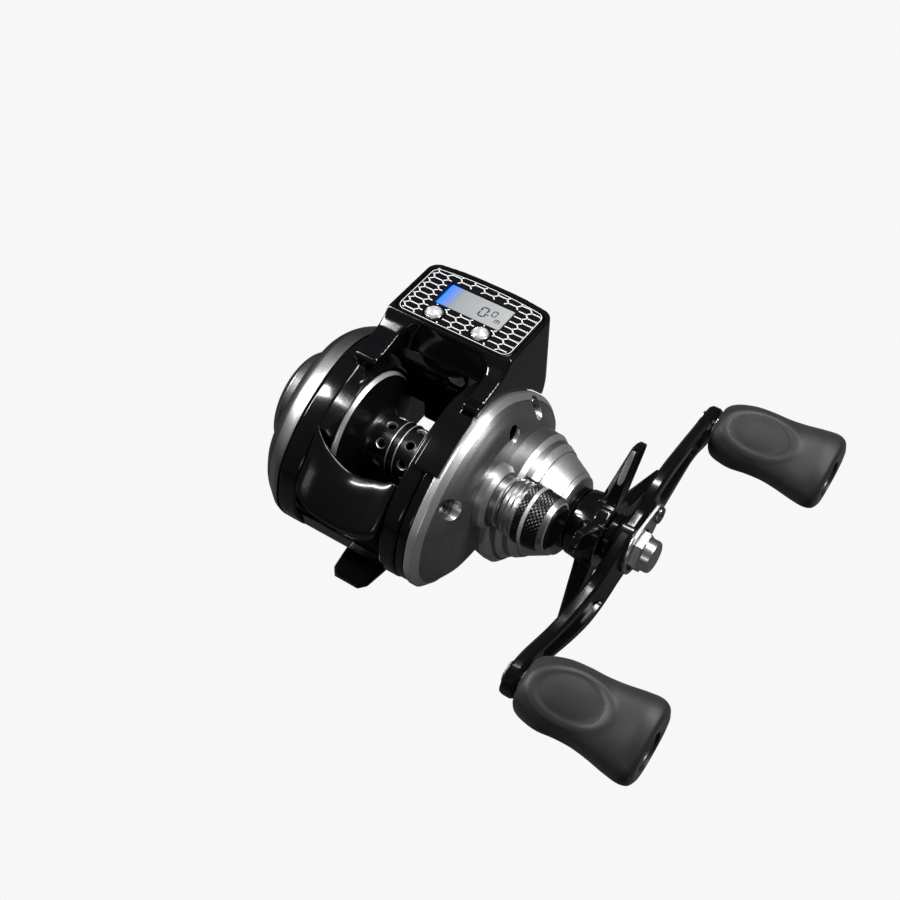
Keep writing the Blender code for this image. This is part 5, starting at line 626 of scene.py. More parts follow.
def boolean(target, operation, *tools):
    """Join tools to a target, cut them from it, or keep what they share."""
    group = bpy.data.collections.new(target.name + " " + operation.lower())
    for tool in tools:
        group.objects.link(tool)
    step = target.modifiers.new(operation.lower(), "BOOLEAN")
    step.operation = operation
    step.solver = "EXACT"
    step.operand_type = "COLLECTION"
    step.collection = group
    settle(target)
    bpy.data.collections.remove(group)
    for tool in tools:
        bpy.data.objects.remove(tool)


def merged(name, *parts):
    """Several raw objects as one, without a Boolean."""
    data = bmesh.new()
    for part in parts:
        data.from_mesh(part.data)
        bpy.data.objects.remove(part)
    return raw(name, data)


print("operations: UNION, DIFFERENCE and INTERSECT")

# %% [markdown]
# ## Finishing a piece
#
# No real edge is perfectly sharp, and the thin light line on a rounded edge makes a piece look made.
# A bevel could be modelled into every form, but one modifier breaks all edges above an angle. Smaller
# angles are then shaded smoothly, and larger ones stay crisp. Last, the piece is hung on a CAD body,
# so that it moves with that body's joint, and the plain node that it stands for is hidden.

# %% Finished pieces
BEVEL_STEPS = 2


def piece(made, name, body, materials, stands_for=(), bevel=0.0, angle=35.0):
    """Finish a raw object: bevel, shading, materials, and the body that it rides on."""
    made.name = name
    made.data.transform(Matrix.Scale(MM, 4))
    made.scale = (1, 1, 1)
    if bevel:
        edge = made.modifiers.new("edges", "BEVEL")
        edge.width = bevel * MM
        edge.segments = BEVEL_STEPS
        edge.limit_method = "ANGLE"
        edge.angle_limit = radians(angle)
        settle(made)
    made.data.shade_smooth()
    made.data.set_sharp_from_angle(angle=radians(angle))
    if angle < 90:
        even = made.modifiers.new("even shading", "WEIGHTED_NORMAL")
        even.keep_sharp = True
    slots = [face.material_index for face in made.data.polygons]
    made.data.materials.clear()
    for material in materials:
        made.data.materials.append(material)
    made.data.polygons.foreach_set("material_index", slots)
    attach(made, body)
    if stands_for:
        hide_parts(*stands_for)
    return made


print("bevels have", BEVEL_STEPS, "steps")

# %% [markdown]
# ## Rounded rims and cast forms
#
# The plates have rims rounded by 0.4 to 0.7 mm. A bevel there trips over the curved outline, so four
# layers draw the quarter circle. The thumb bar and the counter are castings with every edge soft.
# Their forms get an even voxel skin that is then relaxed, which rounds edges and corners alike.

# %% Soft prisms and castings
RIM_TURNS = (0, 30, 60, 90)


def table(lengths, heights, y_from, y_to, z_from, z_to):
    """Shares along and up as an outline between two corners."""
    return [(y_from + (y_to - y_from) * along, z_from + (z_to - z_from) * up)
            for along, up in zip(lengths, heights)]


def soft_prism(name, outline, x_from, x_to, edge):
    """Prism of the side outline with rounded rims."""
    layers = []
    for turn in RIM_TURNS:
        inset = edge * (1 - sin(radians(turn)))
        layers.append((x_from + edge * (1 - cos(radians(turn))), offset(outline, -inset)))
    layers += [(x_from + x_to - x, shape) for x, shape in layers[::-1]]
    return stack(name, layers)


def cast(made, voxel, rounds):
    """Round all edges as on a casting: an even skin, then a relaxed surface."""
    skinned = made.modifiers.new("even skin", "REMESH")
    skinned.mode = "VOXEL"
    skinned.voxel_size = voxel
    relaxed = made.modifiers.new("relaxed", "SMOOTH")
    relaxed.factor = 0.5
    relaxed.iterations = rounds
    settle(made)
    return made


print("rims have", len(RIM_TURNS), "layers each")

# %% [markdown]
# ## Frame
#
# The frame is one lacquered alloy casting: two side walls, a collar round the spool, a floor and a
# nose bar in front. It could be one mesh made by hand, but the openings for the thumb bar and the line
# guide cross several walls. So simple solids are joined and then cut, in the order in which a
# workshop would cast and mill them.

# %% Frame


def make_frame():
    walls = soft_prism("frame skin", SIDE, -21.3, -15.7, 0.7)
    collar = turned("collar", [
        (-16.7, 17.6), (-16.7, 20.4), (-15.7, 20.4), (-12.9, 18.5), (-12.0, 18.4), (-11.6, 18.0),
        (-11.6, 17.6)], SPOOL, 160)
    boolean(collar, "INTERSECT", prism("collar bound", offset(SIDE, -0.3), -21.3, 9.5))
    boolean(collar, "DIFFERENCE", block("thumb notch", -17.7, -10.6, -26.4, -14.6, -8.0, 15.5),
            block("guide notch", -17.7, -10.6, 13.5, 40.4, -11.0, 6.5))
    floor = prism("floor", table((1.0, 0.19, 0.04, 0.0, 0.045, 0.085, 0.22, 1.0),
                                 (0.0, 0.0, 0.42, 1.0, 1.0, 0.5, 0.172, 0.172),
                                 -25.2, 19.5, -20.2, -9.2), -16.7, 10.5)
    nose = rod("nose bar", -16.7, 10.5, 2.8, (35.5, -16.2), 48)
    boolean(walls, "UNION", collar, floor, nose, soft_prism("right wall", SIDE, 9.5, 14.0, 0.7))
    cutters = [
        rod("spool bore", -22.3, -10.6, 17.6, SPOOL, 160), rod("rim recess", 8.5, 11.1, 17.6, SPOOL, 160),
        rod("bearing seat", 10.1, 15.0, 5.3, SPOOL, 64), rod("drive seat", 12.1, 15.0, 2.4, MAIN),
        rod("guard socket left", -16.5, -14.7, 3.8, WORM), rod("guard socket right", 8.5, 10.3, 3.8, WORM)]
    for x_from, x_to in ((8.5, 15.0), (-18.0, -14.7)):
        cutters.append(block("lug slot", x_from, x_to, -22.5, -19.1, -4.7, 1.9))
    for cutter in cutters:
        boolean(walls, "DIFFERENCE", cutter)
    return piece(walls, "frame_skin", "housing", [BLACK], ["frame"], 0, 32)


FRAME = make_frame()
print("frame:", len(FRAME.data.polygons), "faces")

# %% [markdown]
# ## Palm side plate
#
# This cover rests in the palm. Its grey band follows the side outline, and a darker round boss with
# fine steel steps rises inside it. A bevelled prism would be flat where the real cover bulges, so the
# outline is drawn at seven depths with a smooth curve between them. The boss is turned and joined to
# it. Each of its steps has its own slot, so the steel lines lie exactly on the edges.

# %% Palm side plate with its boss
PALM_SCREW = (-20.4, -14.4)
PALM_JOINT, PALM_BULGE = -21.6, 8.0
PALM_DEPTHS = (0.0, 0.12, 0.20, 0.42, 0.64, 0.86, 1.0)
PALM_SIZES = (1.0, 0.995, 0.985, 0.95, 0.905, 0.82, 0.62)
PALM_SHIFTS = (0.0, 0.0, 0.0, 0.0, 0.35, 0.8, 1.0)
GREY_LAYERS = 13


def make_palm_plate():
    stations = [(PALM_JOINT - PALM_BULGE * deep, share, 10 - 7 * shift, 12 - 12 * shift)
                for deep, share, shift in zip(PALM_DEPTHS, PALM_SIZES, PALM_SHIFTS)]
    layers, slots = [], []
    for number, (x, share, y, z) in enumerate(spline(stations, 4, False)):
        layers.append((x, scaled(SIDE, share, (y, z))))
        slots.append(0 if number < GREY_LAYERS else 1)
    rim = [(PALM_JOINT, offset(SIDE, -0.35))]
    plate = stack("palm plate", rim + layers, [0] + slots)
    boolean(plate, "UNION", turned("boss", [
        (-27.0, 0), (-27.0, 15.2), (-29.9, 15.2), (-30.2, 15.0), (-30.4, 14.7), (-30.6, 14.7),
        (-31.0, 14.3), (-31.8, 13.8), (-32.15, 13.5), (-32.3, 13.2), (-32.3, 11.6), (-32.05, 11.4),
        (-32.05, 9.2), (-32.3, 9.0), (-32.3, 0)], SPOOL, 160,
        [1, 1, 1, 2, 2, 2, 1, 1, 2, 1, 2, 1, 2, 1]))
    boolean(plate, "DIFFERENCE", turned("cavity", [
        (-20.0, 0), (-20.0, 15.2), (-25.6, 13.6), (-28.6, 12.1), (-28.6, 0)], SPOOL, 96))
    for cutter in (rod("dial bore", -33.3, -27.6, 2.8, SPOOL),
                   rod("screw seat", -30.2, -22.9, 2.6, PALM_SCREW)):
        boolean(plate, "DIFFERENCE", cutter)
    return piece(plate, "palm_side_shell", "housing", [PALM_GREY, PALM_DARK, DARK_STEEL],
                 ["palm_side_plate"], 0, 25)


PALM = make_palm_plate()
print("palm side:", len(PALM.data.polygons), "faces")

# %% [markdown]
# ## Cross-recessed screws
#
# A small domed head with a cross in it holds each cover. A dark cross in the material would do from
# afar, but the recess catches light and shade as the reel turns. Two crossed slots are cut from a
# turned dome, which leaves the four little lands of the real head.

# %% Screws
CROSS_TURN = radians(28)


def cross_screw(name, head_x, seat_x, place, radius, body, stands_for=()):
    """Domed screw head with a cross recess, seen from +X."""
    way = 1 if head_x > seat_x else -1
    dome = [(head_x, 0)]
    for index in range(1, 6):
        share = index / 5
        dome.append((head_x - way * 0.28 * share ** 2, (radius - 0.12) * share))
    head = turned(name, dome + [(head_x - way * 0.42, radius), (seat_x, radius), (seat_x, 0)], place, 40)
    depth = sorted((head_x - way * 0.75, head_x + way))
    tools = []
    for angle in (CROSS_TURN, CROSS_TURN + pi / 2):
        along, across = Vector((cos(angle), sin(angle))), Vector((-sin(angle), cos(angle)))
        half, width = radius * 0.62, radius * 0.13
        corners = [Vector(place) + along * half * a + across * width * b
                   for a, b in ((-1, -1), (1, -1), (1, 1), (-1, 1))]
        tools.append(prism(name + " slot", [tuple(corner) for corner in corners], *depth))
    boolean(head, "DIFFERENCE", *tools)
    return piece(head, name, body, [SCREW_STEEL], stands_for, 0.05)


PALM_HEAD = cross_screw("palm_screw_head", -24.2, -22.9, PALM_SCREW, 2.2, "housing", ["palm_plate_screw"])
print("palm screw:", len(PALM_HEAD.data.polygons), "faces")

# %% [markdown]
# ## Brake dial
#
# The dial on the palm side sets how strongly the spool is braked. Its rim is knurled so that a thumb
# can turn it, and a finger bar crosses its face. A knurl could be a bump, but here it is seen in
# outline. So every second point of every second ring stays proud, which leaves rows of pyramids.

# %% Brake dial


def knurl_grid(name, profile, axis, count, depth, slots=0):
    """Turned piece; stations marked True carry rows of small pyramids, as a diamond knurl does."""
    rings = []
    for row, (x, radius, cut) in enumerate(profile):
        if radius == 0:
            rings.append([at(x, axis[0], axis[1])])
            continue
        points = []
        for index in range(count * 2):
            turn = pi * index / count
            peak = row % 2 == 0 and (index + row // 2) % 2 == 0
            reach = radius - (0 if peak or not cut else depth)
            points.append(at(x, axis[0] + reach * cos(turn), axis[1] + reach * sin(turn)))
        rings.append(points)
    return hull(name, rings, slots)


def make_dial():
    rows = [(-32.6 - 0.28 * step, 8.0, True) for step in range(1, 4)]
    dial = knurl_grid("dial", [(-24.0, 0, False), (-24.0, 2.4, False), (-32.6, 2.4, False),
                               (-32.6, 7.7, False), *rows, (-33.8, 7.7, False), (-34.0, 7.4, False),
                               (-34.0, 5.2, False), (-33.8, 5.0, False), (-33.8, 0, False)],
                      SPOOL, 44, 0.3)
    bar = [(4.6 * y, 1.3 * z) for y, z in circle(SPOOL, 1.0, 40)]
    boolean(dial, "UNION", prism("finger bar", bar, -34.0, -33.2))
    return piece(dial, "brake_dial_skin", "brake_dial_group", [KNURL_BLACK], ["brake_dial"], 0.08, 40)


DIAL = make_dial()
print("brake dial:", len(DIAL.data.polygons), "faces")

# %% [markdown]
# ## Set plate
#
# Between the frame and the gear cover sits a thin black plate that holds the far ends of the gears.
# Along its top a strap reaches over the frame. The strap could be cut from a wider plate, but it is
# simply the top of the side outline with a second row of points three per cent further out.

# %% Set plate
STRAP_OUT = 1.032


def make_set_plate():
    plate = soft_prism("set plate", offset(SIDE, -0.3), 14.3, 16.7, 0.4)
    boolean(plate, "DIFFERENCE", rod("pinion hole", 13.3, 17.7, 2.4, SPOOL),
            rod("drive hole", 13.3, 17.7, 3.0, MAIN))
    crest = [point for point in SIDE if -13.5 < point[0] < 3.0 and point[1] > 0]
    outer = [tuple(Vector(point) * STRAP_OUT) for point in crest]
    strap = prism("top strap", crest + outer[::-1], 11.2, 17.9)
    return piece(merged("set plate", plate, strap), "set_plate_skin", "housing", [BLACK],
                 ["gear_set_plate"], 0.25, 40)


SET_PLATE = make_set_plate()
print("set plate:", len(SET_PLATE.data.polygons), "faces")

# %% [markdown]
# ## Gear cover
#
# The largest piece on the handle side is a low dome with a polished rim, a round house over the
# gears, a satin cone round the drag and a boss for the cast-control knob. A sculpted mesh would have
# the flow of it, but not the crisp steps. So four turned or stacked solids are joined, and each band
# of their profiles names its own finish: dome, bright edge, cone or deep black.

# %% Gear cover
FRONT_SCREW = (25.6, 6.9)
REAR_SCREW = (-14.6, 7.4)
HOUSE = (13.8, -13.4)
COVER_JOINT, COVER_BULGE = 17.0, 7.6
DOME_DEPTHS = (0.45, 0.54, 0.64, 0.84, 1.0)
DOME_SIZES = (0.936, 0.910, 0.875, 0.79, 0.66)


def well(name, x_floor, x_rim, x_out, place, radius, wall=0):
    """Round sink with a small countersink at its mouth."""
    return turned(name, [(x_floor, 0), (x_floor, radius), (x_rim + 0.2, radius), (x_out, radius + 0.5),
                         (x_out, 0)], place, 64, [wall, wall, 1, 1])


def make_cover():
    dome = [(COVER_JOINT + COVER_BULGE * deep, share) for deep, share in zip(DOME_DEPTHS, DOME_SIZES)]
    stations = [(17.0, 0.994), (17.3, 1.0), (18.9, 1.0), (19.1, 0.996), (20.5, 0.948), (20.25, 0.941)]
    layers = [(x, scaled(SIDE, share, (4.5, -2.5))) for x, share in stations + spline(dome, 6, False)]
    slots = [1] * len(stations) + [0] * (len(layers) - len(stations))
    cover = stack("cover", layers, slots[1:])
    house = turned("house", [
        (17.5, 0), (17.5, 16.2), (20.0, 17.6), (23.0, 18.3), (24.4, 18.6), (26.1, 18.6), (27.3, 17.5),
        (27.5, 17.2), (27.5, 0)], HOUSE, 192, [0, 0, 0, 0, 1, 1, 1, 0])
    cone = turned("cone", [
        (19.0, 0), (19.0, 17.4), (28.6, 17.4), (28.8, 17.3), (29.9, 16.5), (30.0, 16.3), (31.3, 15.9),
        (31.5, 15.9), (33.2, 14.9), (33.35, 14.7), (33.35, 14.4), (33.6, 14.3), (34.0, 14.2),
        (38.9, 11.65), (39.0, 11.3), (39.4, 11.1), (40.1, 10.9), (40.3, 10.6), (40.3, 0)], MAIN, 192,
        [0, 0, 1, 1, 1, 0, 1, 1, 1, 0, 1, 1, 2, 1, 2, 1, 1, 2])
    boolean(cone, "DIFFERENCE", turned("knob room", [
        (30.2, 0), (30.2, 8.1), (32.6, 8.1), (33.3, 8.5), (41.3, 8.5), (41.3, 0)], SPOOL, 128, 1))
    boss = turned("knob boss", [
        (19.0, 0), (19.0, 8.4), (24.4, 8.4), (26.3, 8.4), (27.3, 7.5), (27.5, 7.3), (27.5, 6.4),
        (28.9, 6.2), (29.1, 6.6), (29.5, 6.6), (29.7, 6.2), (30.0, 6.1), (30.0, 5.2), (38.2, 5.2),
        (38.2, 0)], SPOOL, 128, [0, 0, 1, 1, 1, 0, 0, 1, 1, 1, 0, 0, 0, 0])
    boolean(cover, "UNION", house)
    boolean(cover, "UNION", cone)
    boolean(cover, "UNION", boss)
    for cutter in (
            rod("gear room", 16.0, 25.6, 16.3, MAIN, 96), rod("pinion room", 16.0, 19.4, 9.7, SPOOL, 64),
            rod("sleeve bore", 24.0, 41.3, 4.8, MAIN, 64), rod("spigot bore", 19.0, 39.2, 3.9, SPOOL, 64),
            well("rear screw well", 20.2, 21.9, 25.0, REAR_SCREW, 2.5),
            well("front screw well", 19.6, 21.2, 25.0, FRONT_SCREW, 2.5),
            well("port", 21.0, 23.3, 27.0, (10.5, 11.7), 2.3, 3)):
        boolean(cover, "DIFFERENCE", cutter)
    return piece(cover, "gear_cover_shell", "housing", [DOME, BRIGHT, CONE, BLACK_DEEP],
                 ["gear_side_cover"], 0, 13)


COVER = make_cover()
cross_screw("front_cover_screw", 20.9, 19.7, FRONT_SCREW, 2.15, "housing", ["cover_screw_front"])
cross_screw("rear_cover_screw", 20.9, 20.3, REAR_SCREW, 2.15, "housing", ["cover_screw_rear"])
print("gear cover:", len(COVER.data.polygons), "faces")

# %% [markdown]
# ## Cast-control knob
#
# This small knob presses on the end of the spool's shaft. It has three turned rings at its foot, two
# bands of knurl with a bare waist between them, and a bright chamfer round its inlaid cap. The bands
# could be separate objects, but one profile leaves no seams. A mark at each step of the profile says
# whether the knurl is cut there.

# %% Cast-control knob


def make_cast_knob():
    rows = [(38.0 + 0.29 * step, 7.72 - 0.035 * step, True) for step in range(13)]
    knurl = [(34.9 + 0.27 * step, 7.8, True) for step in range(8)]
    head = [(30.7, 5.5, False), (30.7, 6.95, False), (31.7, 7.3, False), (32.0, 6.95, False),
            (33.0, 7.3, False), (33.3, 6.95, False), (34.3, 7.3, False), (34.6, 7.3, False)]
    middle = [(36.85, 7.5, False), (36.9, 7.78, False), (37.8, 7.78, False), (37.85, 7.5, False)]
    end = [(41.65, 7.0, False), (41.7, 7.2, False), (42.9, 6.3, False), (43.0, 6.1, False),
           (43.0, 5.8, False), (41.9, 5.8, False), (41.9, 0, False)]
    slots = [1] * len(head) + [0] * (len(knurl) - 1) + [0, 2, 2, 2, 0]
    slots += [0] * len(rows) + [2, 1, 2, 2, 0, 0]
    profile = head + knurl + middle + rows + end
    knob = knurl_grid("cast knob", profile, SPOOL, 40, 0.34, slots[:len(profile) - 1])
    return piece(knob, "cast_knob_skin", "cast_control", [KNURL_BLACK, STEEL, EDGE],
                 ["cast_control_knob"], 0, 12)


def make_cast_cap():
    cap = turned("cap", [(42.0, 0), (42.0, 5.5), (43.3, 5.5), (43.5, 5.35), (43.6, 5.1), (43.6, 4.6),
                         (43.5, 4.5), (43.5, 0)], SPOOL, 96)
    return piece(cap, "cast_cap_skin", "cast_control", [BLACK_DEEP], ["cast_control_cap"])


CAST_KNOB = make_cast_knob()
CAST_CAP = make_cast_cap()
print("cast knob and cap:", len(CAST_KNOB.data.polygons), "and", len(CAST_CAP.data.polygons), "faces")

# %% [markdown]
# ## Spool
#
# The spool is turned from one bar of alloy and dyed black, with bright cut edges on its flanges and
# two rows of round holes that save weight. Half of its profile is listed and mirrored, because the
# real one is symmetrical. The holes could be cut one by one. Instead, sixteen flared pins make one
# cutter, so that a single Boolean does them all.

# %% Spool
SPOOL_MIDDLE, ROW_OUT = -1.05, 3.6
PINS_IN_ROW = 8
PIN_STEPS = ((4.5, 1.22), (6.80, 1.22), (7.05, 1.45), (8.0, 1.45))


def make_spool():
    half = [(0.85, 7.0), (0.90, 7.3), (1.20, 7.3), (1.25, 7.0), (6.6, 7.0), (7.6, 7.4), (8.3, 8.2),
            (8.55, 9.0), (9.6, 15.6), (9.75, 16.3), (10.5, 16.9), (10.7, 17.0), (10.95, 17.0),
            (11.15, 16.8), (11.15, 15.9), (10.9, 15.7), (10.9, 11.8), (10.15, 7.0), (9.15, 6.0),
            (1.2, 6.0), (1.2, 3.4), (4.0, 3.4), (4.0, 2.0)]
    tint = [0, 1, 0, 0, 0, 0, 0, 0, 0, 1, 1, 1, 1, 1, 0, 0, 0, 0, 0, 0, 0, 0]
    profile = [(SPOOL_MIDDLE - x, radius) for x, radius in half]
    profile += [(SPOOL_MIDDLE + x, radius) for x, radius in half[::-1]]
    spool = turned("spool", profile, SPOOL, 160, tint + [0] + tint[::-1] + [0])
    pins = bmesh.new()
    for row, x in enumerate((SPOOL_MIDDLE - ROW_OUT, SPOOL_MIDDLE + ROW_OUT)):
        for index in range(PINS_IN_ROW):
            turn = 2 * pi * (index + row / 2) / PINS_IN_ROW
            out, side = Vector((0, cos(turn), sin(turn))), Vector((0, -sin(turn), cos(turn)))
            rings = []
            for reach, radius in PIN_STEPS:
                rings.append([at(x, 0, 0) + out * reach + Vector((radius * cos(step), 0, 0))
                              + side * radius * sin(step) for step in [2 * pi * k / 32 for k in range(32)]])
            skin(pins, rings, 1)
    boolean(spool, "DIFFERENCE", raw("pins", pins))
    return piece(spool, "spool_skin", "spool_group", [ANODISED, EDGE], ["spool"], 0, 30)


SPOOL_SKIN = make_spool()
print("spool:", len(SPOOL_SKIN.data.polygons), "faces")

# %% [markdown]
# ## Thumb bar
#
# Pressing this bar frees the spool, so it is shaped for a thumb: broad, dished, and highest at the
# palm side. Its section changes all the way along, which no turned or stacked form can follow. Seven
# sections are listed as shares of its depth and height. Smooth curves run through them both ways, and
# a voxel skin softens the result.

# %% Thumb bar
THUMB_LEFT, THUMB_LENGTH = -15.2, 24.3
THUMB_REAR, THUMB_DEPTH = -27.8, 12.6
THUMB_FOOT, THUMB_HEIGHT = -5.0, 18.6
THUMB_ALONG = (0.0, 0.05, 0.20, 0.48, 0.78, 0.95, 1.0)
THUMB_SECTIONS = (
    ((0.27, 0.45), (0.62, 0.60), (1.0, 1.0), (0.93, 1.0), (0.58, 0.72), (0.20, 0.42), (0.22, 0.36)),
    ((0.16, 0.30), (0.66, 0.42), (0.93, 0.90), (0.85, 0.93), (0.50, 0.70), (0.10, 0.36), (0.11, 0.27)),
    ((0.08, 0.12), (0.64, 0.26), (0.86, 0.72), (0.74, 0.76), (0.43, 0.58), (0.03, 0.22), (0.03, 0.14)),
    ((0.06, 0.08), (0.66, 0.22), (0.80, 0.59), (0.67, 0.62), (0.42, 0.52), (0.0, 0.18), (0.0, 0.10)),
    ((0.07, 0.10), (0.66, 0.24), (0.83, 0.66), (0.70, 0.69), (0.43, 0.55), (0.01, 0.25), (0.01, 0.15)),
    ((0.11, 0.18), (0.66, 0.32), (0.86, 0.74), (0.76, 0.77), (0.47, 0.62), (0.06, 0.34), (0.06, 0.22)),
    ((0.20, 0.30), (0.66, 0.42), (0.86, 0.72), (0.77, 0.74), (0.52, 0.62), (0.16, 0.38), (0.16, 0.31)))


def make_thumb_bar():
    columns = []
    for corner in range(7):
        track = []
        for along, section in zip(THUMB_ALONG, THUMB_SECTIONS):
            back, up = section[corner]
            track.append((THUMB_LEFT + THUMB_LENGTH * along, THUMB_REAR + THUMB_DEPTH * back,
                          THUMB_FOOT + THUMB_HEIGHT * up))
        columns.append(spline(track, 8, False))
    rings = []
    for row in zip(*columns):
        rings.append([at(*point) for point in spline(row, 6)])
    bar = hull("bar", rings)
    boolean(bar, "UNION", block("lug", -17.6, 16.9, -22.1, -19.5, -1.1, 1.5))
    cast(bar, 0.22, 4)
    return piece(bar, "thumb_bar_skin", "thumb_bar_group", [BLACK_DEEP], ["thumb_bar"], 0, 180)


THUMB = make_thumb_bar()
print("thumb bar:", len(THUMB.data.polygons), "faces")

# %% [markdown]
# ## Plans of the counter
#
# Seen from above, the counter's front edge is a shallow bow between two round corners. The housing,
# its seat, the face plate and the comb's rim all follow that edge, each a little further in. It could
# be drawn once and inset, but true corner arcs stay round at every size. So one function draws the
# plan from its width, its depth and its corner.

# %% Counter plans
CORNER_STEPS = 8
BOW_STEPS = 12


def circle_part(centre, radius, begin, end, steps):
    """Points of an arc from one angle to another."""
    return [(centre[0] + radius * cos(begin + (end - begin) * index / steps),
             centre[1] + radius * sin(begin + (end - begin) * index / steps)) for index in range(steps + 1)]


def pod_plan(half_width, rear_y, corner_y, front_y, corner):
    """Plan of the housing: both front corners rounded."""
    points = [(-half_width, rear_y), (half_width, rear_y)]
    for index in range(CORNER_STEPS + 1):
        turn = pi / 2 * index / CORNER_STEPS
        points.append((half_width - corner + corner * cos(turn), corner_y - corner + corner * sin(turn)))
    for index in range(1, BOW_STEPS):
        share = 1 - 2 * index / BOW_STEPS
        points.append(((half_width - corner) * share, corner_y + (front_y - corner_y) * (1 - share ** 2)))
    for index in range(CORNER_STEPS + 1):
        turn = pi / 2 + pi / 2 * index / CORNER_STEPS
        points.append((-half_width + corner + corner * cos(turn),
                       corner_y - corner + corner * sin(turn)))
    return points


def rounded_plan(half_width, rear_y, corner_y, front_y, corner):
    """Plan of the face: all four corners rounded."""
    points = pod_plan(half_width, rear_y, corner_y, front_y, corner)[2:]
    for centre, begin in ((-half_width + corner, pi), (half_width - corner, 1.5 * pi)):
        for index in range(CORNER_STEPS + 1):
            turn = begin + pi / 2 * index / CORNER_STEPS
            points.append((centre + corner * cos(turn), rear_y + corner + corner * sin(turn)))
    return points


HOUSING_PLAN = pod_plan(18.1, 2.2, 38.2, 39.3, 3.4)
print("housing plan:", len(HOUSING_PLAN), "points")

# %% [markdown]
# ## Counter housing
#
# The counter is a glossy pod on two legs, with an arched opening below it for the line. Subdivision
# could round it, but would need a cage made by hand. Its side profile and its plan are both simple, so
# the profile is extruded and cut to the plan. The opening and the belly are cut next, and then the
# form is cast. Only after that the face's seat is cut, so that its edge stays crisp.

# %% Counter housing
POD_ALONG = (0.0, 0.0, 0.02, 0.09, 0.19, 0.28, 0.343, 0.40, 0.416, 0.989, 1.0, 0.997, 0.964, 0.867,
             0.715, 0.465, 0.188)
POD_UP = (0.66, 0.796, 0.826, 0.823, 0.849, 0.879, 0.925, 0.992, 1.0, 1.0, 0.98, 0.49, 0.34, 0.057,
          0.0, 0.283, 0.547)
RIBS_Y = (4.3, 5.1, 5.9)


def make_housing():
    pod = prism("pod", table(POD_ALONG, POD_UP, 3.2, 39.3, 0.5, 27.0), -18.2, 18.2)
    boolean(pod, "INTERSECT", tower("plan", [(-20, HOUSING_PLAN), (28, HOUSING_PLAN)]))
    niche = prism("niche", [(-20, 27.0), (17.2, 27.0), (17.2, 25.6), (15.6, 18.3), (14.3, 17.0), (14.3, 0.5),
                            (-20, 0.5)], -11.6, 13.6)
    arch = circle_part((-7.2, 12.8), 4.4, pi, pi / 2, 10) + circle_part((9.2, 12.8), 4.4, pi / 2, 0, 10)
    arch = [(-11.6, -20)] + arch + [(13.6, -20)]
    boolean(niche, "INTERSECT", tower("arch", [(0, arch), (28, arch)]))
    belly = [(2.2, 15.7), (14.3, 15.7), (20.5, 11.6), (40.3, 11.6), (40.3, -0.5), (2.2, -0.5)]
    boolean(pod, "DIFFERENCE", prism("sides", offset(SIDE, 0.3), -36, 36))
    boolean(pod, "DIFFERENCE", niche)
    boolean(pod, "DIFFERENCE", prism("belly", belly, -15.4, 9.2))
    cast(pod, 0.26, 14)
    seat = rounded_plan(17.1, 18.0, 36.6, 37.7, 2.7)
    lip = rounded_plan(17.25, 17.85, 36.75, 37.85, 2.8)
    boolean(pod, "DIFFERENCE", tower("seat", [(25.35, seat), (26.8, seat), (26.95, lip), (28, lip)]))
    boolean(pod, "DIFFERENCE", block("room", -15.6, 15.6, 19.2, 36.2, 17.0, 28.0))
    boolean(pod, "DIFFERENCE", upright("well", [(10.6, 0), (10.6, 8.4), (18.0, 8.4), (18.0, 0)],
                                       (-3.5, 27.9), 96))
    ribs = [tower("rib", [(z, [(14.2, y), (17.7, y), (17.7, y + 0.3), (14.2, y + 0.3)])
                          for z in (17.5, 23.0)]) for y in RIBS_Y]
    boolean(pod, "DIFFERENCE", *ribs)
    return piece(pod, "counter_shell", "housing", [BLACK], ["counter_housing"], 0, 50)


HOUSING = make_housing()
print("counter housing:", len(HOUSING.data.polygons), "faces")

# %% [markdown]
# ## Counter face
#
# A flat black plate closes the pod, with a window for the display and two round, countersunk holes
# for the buttons. The holes could be bevelled after cutting, but a cutter that widens at its mouth
# leaves the countersink in one step. The plate's own rim is rounded by four layers.

# %% Counter face
FACE_TOP = 26.85
BUTTON_ROW = 21.8
MODE_PLACE, RESET_PLACE = -7.0, 6.6
BUTTON_PLACES = (MODE_PLACE, RESET_PLACE)


def make_face():
    rows = [(25.65, 0.0), (26.70, 0.0), (26.81, -0.05), (26.85, -0.15)]
    face = tower("face", [(z, rounded_plan(16.8 + inset, 18.3 - inset, 36.3 + inset, 37.4 + inset, 2.4))
                          for z, inset in rows])
    boolean(face, "DIFFERENCE", block("window", -9.65, 9.65, 25.4, 34.0, 24.0, 28.0))
    for x in BUTTON_PLACES:
        boolean(face, "DIFFERENCE", upright("hole", [
            (24.6, 0), (24.6, 2.7), (26.6, 2.7), (28.0, 2.95), (28.0, 0)], (x, BUTTON_ROW), 64))
    return piece(face, "face_plate", "housing", [BLACK_DEEP], ["counter_face"], 0, 40)


FACE = make_face()
print("counter face:", len(FACE.data.polygons), "faces")

# %% [markdown]
# ## Comb of lines
#
# The face carries a printed comb of long silver hexagons. It could be drawn in the material, but thin
# lines of mesh stay sharp at any distance. Each side of a hexagon is laid down in eight short strips,
# and a strip is left out where it would cross the window, a button or the rim.

# %% Comb of lines
PITCH, HEIGHT, WIDE, FLAT = 3.45, 2.15, 4.5, 2.4
COMB_HALF = 0.16
COMB_FROM, COMB_TO = FACE_TOP - 0.05, FACE_TOP + 0.035
STRIPS = 8


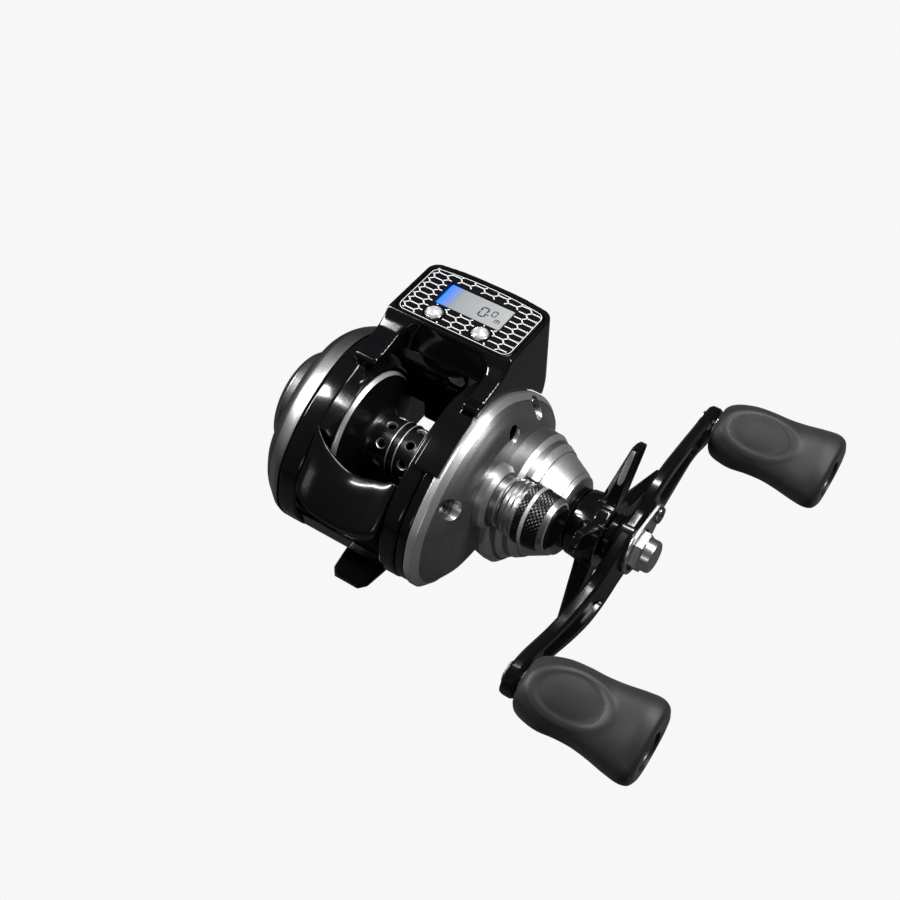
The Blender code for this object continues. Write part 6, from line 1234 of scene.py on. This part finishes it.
def face_clear(x, y):
    """True where the printed comb may show."""
    if abs(x) > 15.9 or y < 19.25 or y > 36.4 + 0.9 * (1 - (x / 16) ** 2):
        return False
    corner = Vector((max(abs(x) - 13.9, 0.0), max(21.2 - y, y - 35.0, 0.0)))
    if corner.length > 2.0:
        return False
    if abs(x) < 9.95 and 25.1 < y < 34.3:
        return False
    return all(hypot(x - centre, y - BUTTON_ROW) > 2.95 for centre in BUTTON_PLACES)


def strip(data, start, end, half, z_from, z_to):
    """A straight printed line between two points."""
    along = (end - start).normalized()
    across = Vector((-along.y, along.x)) * half
    corners = [start - across, end - across, end + across, start + across]
    skin(data, [[at(point.x, point.y, z) for point in corners] for z in (z_from, z_to)])


def make_comb():
    """Long hexagons side by side; their lines stop at the panel, the buttons and the rim."""
    data = bmesh.new()
    for column in range(-6, 7):
        for row in range(-6, 7):
            centre = Vector((column * PITCH + 0.6, 27.6 + (row + (column % 2) / 2) * HEIGHT))
            corners = [centre + Vector(point) for point in (
                (-FLAT / 2, HEIGHT / 2), (FLAT / 2, HEIGHT / 2), (WIDE / 2, 0), (FLAT / 2, -HEIGHT / 2))]
            for start, end in zip(corners, corners[1:]):
                for step in range(STRIPS):
                    low = start.lerp(end, step / STRIPS - 0.01)
                    high = start.lerp(end, (step + 1) / STRIPS + 0.01)
                    if face_clear(low.x, low.y) and face_clear(high.x, high.y):
                        strip(data, low, high, COMB_HALF, COMB_FROM, COMB_TO)
    rim = rounded_plan(16.25, 18.85, 36.35, 37.3, 2.1)
    inner = rounded_plan(16.1, 19.0, 36.2, 37.15, 1.95)
    for index in range(len(rim)):
        after = (index + 1) % len(rim)
        quad = (rim[index], rim[after], inner[after], inner[index])
        skin(data, [[at(x, y, z) for x, y in quad] for z in (COMB_FROM, COMB_TO)])
    return piece(raw("comb", data), "face_comb_lines", "housing", [LINE_WHITE])


COMB = make_comb()
print("comb:", len(COMB.data.polygons), "faces")

# %% [markdown]
# ## Display and digits
#
# The display is a thin glass tile. Its print shows a large and a small nought with a decimal point
# between them, and a small m for metres. Text objects would bring the curves of a typeface, which a
# liquid-crystal display doesn't have. So each nought is drawn with six tapered bars.

# %% Display and digits
GLASS_TOP = 26.4
INK_FROM, INK_TO = 26.37, 26.43
M_HALF = 0.11


def draw_nought(data, centre, width, height, stroke):
    """A nought drawn with six tapered bars."""
    x, y = centre
    w, h = width / 2, height / 2
    gap = stroke * 0.18
    bars = [((x - w, y + h), (x + w, y + h)), ((x - w, y - h), (x + w, y - h))]
    for side in (-w, w):
        bars += [((x + side, y), (x + side, y + h)), ((x + side, y - h), (x + side, y))]
    for start, end in bars:
        start, end = Vector(start), Vector(end)
        along = (end - start).normalized()
        across = Vector((-along.y, along.x)) * stroke / 2
        near, far = start + along * gap, end - along * gap
        inner_near, inner_far = near + along * stroke / 2, far - along * stroke / 2
        points = [near, inner_near - across, inner_far - across, far, inner_far + across,
                  inner_near + across]
        skin(data, [[at(point.x, point.y, z) for point in points] for z in (INK_FROM, INK_TO)])


def make_display():
    panel = tower("panel", [(z, [(-w, y0), (w, y0), (w, y1), (-w, y1)]) for z, w, y0, y1 in (
        (23.8, 9.35, 25.7, 33.7), (26.3, 9.35, 25.7, 33.7), (GLASS_TOP, 9.25, 25.8, 33.6))])
    panel = piece(panel, "display_panel", "housing", [LCD], ["lcd_display"])
    digits = bmesh.new()
    draw_nought(digits, (2.7, 29.4), 1.75, 3.3, 0.42)
    draw_nought(digits, (5.5, 30.2), 1.15, 1.9, 0.30)
    strip(digits, Vector((4.0, 28.9)), Vector((4.4, 28.9)), 0.2, INK_FROM, INK_TO)
    for x in (6.75, 7.35, 7.95):
        strip(digits, Vector((x, 27.5)), Vector((x, 28.6)), M_HALF, INK_FROM, INK_TO)
    strip(digits, Vector((6.7, 28.7)), Vector((7.95, 28.7)), M_HALF, INK_FROM, INK_TO)
    return panel, piece(raw("digits", digits), "display_digits", "housing", [INK])


PANEL, DIGITS = make_display()
print("display:", len(PANEL.data.polygons), "faces; digits:", len(DIGITS.data.polygons), "faces")

# %% [markdown]
# ## Buttons
#
# Two white buttons with a thin bright ring stand in the face plate's round holes. A squashed sphere
# would give the crown but not the ring and the skirt. So the whole button is one turned profile, and
# its crown is a quarter of an ellipse.

# %% Buttons
CROWN_FOOT, CROWN_HEIGHT, CROWN_RADIUS = 27.25, 0.85, 1.95
CROWN_STEPS = 7
RING_BANDS = 8


def make_button(name, x, body):
    profile = [(20.7, 0), (20.7, 1.7), (26.1, 1.7), (26.1, 2.4), (27.0, 2.4), (27.15, 2.36),
               (27.25, 2.25), (27.25, 2.1), (27.2, 2.02), (27.25, 1.95)]
    for index in range(1, CROWN_STEPS + 1):
        turn = index / CROWN_STEPS * pi / 2
        profile.append((CROWN_FOOT + CROWN_HEIGHT * sin(turn), CROWN_RADIUS * cos(turn)))
    profile[-1] = (28.1, 0)
    slots = [1 if index < RING_BANDS else 0 for index in range(len(profile) - 1)]
    return piece(upright(name, profile, (x, BUTTON_ROW), 72, slots), name + "_skin", body,
                 [PEARL, BAND], [name])


MODE = make_button("mode_button", MODE_PLACE, "mode_key")
RESET = make_button("reset_button", RESET_PLACE, "reset_key")
print("buttons:", MODE.name, "and", RESET.name)

# %% [markdown]
# ## Star drag
#
# The five-armed star sets how hard a fish must pull before the drag slips. Each arm is broad at its
# root and thins fast to a blunt tip that leans outwards. One arm could be repeated with an array, but
# the valleys between the arms must flow as well. So all five arms are one closed curve, repeated at
# eight levels that are drawn in near the edges to round them.

# %% Star drag
STAR_X, STAR_LEAN, STAR_THICK, STAR_THIN = 48.0, 2.4, 3.3, 0.42
STAR_ROOT, STAR_ARM = 9.6, 16.6
STAR_FIRST = radians(66.4)
STAR_ANGLE = (-0.42, -0.30, -0.21, -0.13, -0.085, -0.045, 0.0, 0.045, 0.085, 0.13, 0.21, 0.30, 0.42)
STAR_REACH = (0.0, 0.0, 0.05, 0.38, 0.93, 0.99, 1.0, 0.99, 0.93, 0.38, 0.05, 0.0, 0.0)


def star_point(turn, reach, rise):
    """Point of an arm; rise is 0 on its back and 1 on its face."""
    radius = STAR_ROOT + STAR_ARM * reach
    x = STAR_X + STAR_LEAN * reach + rise * STAR_THICK * (1 - STAR_THIN * reach)
    return (x, MAIN[0] + radius * cos(turn), MAIN[1] + radius * sin(turn))


def star_turn(arm, share):
    """Angle of a point of an arm; share is 0 on the arm's middle line."""
    return STAR_FIRST + 2 * pi / 5 * (arm + share)


def star_level(rise, inset):
    """The star's outline at one level, drawn in by the roundness of its edges."""
    points = [star_point(star_turn(arm, angle), reach, rise) for arm in range(5)
              for angle, reach in zip(STAR_ANGLE, STAR_REACH)]
    points = spline(points, 5)
    outline = offset([(y, z) for x, y, z in points], inset)
    return [at(x, y, z) for (x, _, _), (y, z) in zip(points, outline)]


STAR_LEVELS = ((0.0, 0.26), (0.03, 0.12), (0.10, 0.03), (0.18, 0.0), (0.78, 0.0), (0.88, 0.03),
               (0.96, 0.12), (1.0, 0.28))
STAR_RIM = star_level(0.0, 0.0)


def star_hub(x, radius):
    """Ring of the hub, point for point in line with the star's outline."""
    points = []
    for point in STAR_RIM:
        turn = atan2(point.z - SPOOL_UP - MAIN[1], point.y + SPOOL_BACK - MAIN[0])
        points.append(at(x, MAIN[0] + radius * cos(turn), MAIN[1] + radius * sin(turn)))
    return points


def make_star():
    foot = ((42.8, 8.5), (43.1, 8.8), (46.4, 9.2))
    dish = ((51.15, 8.7), (51.0, 8.4), (51.0, 7.2), (50.8, 7.0), (50.8, 3.0))
    rings = [star_hub(*step) for step in foot]
    rings += [star_level(*level) for level in STAR_LEVELS]
    rings += [star_hub(*step) for step in dish]
    star = hull("star", rings, [0] * 11 + [1, 1, 1, 0])
    boolean(star, "DIFFERENCE", rod("bore", 41.8, 52.4, 3.0, MAIN, 48))
    return piece(star, "star_skin", "star_drag_wheel", [BLACK, DARK_STEEL], ["star_drag"], 0, 40)


STAR = make_star()
print("star drag:", len(STAR.data.polygons), "faces")

# %% [markdown]
# ## Painted highlight on the star, and spacer
#
# One arm carries a painted highlight: a thin silver line along its flank where that arm mirrors a lamp,
# and a stepped black ring fills the gap between the star and the cover. The line could be painted by a
# mask, but it thins towards both ends and follows the arm's curve. So it is a narrow raised band, and its
# distance from the arm's middle is read off the star's own outline.

# %% Painted highlight on the star, and spacer
HIGHLIGHT_STEPS = 14
HIGHLIGHT_FROM, HIGHLIGHT_LENGTH, HIGHLIGHT_RISE, HIGHLIGHT_HALF = 0.34, 0.60, 0.47, 0.30
HIGHLIGHT_SECTION = ((-1, -0.12), (1, -0.12), (1, 0.03), (0.8, 0.09), (-0.8, 0.09), (-1, 0.03))


def star_flank(reach):
    """Half width of an arm at a reach, from the same outline as the star."""
    points = spline([star_point(star_turn(0, angle), far, 0.0)
                     for angle, far in zip(STAR_ANGLE, STAR_REACH)], 10, False)
    turn = star_turn(0, 0)
    best = min(points[len(points) // 2:], key=lambda point: abs(
        (point[1] - MAIN[0]) * cos(turn) + (point[2] - MAIN[1]) * sin(turn) - STAR_ROOT - STAR_ARM * reach))
    return abs(-(best[1] - MAIN[0]) * sin(turn) + (best[2] - MAIN[1]) * cos(turn))


# a raised silver band on one arm's flank, placed where that arm mirrors a lamp: a painted highlight
def make_inlay():
    turn = star_turn(0, 0)
    rings = []
    for step in range(HIGHLIGHT_STEPS + 1):
        share = step / HIGHLIGHT_STEPS
        reach = HIGHLIGHT_FROM + HIGHLIGHT_LENGTH * share
        half = HIGHLIGHT_HALF * min(1, 0.55 + share * 3, 0.7 + (1 - share) * 3)
        flank = star_flank(reach)
        ring = []
        for side, proud in HIGHLIGHT_SECTION:
            x, y, z = star_point(turn, reach, HIGHLIGHT_RISE + side * half)
            out = flank + proud
            ring.append(at(x, y - sin(turn) * out, z + cos(turn) * out))
        rings.append(ring)
    return piece(hull("inlay", rings), "star_tip_inlays", "star_drag_wheel", [PAINTED_HIGHLIGHT], (), 0, 40)


def make_spacer():
    spacer = turned("spacer", [
        (40.6, 2.9), (40.6, 8.2), (40.8, 8.5), (41.4, 8.5), (41.5, 8.2), (41.7, 8.2), (41.8, 8.5),
        (42.3, 8.5), (42.5, 8.2), (42.5, 2.9)], MAIN, 128)
    return piece(spacer, "star_spacer_skin", "handle", [BLACK], ["star_drag_spacer"])


STAR_PAINTED_HIGHLIGHT = make_inlay()
SPACER = make_spacer()
print("inlay and spacer:", len(STAR_PAINTED_HIGHLIGHT.data.polygons), "and", len(SPACER.data.polygons), "faces")

# %% [markdown]
# ## Handle arm
#
# The handle is a slim pressed bar. It widens towards the hub, sweeps forward between hub and knob,
# and its ends drop towards the reel. A straight bar with a bend modifier could follow only one of
# those curves. So stations along it say how wide, how far swept and how low it is. A twelve-point
# section with rounded edges and a sunk lane is then set across the path at each of them.

# %% Handle arm
KNOB_REACH, ARM_SWEEP, ARM_HALF = 47.8, 5.6, 5.0
ARM_FACE, ARM_BACK, ARM_DROP = 57.9, 54.7, 2.0
LANE_DEPTH, LANE_SHARE = 1.25, 0.50
LANE_FROM, LANE_TO, LANE_FADE = 0.27, 0.83, 0.08
ARM_STATIONS = list(zip(
    (1.105, 1.09, 1.05, 1.0, 0.92, 0.82, 0.70, 0.55, 0.42, 0.33, 0.25, 0.14, 0.0),
    (0.22, 0.56, 0.90, 1.0, 0.96, 0.86, 0.90, 1.10, 1.28, 1.33, 1.38, 1.42, 1.46),
    (-0.15, -0.15, -0.15, -0.13, -0.05, 0.15, 0.41, 0.63, 0.73, 0.71, 0.56, 0.19, 0.0),
    (1.0, 1.0, 1.0, 1.0, 1.0, 0.95, 0.75, 0.45, 0.25, 0.15, 0.1, 0.0, 0.0)))
ARM_TURN = radians(0.8)
ALONG = Vector((cos(ARM_TURN), sin(ARM_TURN)))
ACROSS = Vector((-sin(ARM_TURN), cos(ARM_TURN)))
KNOB_AXES = [tuple(Vector(MAIN) + (ALONG * KNOB_REACH - ACROSS * 0.728) * way) for way in (1, -1)]


def smooth(value):
    """0 below nought, 1 above one, with a soft step between them."""
    value = min(max(value, 0.0), 1.0)
    return value * value * (3 - 2 * value)


def arm_path():
    """The stations of one half, mirrored through the hub, with a smooth curve between them."""
    mirrored = [(-reach, width, -sweep, drop) for reach, width, sweep, drop in ARM_STATIONS[-2::-1]]
    return spline(ARM_STATIONS + mirrored, 5, False)


def make_arm():
    path = arm_path()
    middle = [Vector(MAIN) + ALONG * KNOB_REACH * reach + ACROSS * ARM_SWEEP * sweep
              for reach, width, sweep, drop in path]
    rings = []
    for index, (reach, width, sweep, drop) in enumerate(path):
        heading = (middle[min(index + 1, len(path) - 1)] - middle[max(index - 1, 0)]).normalized()
        if abs(reach) >= 0.99:
            heading = -ALONG
        side = Vector((-heading.y, heading.x))
        half = ARM_HALF * width
        face, back = ARM_FACE - ARM_DROP * drop, ARM_BACK - ARM_DROP * drop
        edge = min(0.7, half / 3)
        sink = LANE_DEPTH * smooth((abs(reach) - LANE_FROM) / LANE_FADE)
        sink *= smooth((LANE_TO - abs(reach)) / LANE_FADE)
        lane = half * LANE_SHARE
        section = ((-half, face - edge), (-half + edge, face), (-lane - 0.25, face),
                   (-lane, face - sink), (lane, face - sink), (lane + 0.25, face), (half - edge, face),
                   (half, face - edge), (half, back + edge), (half - edge, back), (-half + edge, back),
                   (-half, back + edge))
        ring_points = []
        for out, x in section:
            spot = middle[index] + side * out
            ring_points.append(at(x, spot.x, spot.y))
        rings.append(ring_points)
    arm = hull("arm", rings)
    boolean(arm, "UNION", turned("hub", [
        (51.4, 0), (51.4, 6.0), (51.7, 6.2), (53.2, 6.2), (53.6, 6.6), (54.7, 7.4), (57.7, 7.4),
        (58.0, 7.1), (58.0, 0)], MAIN, 128))
    cutters = [rod("bore", 50.4, 59.0, 2.6, MAIN, 48)]
    cutters += [rod("axle hole", 51.7, 56.9, 2.3, place, 48) for place in KNOB_AXES]
    for cutter in cutters:
        boolean(arm, "DIFFERENCE", cutter)
    return piece(arm, "handle_arm_skin", "handle", [HANDLE_BLACK], ["handle_arm"], 0, 24)


ARM = make_arm()
print("handle arm:", len(ARM.data.polygons), "faces")

# %% [markdown]
# ## Handle nut
#
# A hexagonal nut with a round crown holds the arm on its shaft. A six-sided cylinder and a round one
# could be joined, but then no soft step would run between them. Both are drawn here with the same 96
# points. On a hexagon they are only nearer to the axis, by a cosine that repeats on each flat.

# %% Handle nut
NUT_POINTS = 96
FLAT_SHARE = 0.8660
NUT_STEPS = ((58.3, 5.4, True), (61.1, 5.4, True), (61.4, 5.15, True), (61.4, 4.5, False),
             (61.6, 4.3, False), (63.3, 4.3, False), (63.8, 4.05, False), (64.0, 3.6, False))


def nut_ring(x, radius, flat):
    """A hexagon with that radius at its corners where flat is true, or else a circle."""
    ring = []
    for index in range(NUT_POINTS):
        turn = 2 * pi * index / NUT_POINTS
        hexed = FLAT_SHARE / cos((turn % (pi / 3)) - pi / 6)
        reach = radius * (hexed if flat else 1.0)
        ring.append(at(x, MAIN[0] + reach * cos(turn), MAIN[1] + reach * sin(turn)))
    return ring


def make_nut():
    nut = hull("nut", [nut_ring(*step) for step in NUT_STEPS])
    boolean(nut, "DIFFERENCE", rod("bore", 57.0, 62.5, 2.5, MAIN, 48))
    return piece(nut, "nut_skin", "handle", [CHROME], ["handle_nut"], 0.12, 30)


NUT = make_nut()
print("nut:", len(NUT.data.polygons), "faces")

# %% [markdown]
# ## Nut retainer
#
# A thin plate fits over the nut and is screwed to the arm, so that the nut can't come loose. Its
# outline is that of a belt round a large and a small wheel. It could be two discs and a bar joined by
# Booleans, but the tangent points are easy sums and leave one clean outline.

# %% Nut retainer


def belt(first, first_radius, second, second_radius, steps):
    """Outline of a belt round two wheels."""
    away = Vector(second) - Vector(first)
    heading = atan2(away.y, away.x)
    spread = acos((first_radius - second_radius) / away.length)
    points = []
    for centre, radius, begin, end in (
            (second, second_radius, heading - spread, heading + spread),
            (first, first_radius, heading + spread, heading - spread + 2 * pi)):
        points += circle_part(centre, radius, begin, end, steps)
    return points


def make_retainer():
    place = (MAIN[0] + 9.6, MAIN[1] + 3.9)
    plate = prism("retainer", belt(MAIN, 6.9, place, 3.0, 40), 58.3, 59.2)
    boolean(plate, "DIFFERENCE", rod("nut hole", 57.0, 60.5, 5.7, MAIN, 96))
    boolean(plate, "DIFFERENCE", rod("screw hole", 57.0, 60.5, 1.5, place, 48))
    cross_screw("retainer_screw_head", 60.4, 59.5, place, 2.2, "handle", ["retainer_screw"])
    return piece(plate, "retainer_skin", "handle", [STEEL], ["nut_retainer"], 0.18, 30)


RETAINER = make_retainer()
print("retainer:", len(RETAINER.data.polygons), "faces")

# %% [markdown]
# ## Handle knobs
#
# Two rubber grips turn on axles at the arm's ends. They are flattened and waisted, with a sunk oval
# panel for the thumb on each flat side. They could be sculpted, but both must be alike and fit their
# bores. So each ring is a soft rectangle from a power of cosine and sine, and the panel is a dip that
# fades in and out within those rings. Points inside the oval also mark the faces of the panel.

# %% Handle knobs
KNOB_FOOT, KNOB_LENGTH = 57.1, 31.6
KNOB_POINTS = 120
KNOB_TWIST = radians(20.0)
KNOB_WIDTH, KNOB_THICKNESS, KNOB_SHIFT = 9.97, 7.1, 1.2
KNOB_SQUARE = 0.86
PANEL_MIDDLE, PANEL_REACH, PANEL_WIDTH = 0.37, 0.285, 0.60
PANEL_DEPTH, PANEL_LIP = 0.55, 0.16
KNOB_STATIONS = list(zip(
    (0.0, 0.03, 0.10, 0.22, 0.36, 0.50, 0.64, 0.78, 0.90, 0.97, 1.0),
    (0.62, 0.72, 0.82, 0.90, 0.90, 0.90, 0.95, 1.03, 1.07, 1.0, 0.84),
    (0.80, 0.90, 0.98, 1.0, 0.94, 0.88, 0.88, 0.92, 0.96, 0.88, 0.74),
    (0.0, 0.0, 0.2, 0.5, 0.9, 1.0, 1.0, 1.0, 1.0, 0.9, 0.8)))


def make_knob(side, place):
    """Shaped rubber grip with an oval thumb panel sunk into both flat sides."""
    turn = Matrix.Rotation(KNOB_TWIST, 2)
    rings, marks = [], []
    for along, width, thick, shift in spline(KNOB_STATIONS, 8, False):
        points, row = [], []
        for index in range(KNOB_POINTS):
            angle = 2 * pi * index / KNOB_POINTS
            across, deep = [abs(part) ** KNOB_SQUARE * (1 if part >= 0 else -1)
                            for part in (cos(angle), sin(angle))]
            out = hypot((along - PANEL_MIDDLE) / PANEL_REACH, across * width / PANEL_WIDTH)
            flatness = smooth((abs(deep) - 0.45) / 0.2)
            dip = -PANEL_DEPTH * smooth((1.0 - out) / 0.22)
            dip += PANEL_LIP * smooth(1 - abs(out - 1.12) / 0.16)
            spread = deep * KNOB_THICKNESS * thick
            spread += (1 if deep > 0 else -1) * dip * flatness
            point = turn @ Vector((across * KNOB_WIDTH * width + KNOB_SHIFT * shift, spread))
            points.append(at(KNOB_FOOT + KNOB_LENGTH * along, place[0] + point.x, place[1] + point.y))
            row.append(out < 0.93 and flatness > 0.5)
        rings.append(points)
        marks.append(row)
    knob = hull("knob", rings)
    for number, face in enumerate(knob.data.polygons):
        row, index = divmod(number, KNOB_POINTS)
        if row < len(marks) - 1:
            face.material_index = int(marks[row][index] and marks[row + 1][index])
    end = KNOB_FOOT + KNOB_LENGTH
    boolean(knob, "DIFFERENCE", turned("knob bore", [
        (56.0, 0), (56.0, 2.4), (end - 3.8, 2.4), (end - 3.8, 4.7), (end - 0.5, 4.7), (end + 0.5, 5.2),
        (end + 0.5, 0)], place, 72))
    knob = piece(knob, "knob_grip_" + side, side + "_knob", [RUBBER, RUBBER_PANEL],
                 ["handle_knob_" + side], 0, 40)
    cap = turned("knob cap", [
        (end - 2.2, 0), (end - 2.2, 4.4), (end - 0.9, 4.4), (end - 0.7, 4.2), (end - 0.7, 3.5),
        (end - 0.95, 3.35), (end - 0.95, 2.4), (end - 0.8, 2.3), (end - 0.8, 1.3), (end - 1.5, 1.2),
        (end - 1.5, 0)], place, 72, [0, 0, 0, 0, 1, 1, 1, 0, 0, 1])
    return knob, piece(cap, "knob_end_" + side, side + "_knob", [RUBBER_CAP, DARK_STEEL],
                       ["knob_cap_" + side])


KNOBS = [make_knob(side, place) for side, place in zip(("front", "rear"), KNOB_AXES)]
print("knobs:", sum(len(part.data.polygons) for pair in KNOBS for part in pair), "faces")

# %% [markdown]
# ## The rest of the works
#
# Gears, bearings, shafts, the foot and other pieces are right as solids already, or are hidden inside.
# They could all be made again, but nothing would be gained. So these nodes keep their own shape and
# get real finishes, and a fine bevel that lets their edges catch the light.

# %% Dressed nodes
DRESS = {
    BLACK: ("reel_foot", "line_guide"),
    HANDLE_BLACK: ("worm_guard", "pawl_cap"),
    PLASTIC: ("brake_housing", "battery_cap", "level_wind_cog", "level_wind_drive_gear"),
    BOARD: ("counter_circuit_board",),
    CELL_GREY: ("clutch_yoke", "clutch_cam", "brake_rotor"),
    MAGNET: ("brake_magnet_ring", "counter_magnet_ring"),
    BRASS: ("main_gear", "pinion_gear", "pawl"),
    CARBON: ("drag_washer",),
    CERAMIC: ("line_guide_eye",),
    STEEL: ("spool_shaft", "spool_bearing_left", "spool_bearing_right", "worm_shaft", "guide_rod",
            "drive_shaft", "drag_pressure_plate", "drag_sleeve", "anti_reverse_bearing",
            "knob_axle_front", "knob_axle_rear", "foot_screw_front", "foot_screw_rear"),
    CHROME: ("coin_cell",),
}
EDGES = {"reel_foot": 0.45, "line_guide": 0.45, "brake_housing": 0.2, "battery_cap": 0.15,
         "line_guide_eye": 0.25, "worm_guard": 0.1}
FINE_EDGE = 0.06
SAME_PLACE = 1e-6
BROKEN_ANGLE = radians(30)


def dress(name, material):
    """Give a CAD node its finish and broken edges."""
    node = nodes[name]
    node.data.materials.clear()
    node.data.materials.append(material)
    weld = node.modifiers.new("weld", "WELD")
    weld.merge_threshold = SAME_PLACE
    edge = node.modifiers.new("edges", "BEVEL")
    edge.width = EDGES.get(name, FINE_EDGE) * MM
    edge.segments = BEVEL_STEPS
    edge.limit_method = "ANGLE"
    edge.angle_limit = BROKEN_ANGLE
    edge.harden_normals = True


for material, names in DRESS.items():
    for name in names:
        dress(name, material)
print("dressed nodes:", sum(len(names) for names in DRESS.values()))

# %% [markdown]
# ## Floor and world
#
# The reel is shown on even, pale paper. A white sheet under real light would also throw that light up
# into the black lacquer and turn it grey. So the camera itself sees a plain pale colour, while every
# reflected ray meets dark paper and a nearly dark room.

# %% Floor and world
FLOOR_Z = -0.06
FLOOR_HALF = 3
PAPER = (0.93, 0.93, 0.93, 1.0)
DARK_PAPER = (0.05, 0.05, 0.05)
DARK_ROOM = (0.04, 0.04, 0.04, 1.0)


def make_floor():
    mesh = bpy.data.meshes.new("studio floor")
    corners = [(x * FLOOR_HALF, y * FLOOR_HALF, FLOOR_Z) for x, y in ((-1, -1), (1, -1), (1, 1), (-1, 1))]
    mesh.from_pydata(corners, [], [(0, 1, 2, 3)])
    floor = bpy.data.objects.new("studio floor", mesh)
    bpy.context.scene.collection.objects.link(floor)
    paint = Paint("studio_paper")
    seen = paint.node("ShaderNodeLightPath", {}, {}, "Is Camera Ray")
    paper = paint.node("ShaderNodeEmission", {}, {"Color": PAPER, "Strength": 1.0})
    paint.set(base_color=DARK_PAPER, roughness=0.9)
    shader = Signal(paint, paint.shader.outputs[0])
    mix = paint.node("ShaderNodeMixShader", {}, {0: seen, 1: shader, 2: paper})
    out = paint.tree.nodes["Material Output"]
    paint.tree.links.new(mix.socket, out.inputs["Surface"])
    mesh.materials.append(paint.material)
    return floor


def make_world():
    world = bpy.data.worlds.new("studio")
    world.use_nodes = True
    bpy.context.scene.world = world
    tree = world.node_tree
    path = tree.nodes.new("ShaderNodeLightPath")
    pick = tree.nodes.new("ShaderNodeMix")
    pick.data_type = "RGBA"
    pick.inputs[6].default_value = DARK_ROOM
    pick.inputs[7].default_value = PAPER
    tree.links.new(path.outputs["Is Camera Ray"], pick.inputs[0])
    tree.links.new(pick.outputs[2], tree.nodes["Background"].inputs["Color"])


FLOOR = make_floor()
make_world()
print("floor at", FLOOR_Z, "m:", FLOOR.name)

# %% [markdown]
# ## Soft boxes
#
# Black gloss shows its form only by what it mirrors. Point lamps would leave dots on it, so four
# rectangular soft boxes are hung round the reel. Two long strips draw the highlights along collar and
# covers, a square box lights the handle side, and a faint strip in front lifts the nose.

# %% Soft boxes


def soft_box(name, place, aim, size, watts):
    """Area light in millimetres about the spool that faces a point."""
    data = bpy.data.lights.new(name, "AREA")
    data.shape = "RECTANGLE"
    data.size, data.size_y = size[0] * MM, size[1] * MM
    data.energy = watts
    made = bpy.data.objects.new(name, data)
    where, target = at(*place) * MM, at(*aim) * MM
    made.location = where
    made.rotation_euler = (target - where).to_track_quat("-Z", "Y").to_euler()
    bpy.context.scene.collection.objects.link(made)
    return made


LIGHTS = [
    soft_box("key strip", (-290, -90, 300), (0, 5, 0), (50, 240), 2.2),
    soft_box("top strip", (60, 150, 380), (10, 10, 0), (250, 40), 1.5),
    soft_box("right box", (280, 130, 300), (20, 10, 0), (150, 150), 1.3),
    soft_box("front strip", (120, -380, 160), (20, 0, 0), (300, 60), 0.18),
]
print("lights:", [light.name for light in LIGHTS])

# %% [markdown]
# ## Camera
#
# A camera could be moved until the view looks right, but then every length would be a guess. Here its
# angles, distance and focal length come from a fit to the spool's round rims and the counter's
# corners. The spool's axis isn't in the middle of the picture, so the camera is moved aside until the
# axis falls on its own pixel. The plain view transform keeps black as black.

# %% Camera
AZIMUTH, ELEVATION = radians(34.2), radians(47.9)
DISTANCE, FOCAL = 350.3, 1400.0
PICTURE, SENSOR = 900.0, 36.0
SPOOL_PIXEL = (408.3, 452.1)


def make_camera():
    right = Vector((cos(AZIMUTH), sin(AZIMUTH), 0))
    ahead = Vector((-sin(AZIMUTH) * cos(ELEVATION), cos(AZIMUTH) * cos(ELEVATION), -sin(ELEVATION)))
    up = right.cross(ahead)
    aside = (SPOOL_PIXEL[0] - PICTURE / 2) * DISTANCE / FOCAL
    above = -(SPOOL_PIXEL[1] - PICTURE / 2) * DISTANCE / FOCAL
    where = at(0, 0, 0) - right * aside - up * above - ahead * DISTANCE
    data = bpy.data.cameras.new("photo camera")
    data.sensor_width = SENSOR
    data.lens = FOCAL / PICTURE * SENSOR
    data.clip_start, data.clip_end = 0.01, 20.0
    camera = bpy.data.objects.new("photo camera", data)
    turn = Matrix((right, up, -ahead)).transposed()
    camera.matrix_world = Matrix.Translation(where * MM) @ turn.to_4x4()
    bpy.context.scene.collection.objects.link(camera)
    bpy.context.scene.camera = camera
    return camera


CAMERA = make_camera()
bpy.context.scene.view_settings.view_transform = "Standard"
print("camera at", [round(v, 4) for v in CAMERA.location])

# %% [markdown]
# ## Final update
#
# The view layer is updated once more, so that every piece stands in its place.

# %% Final update
bpy.context.view_layer.update()
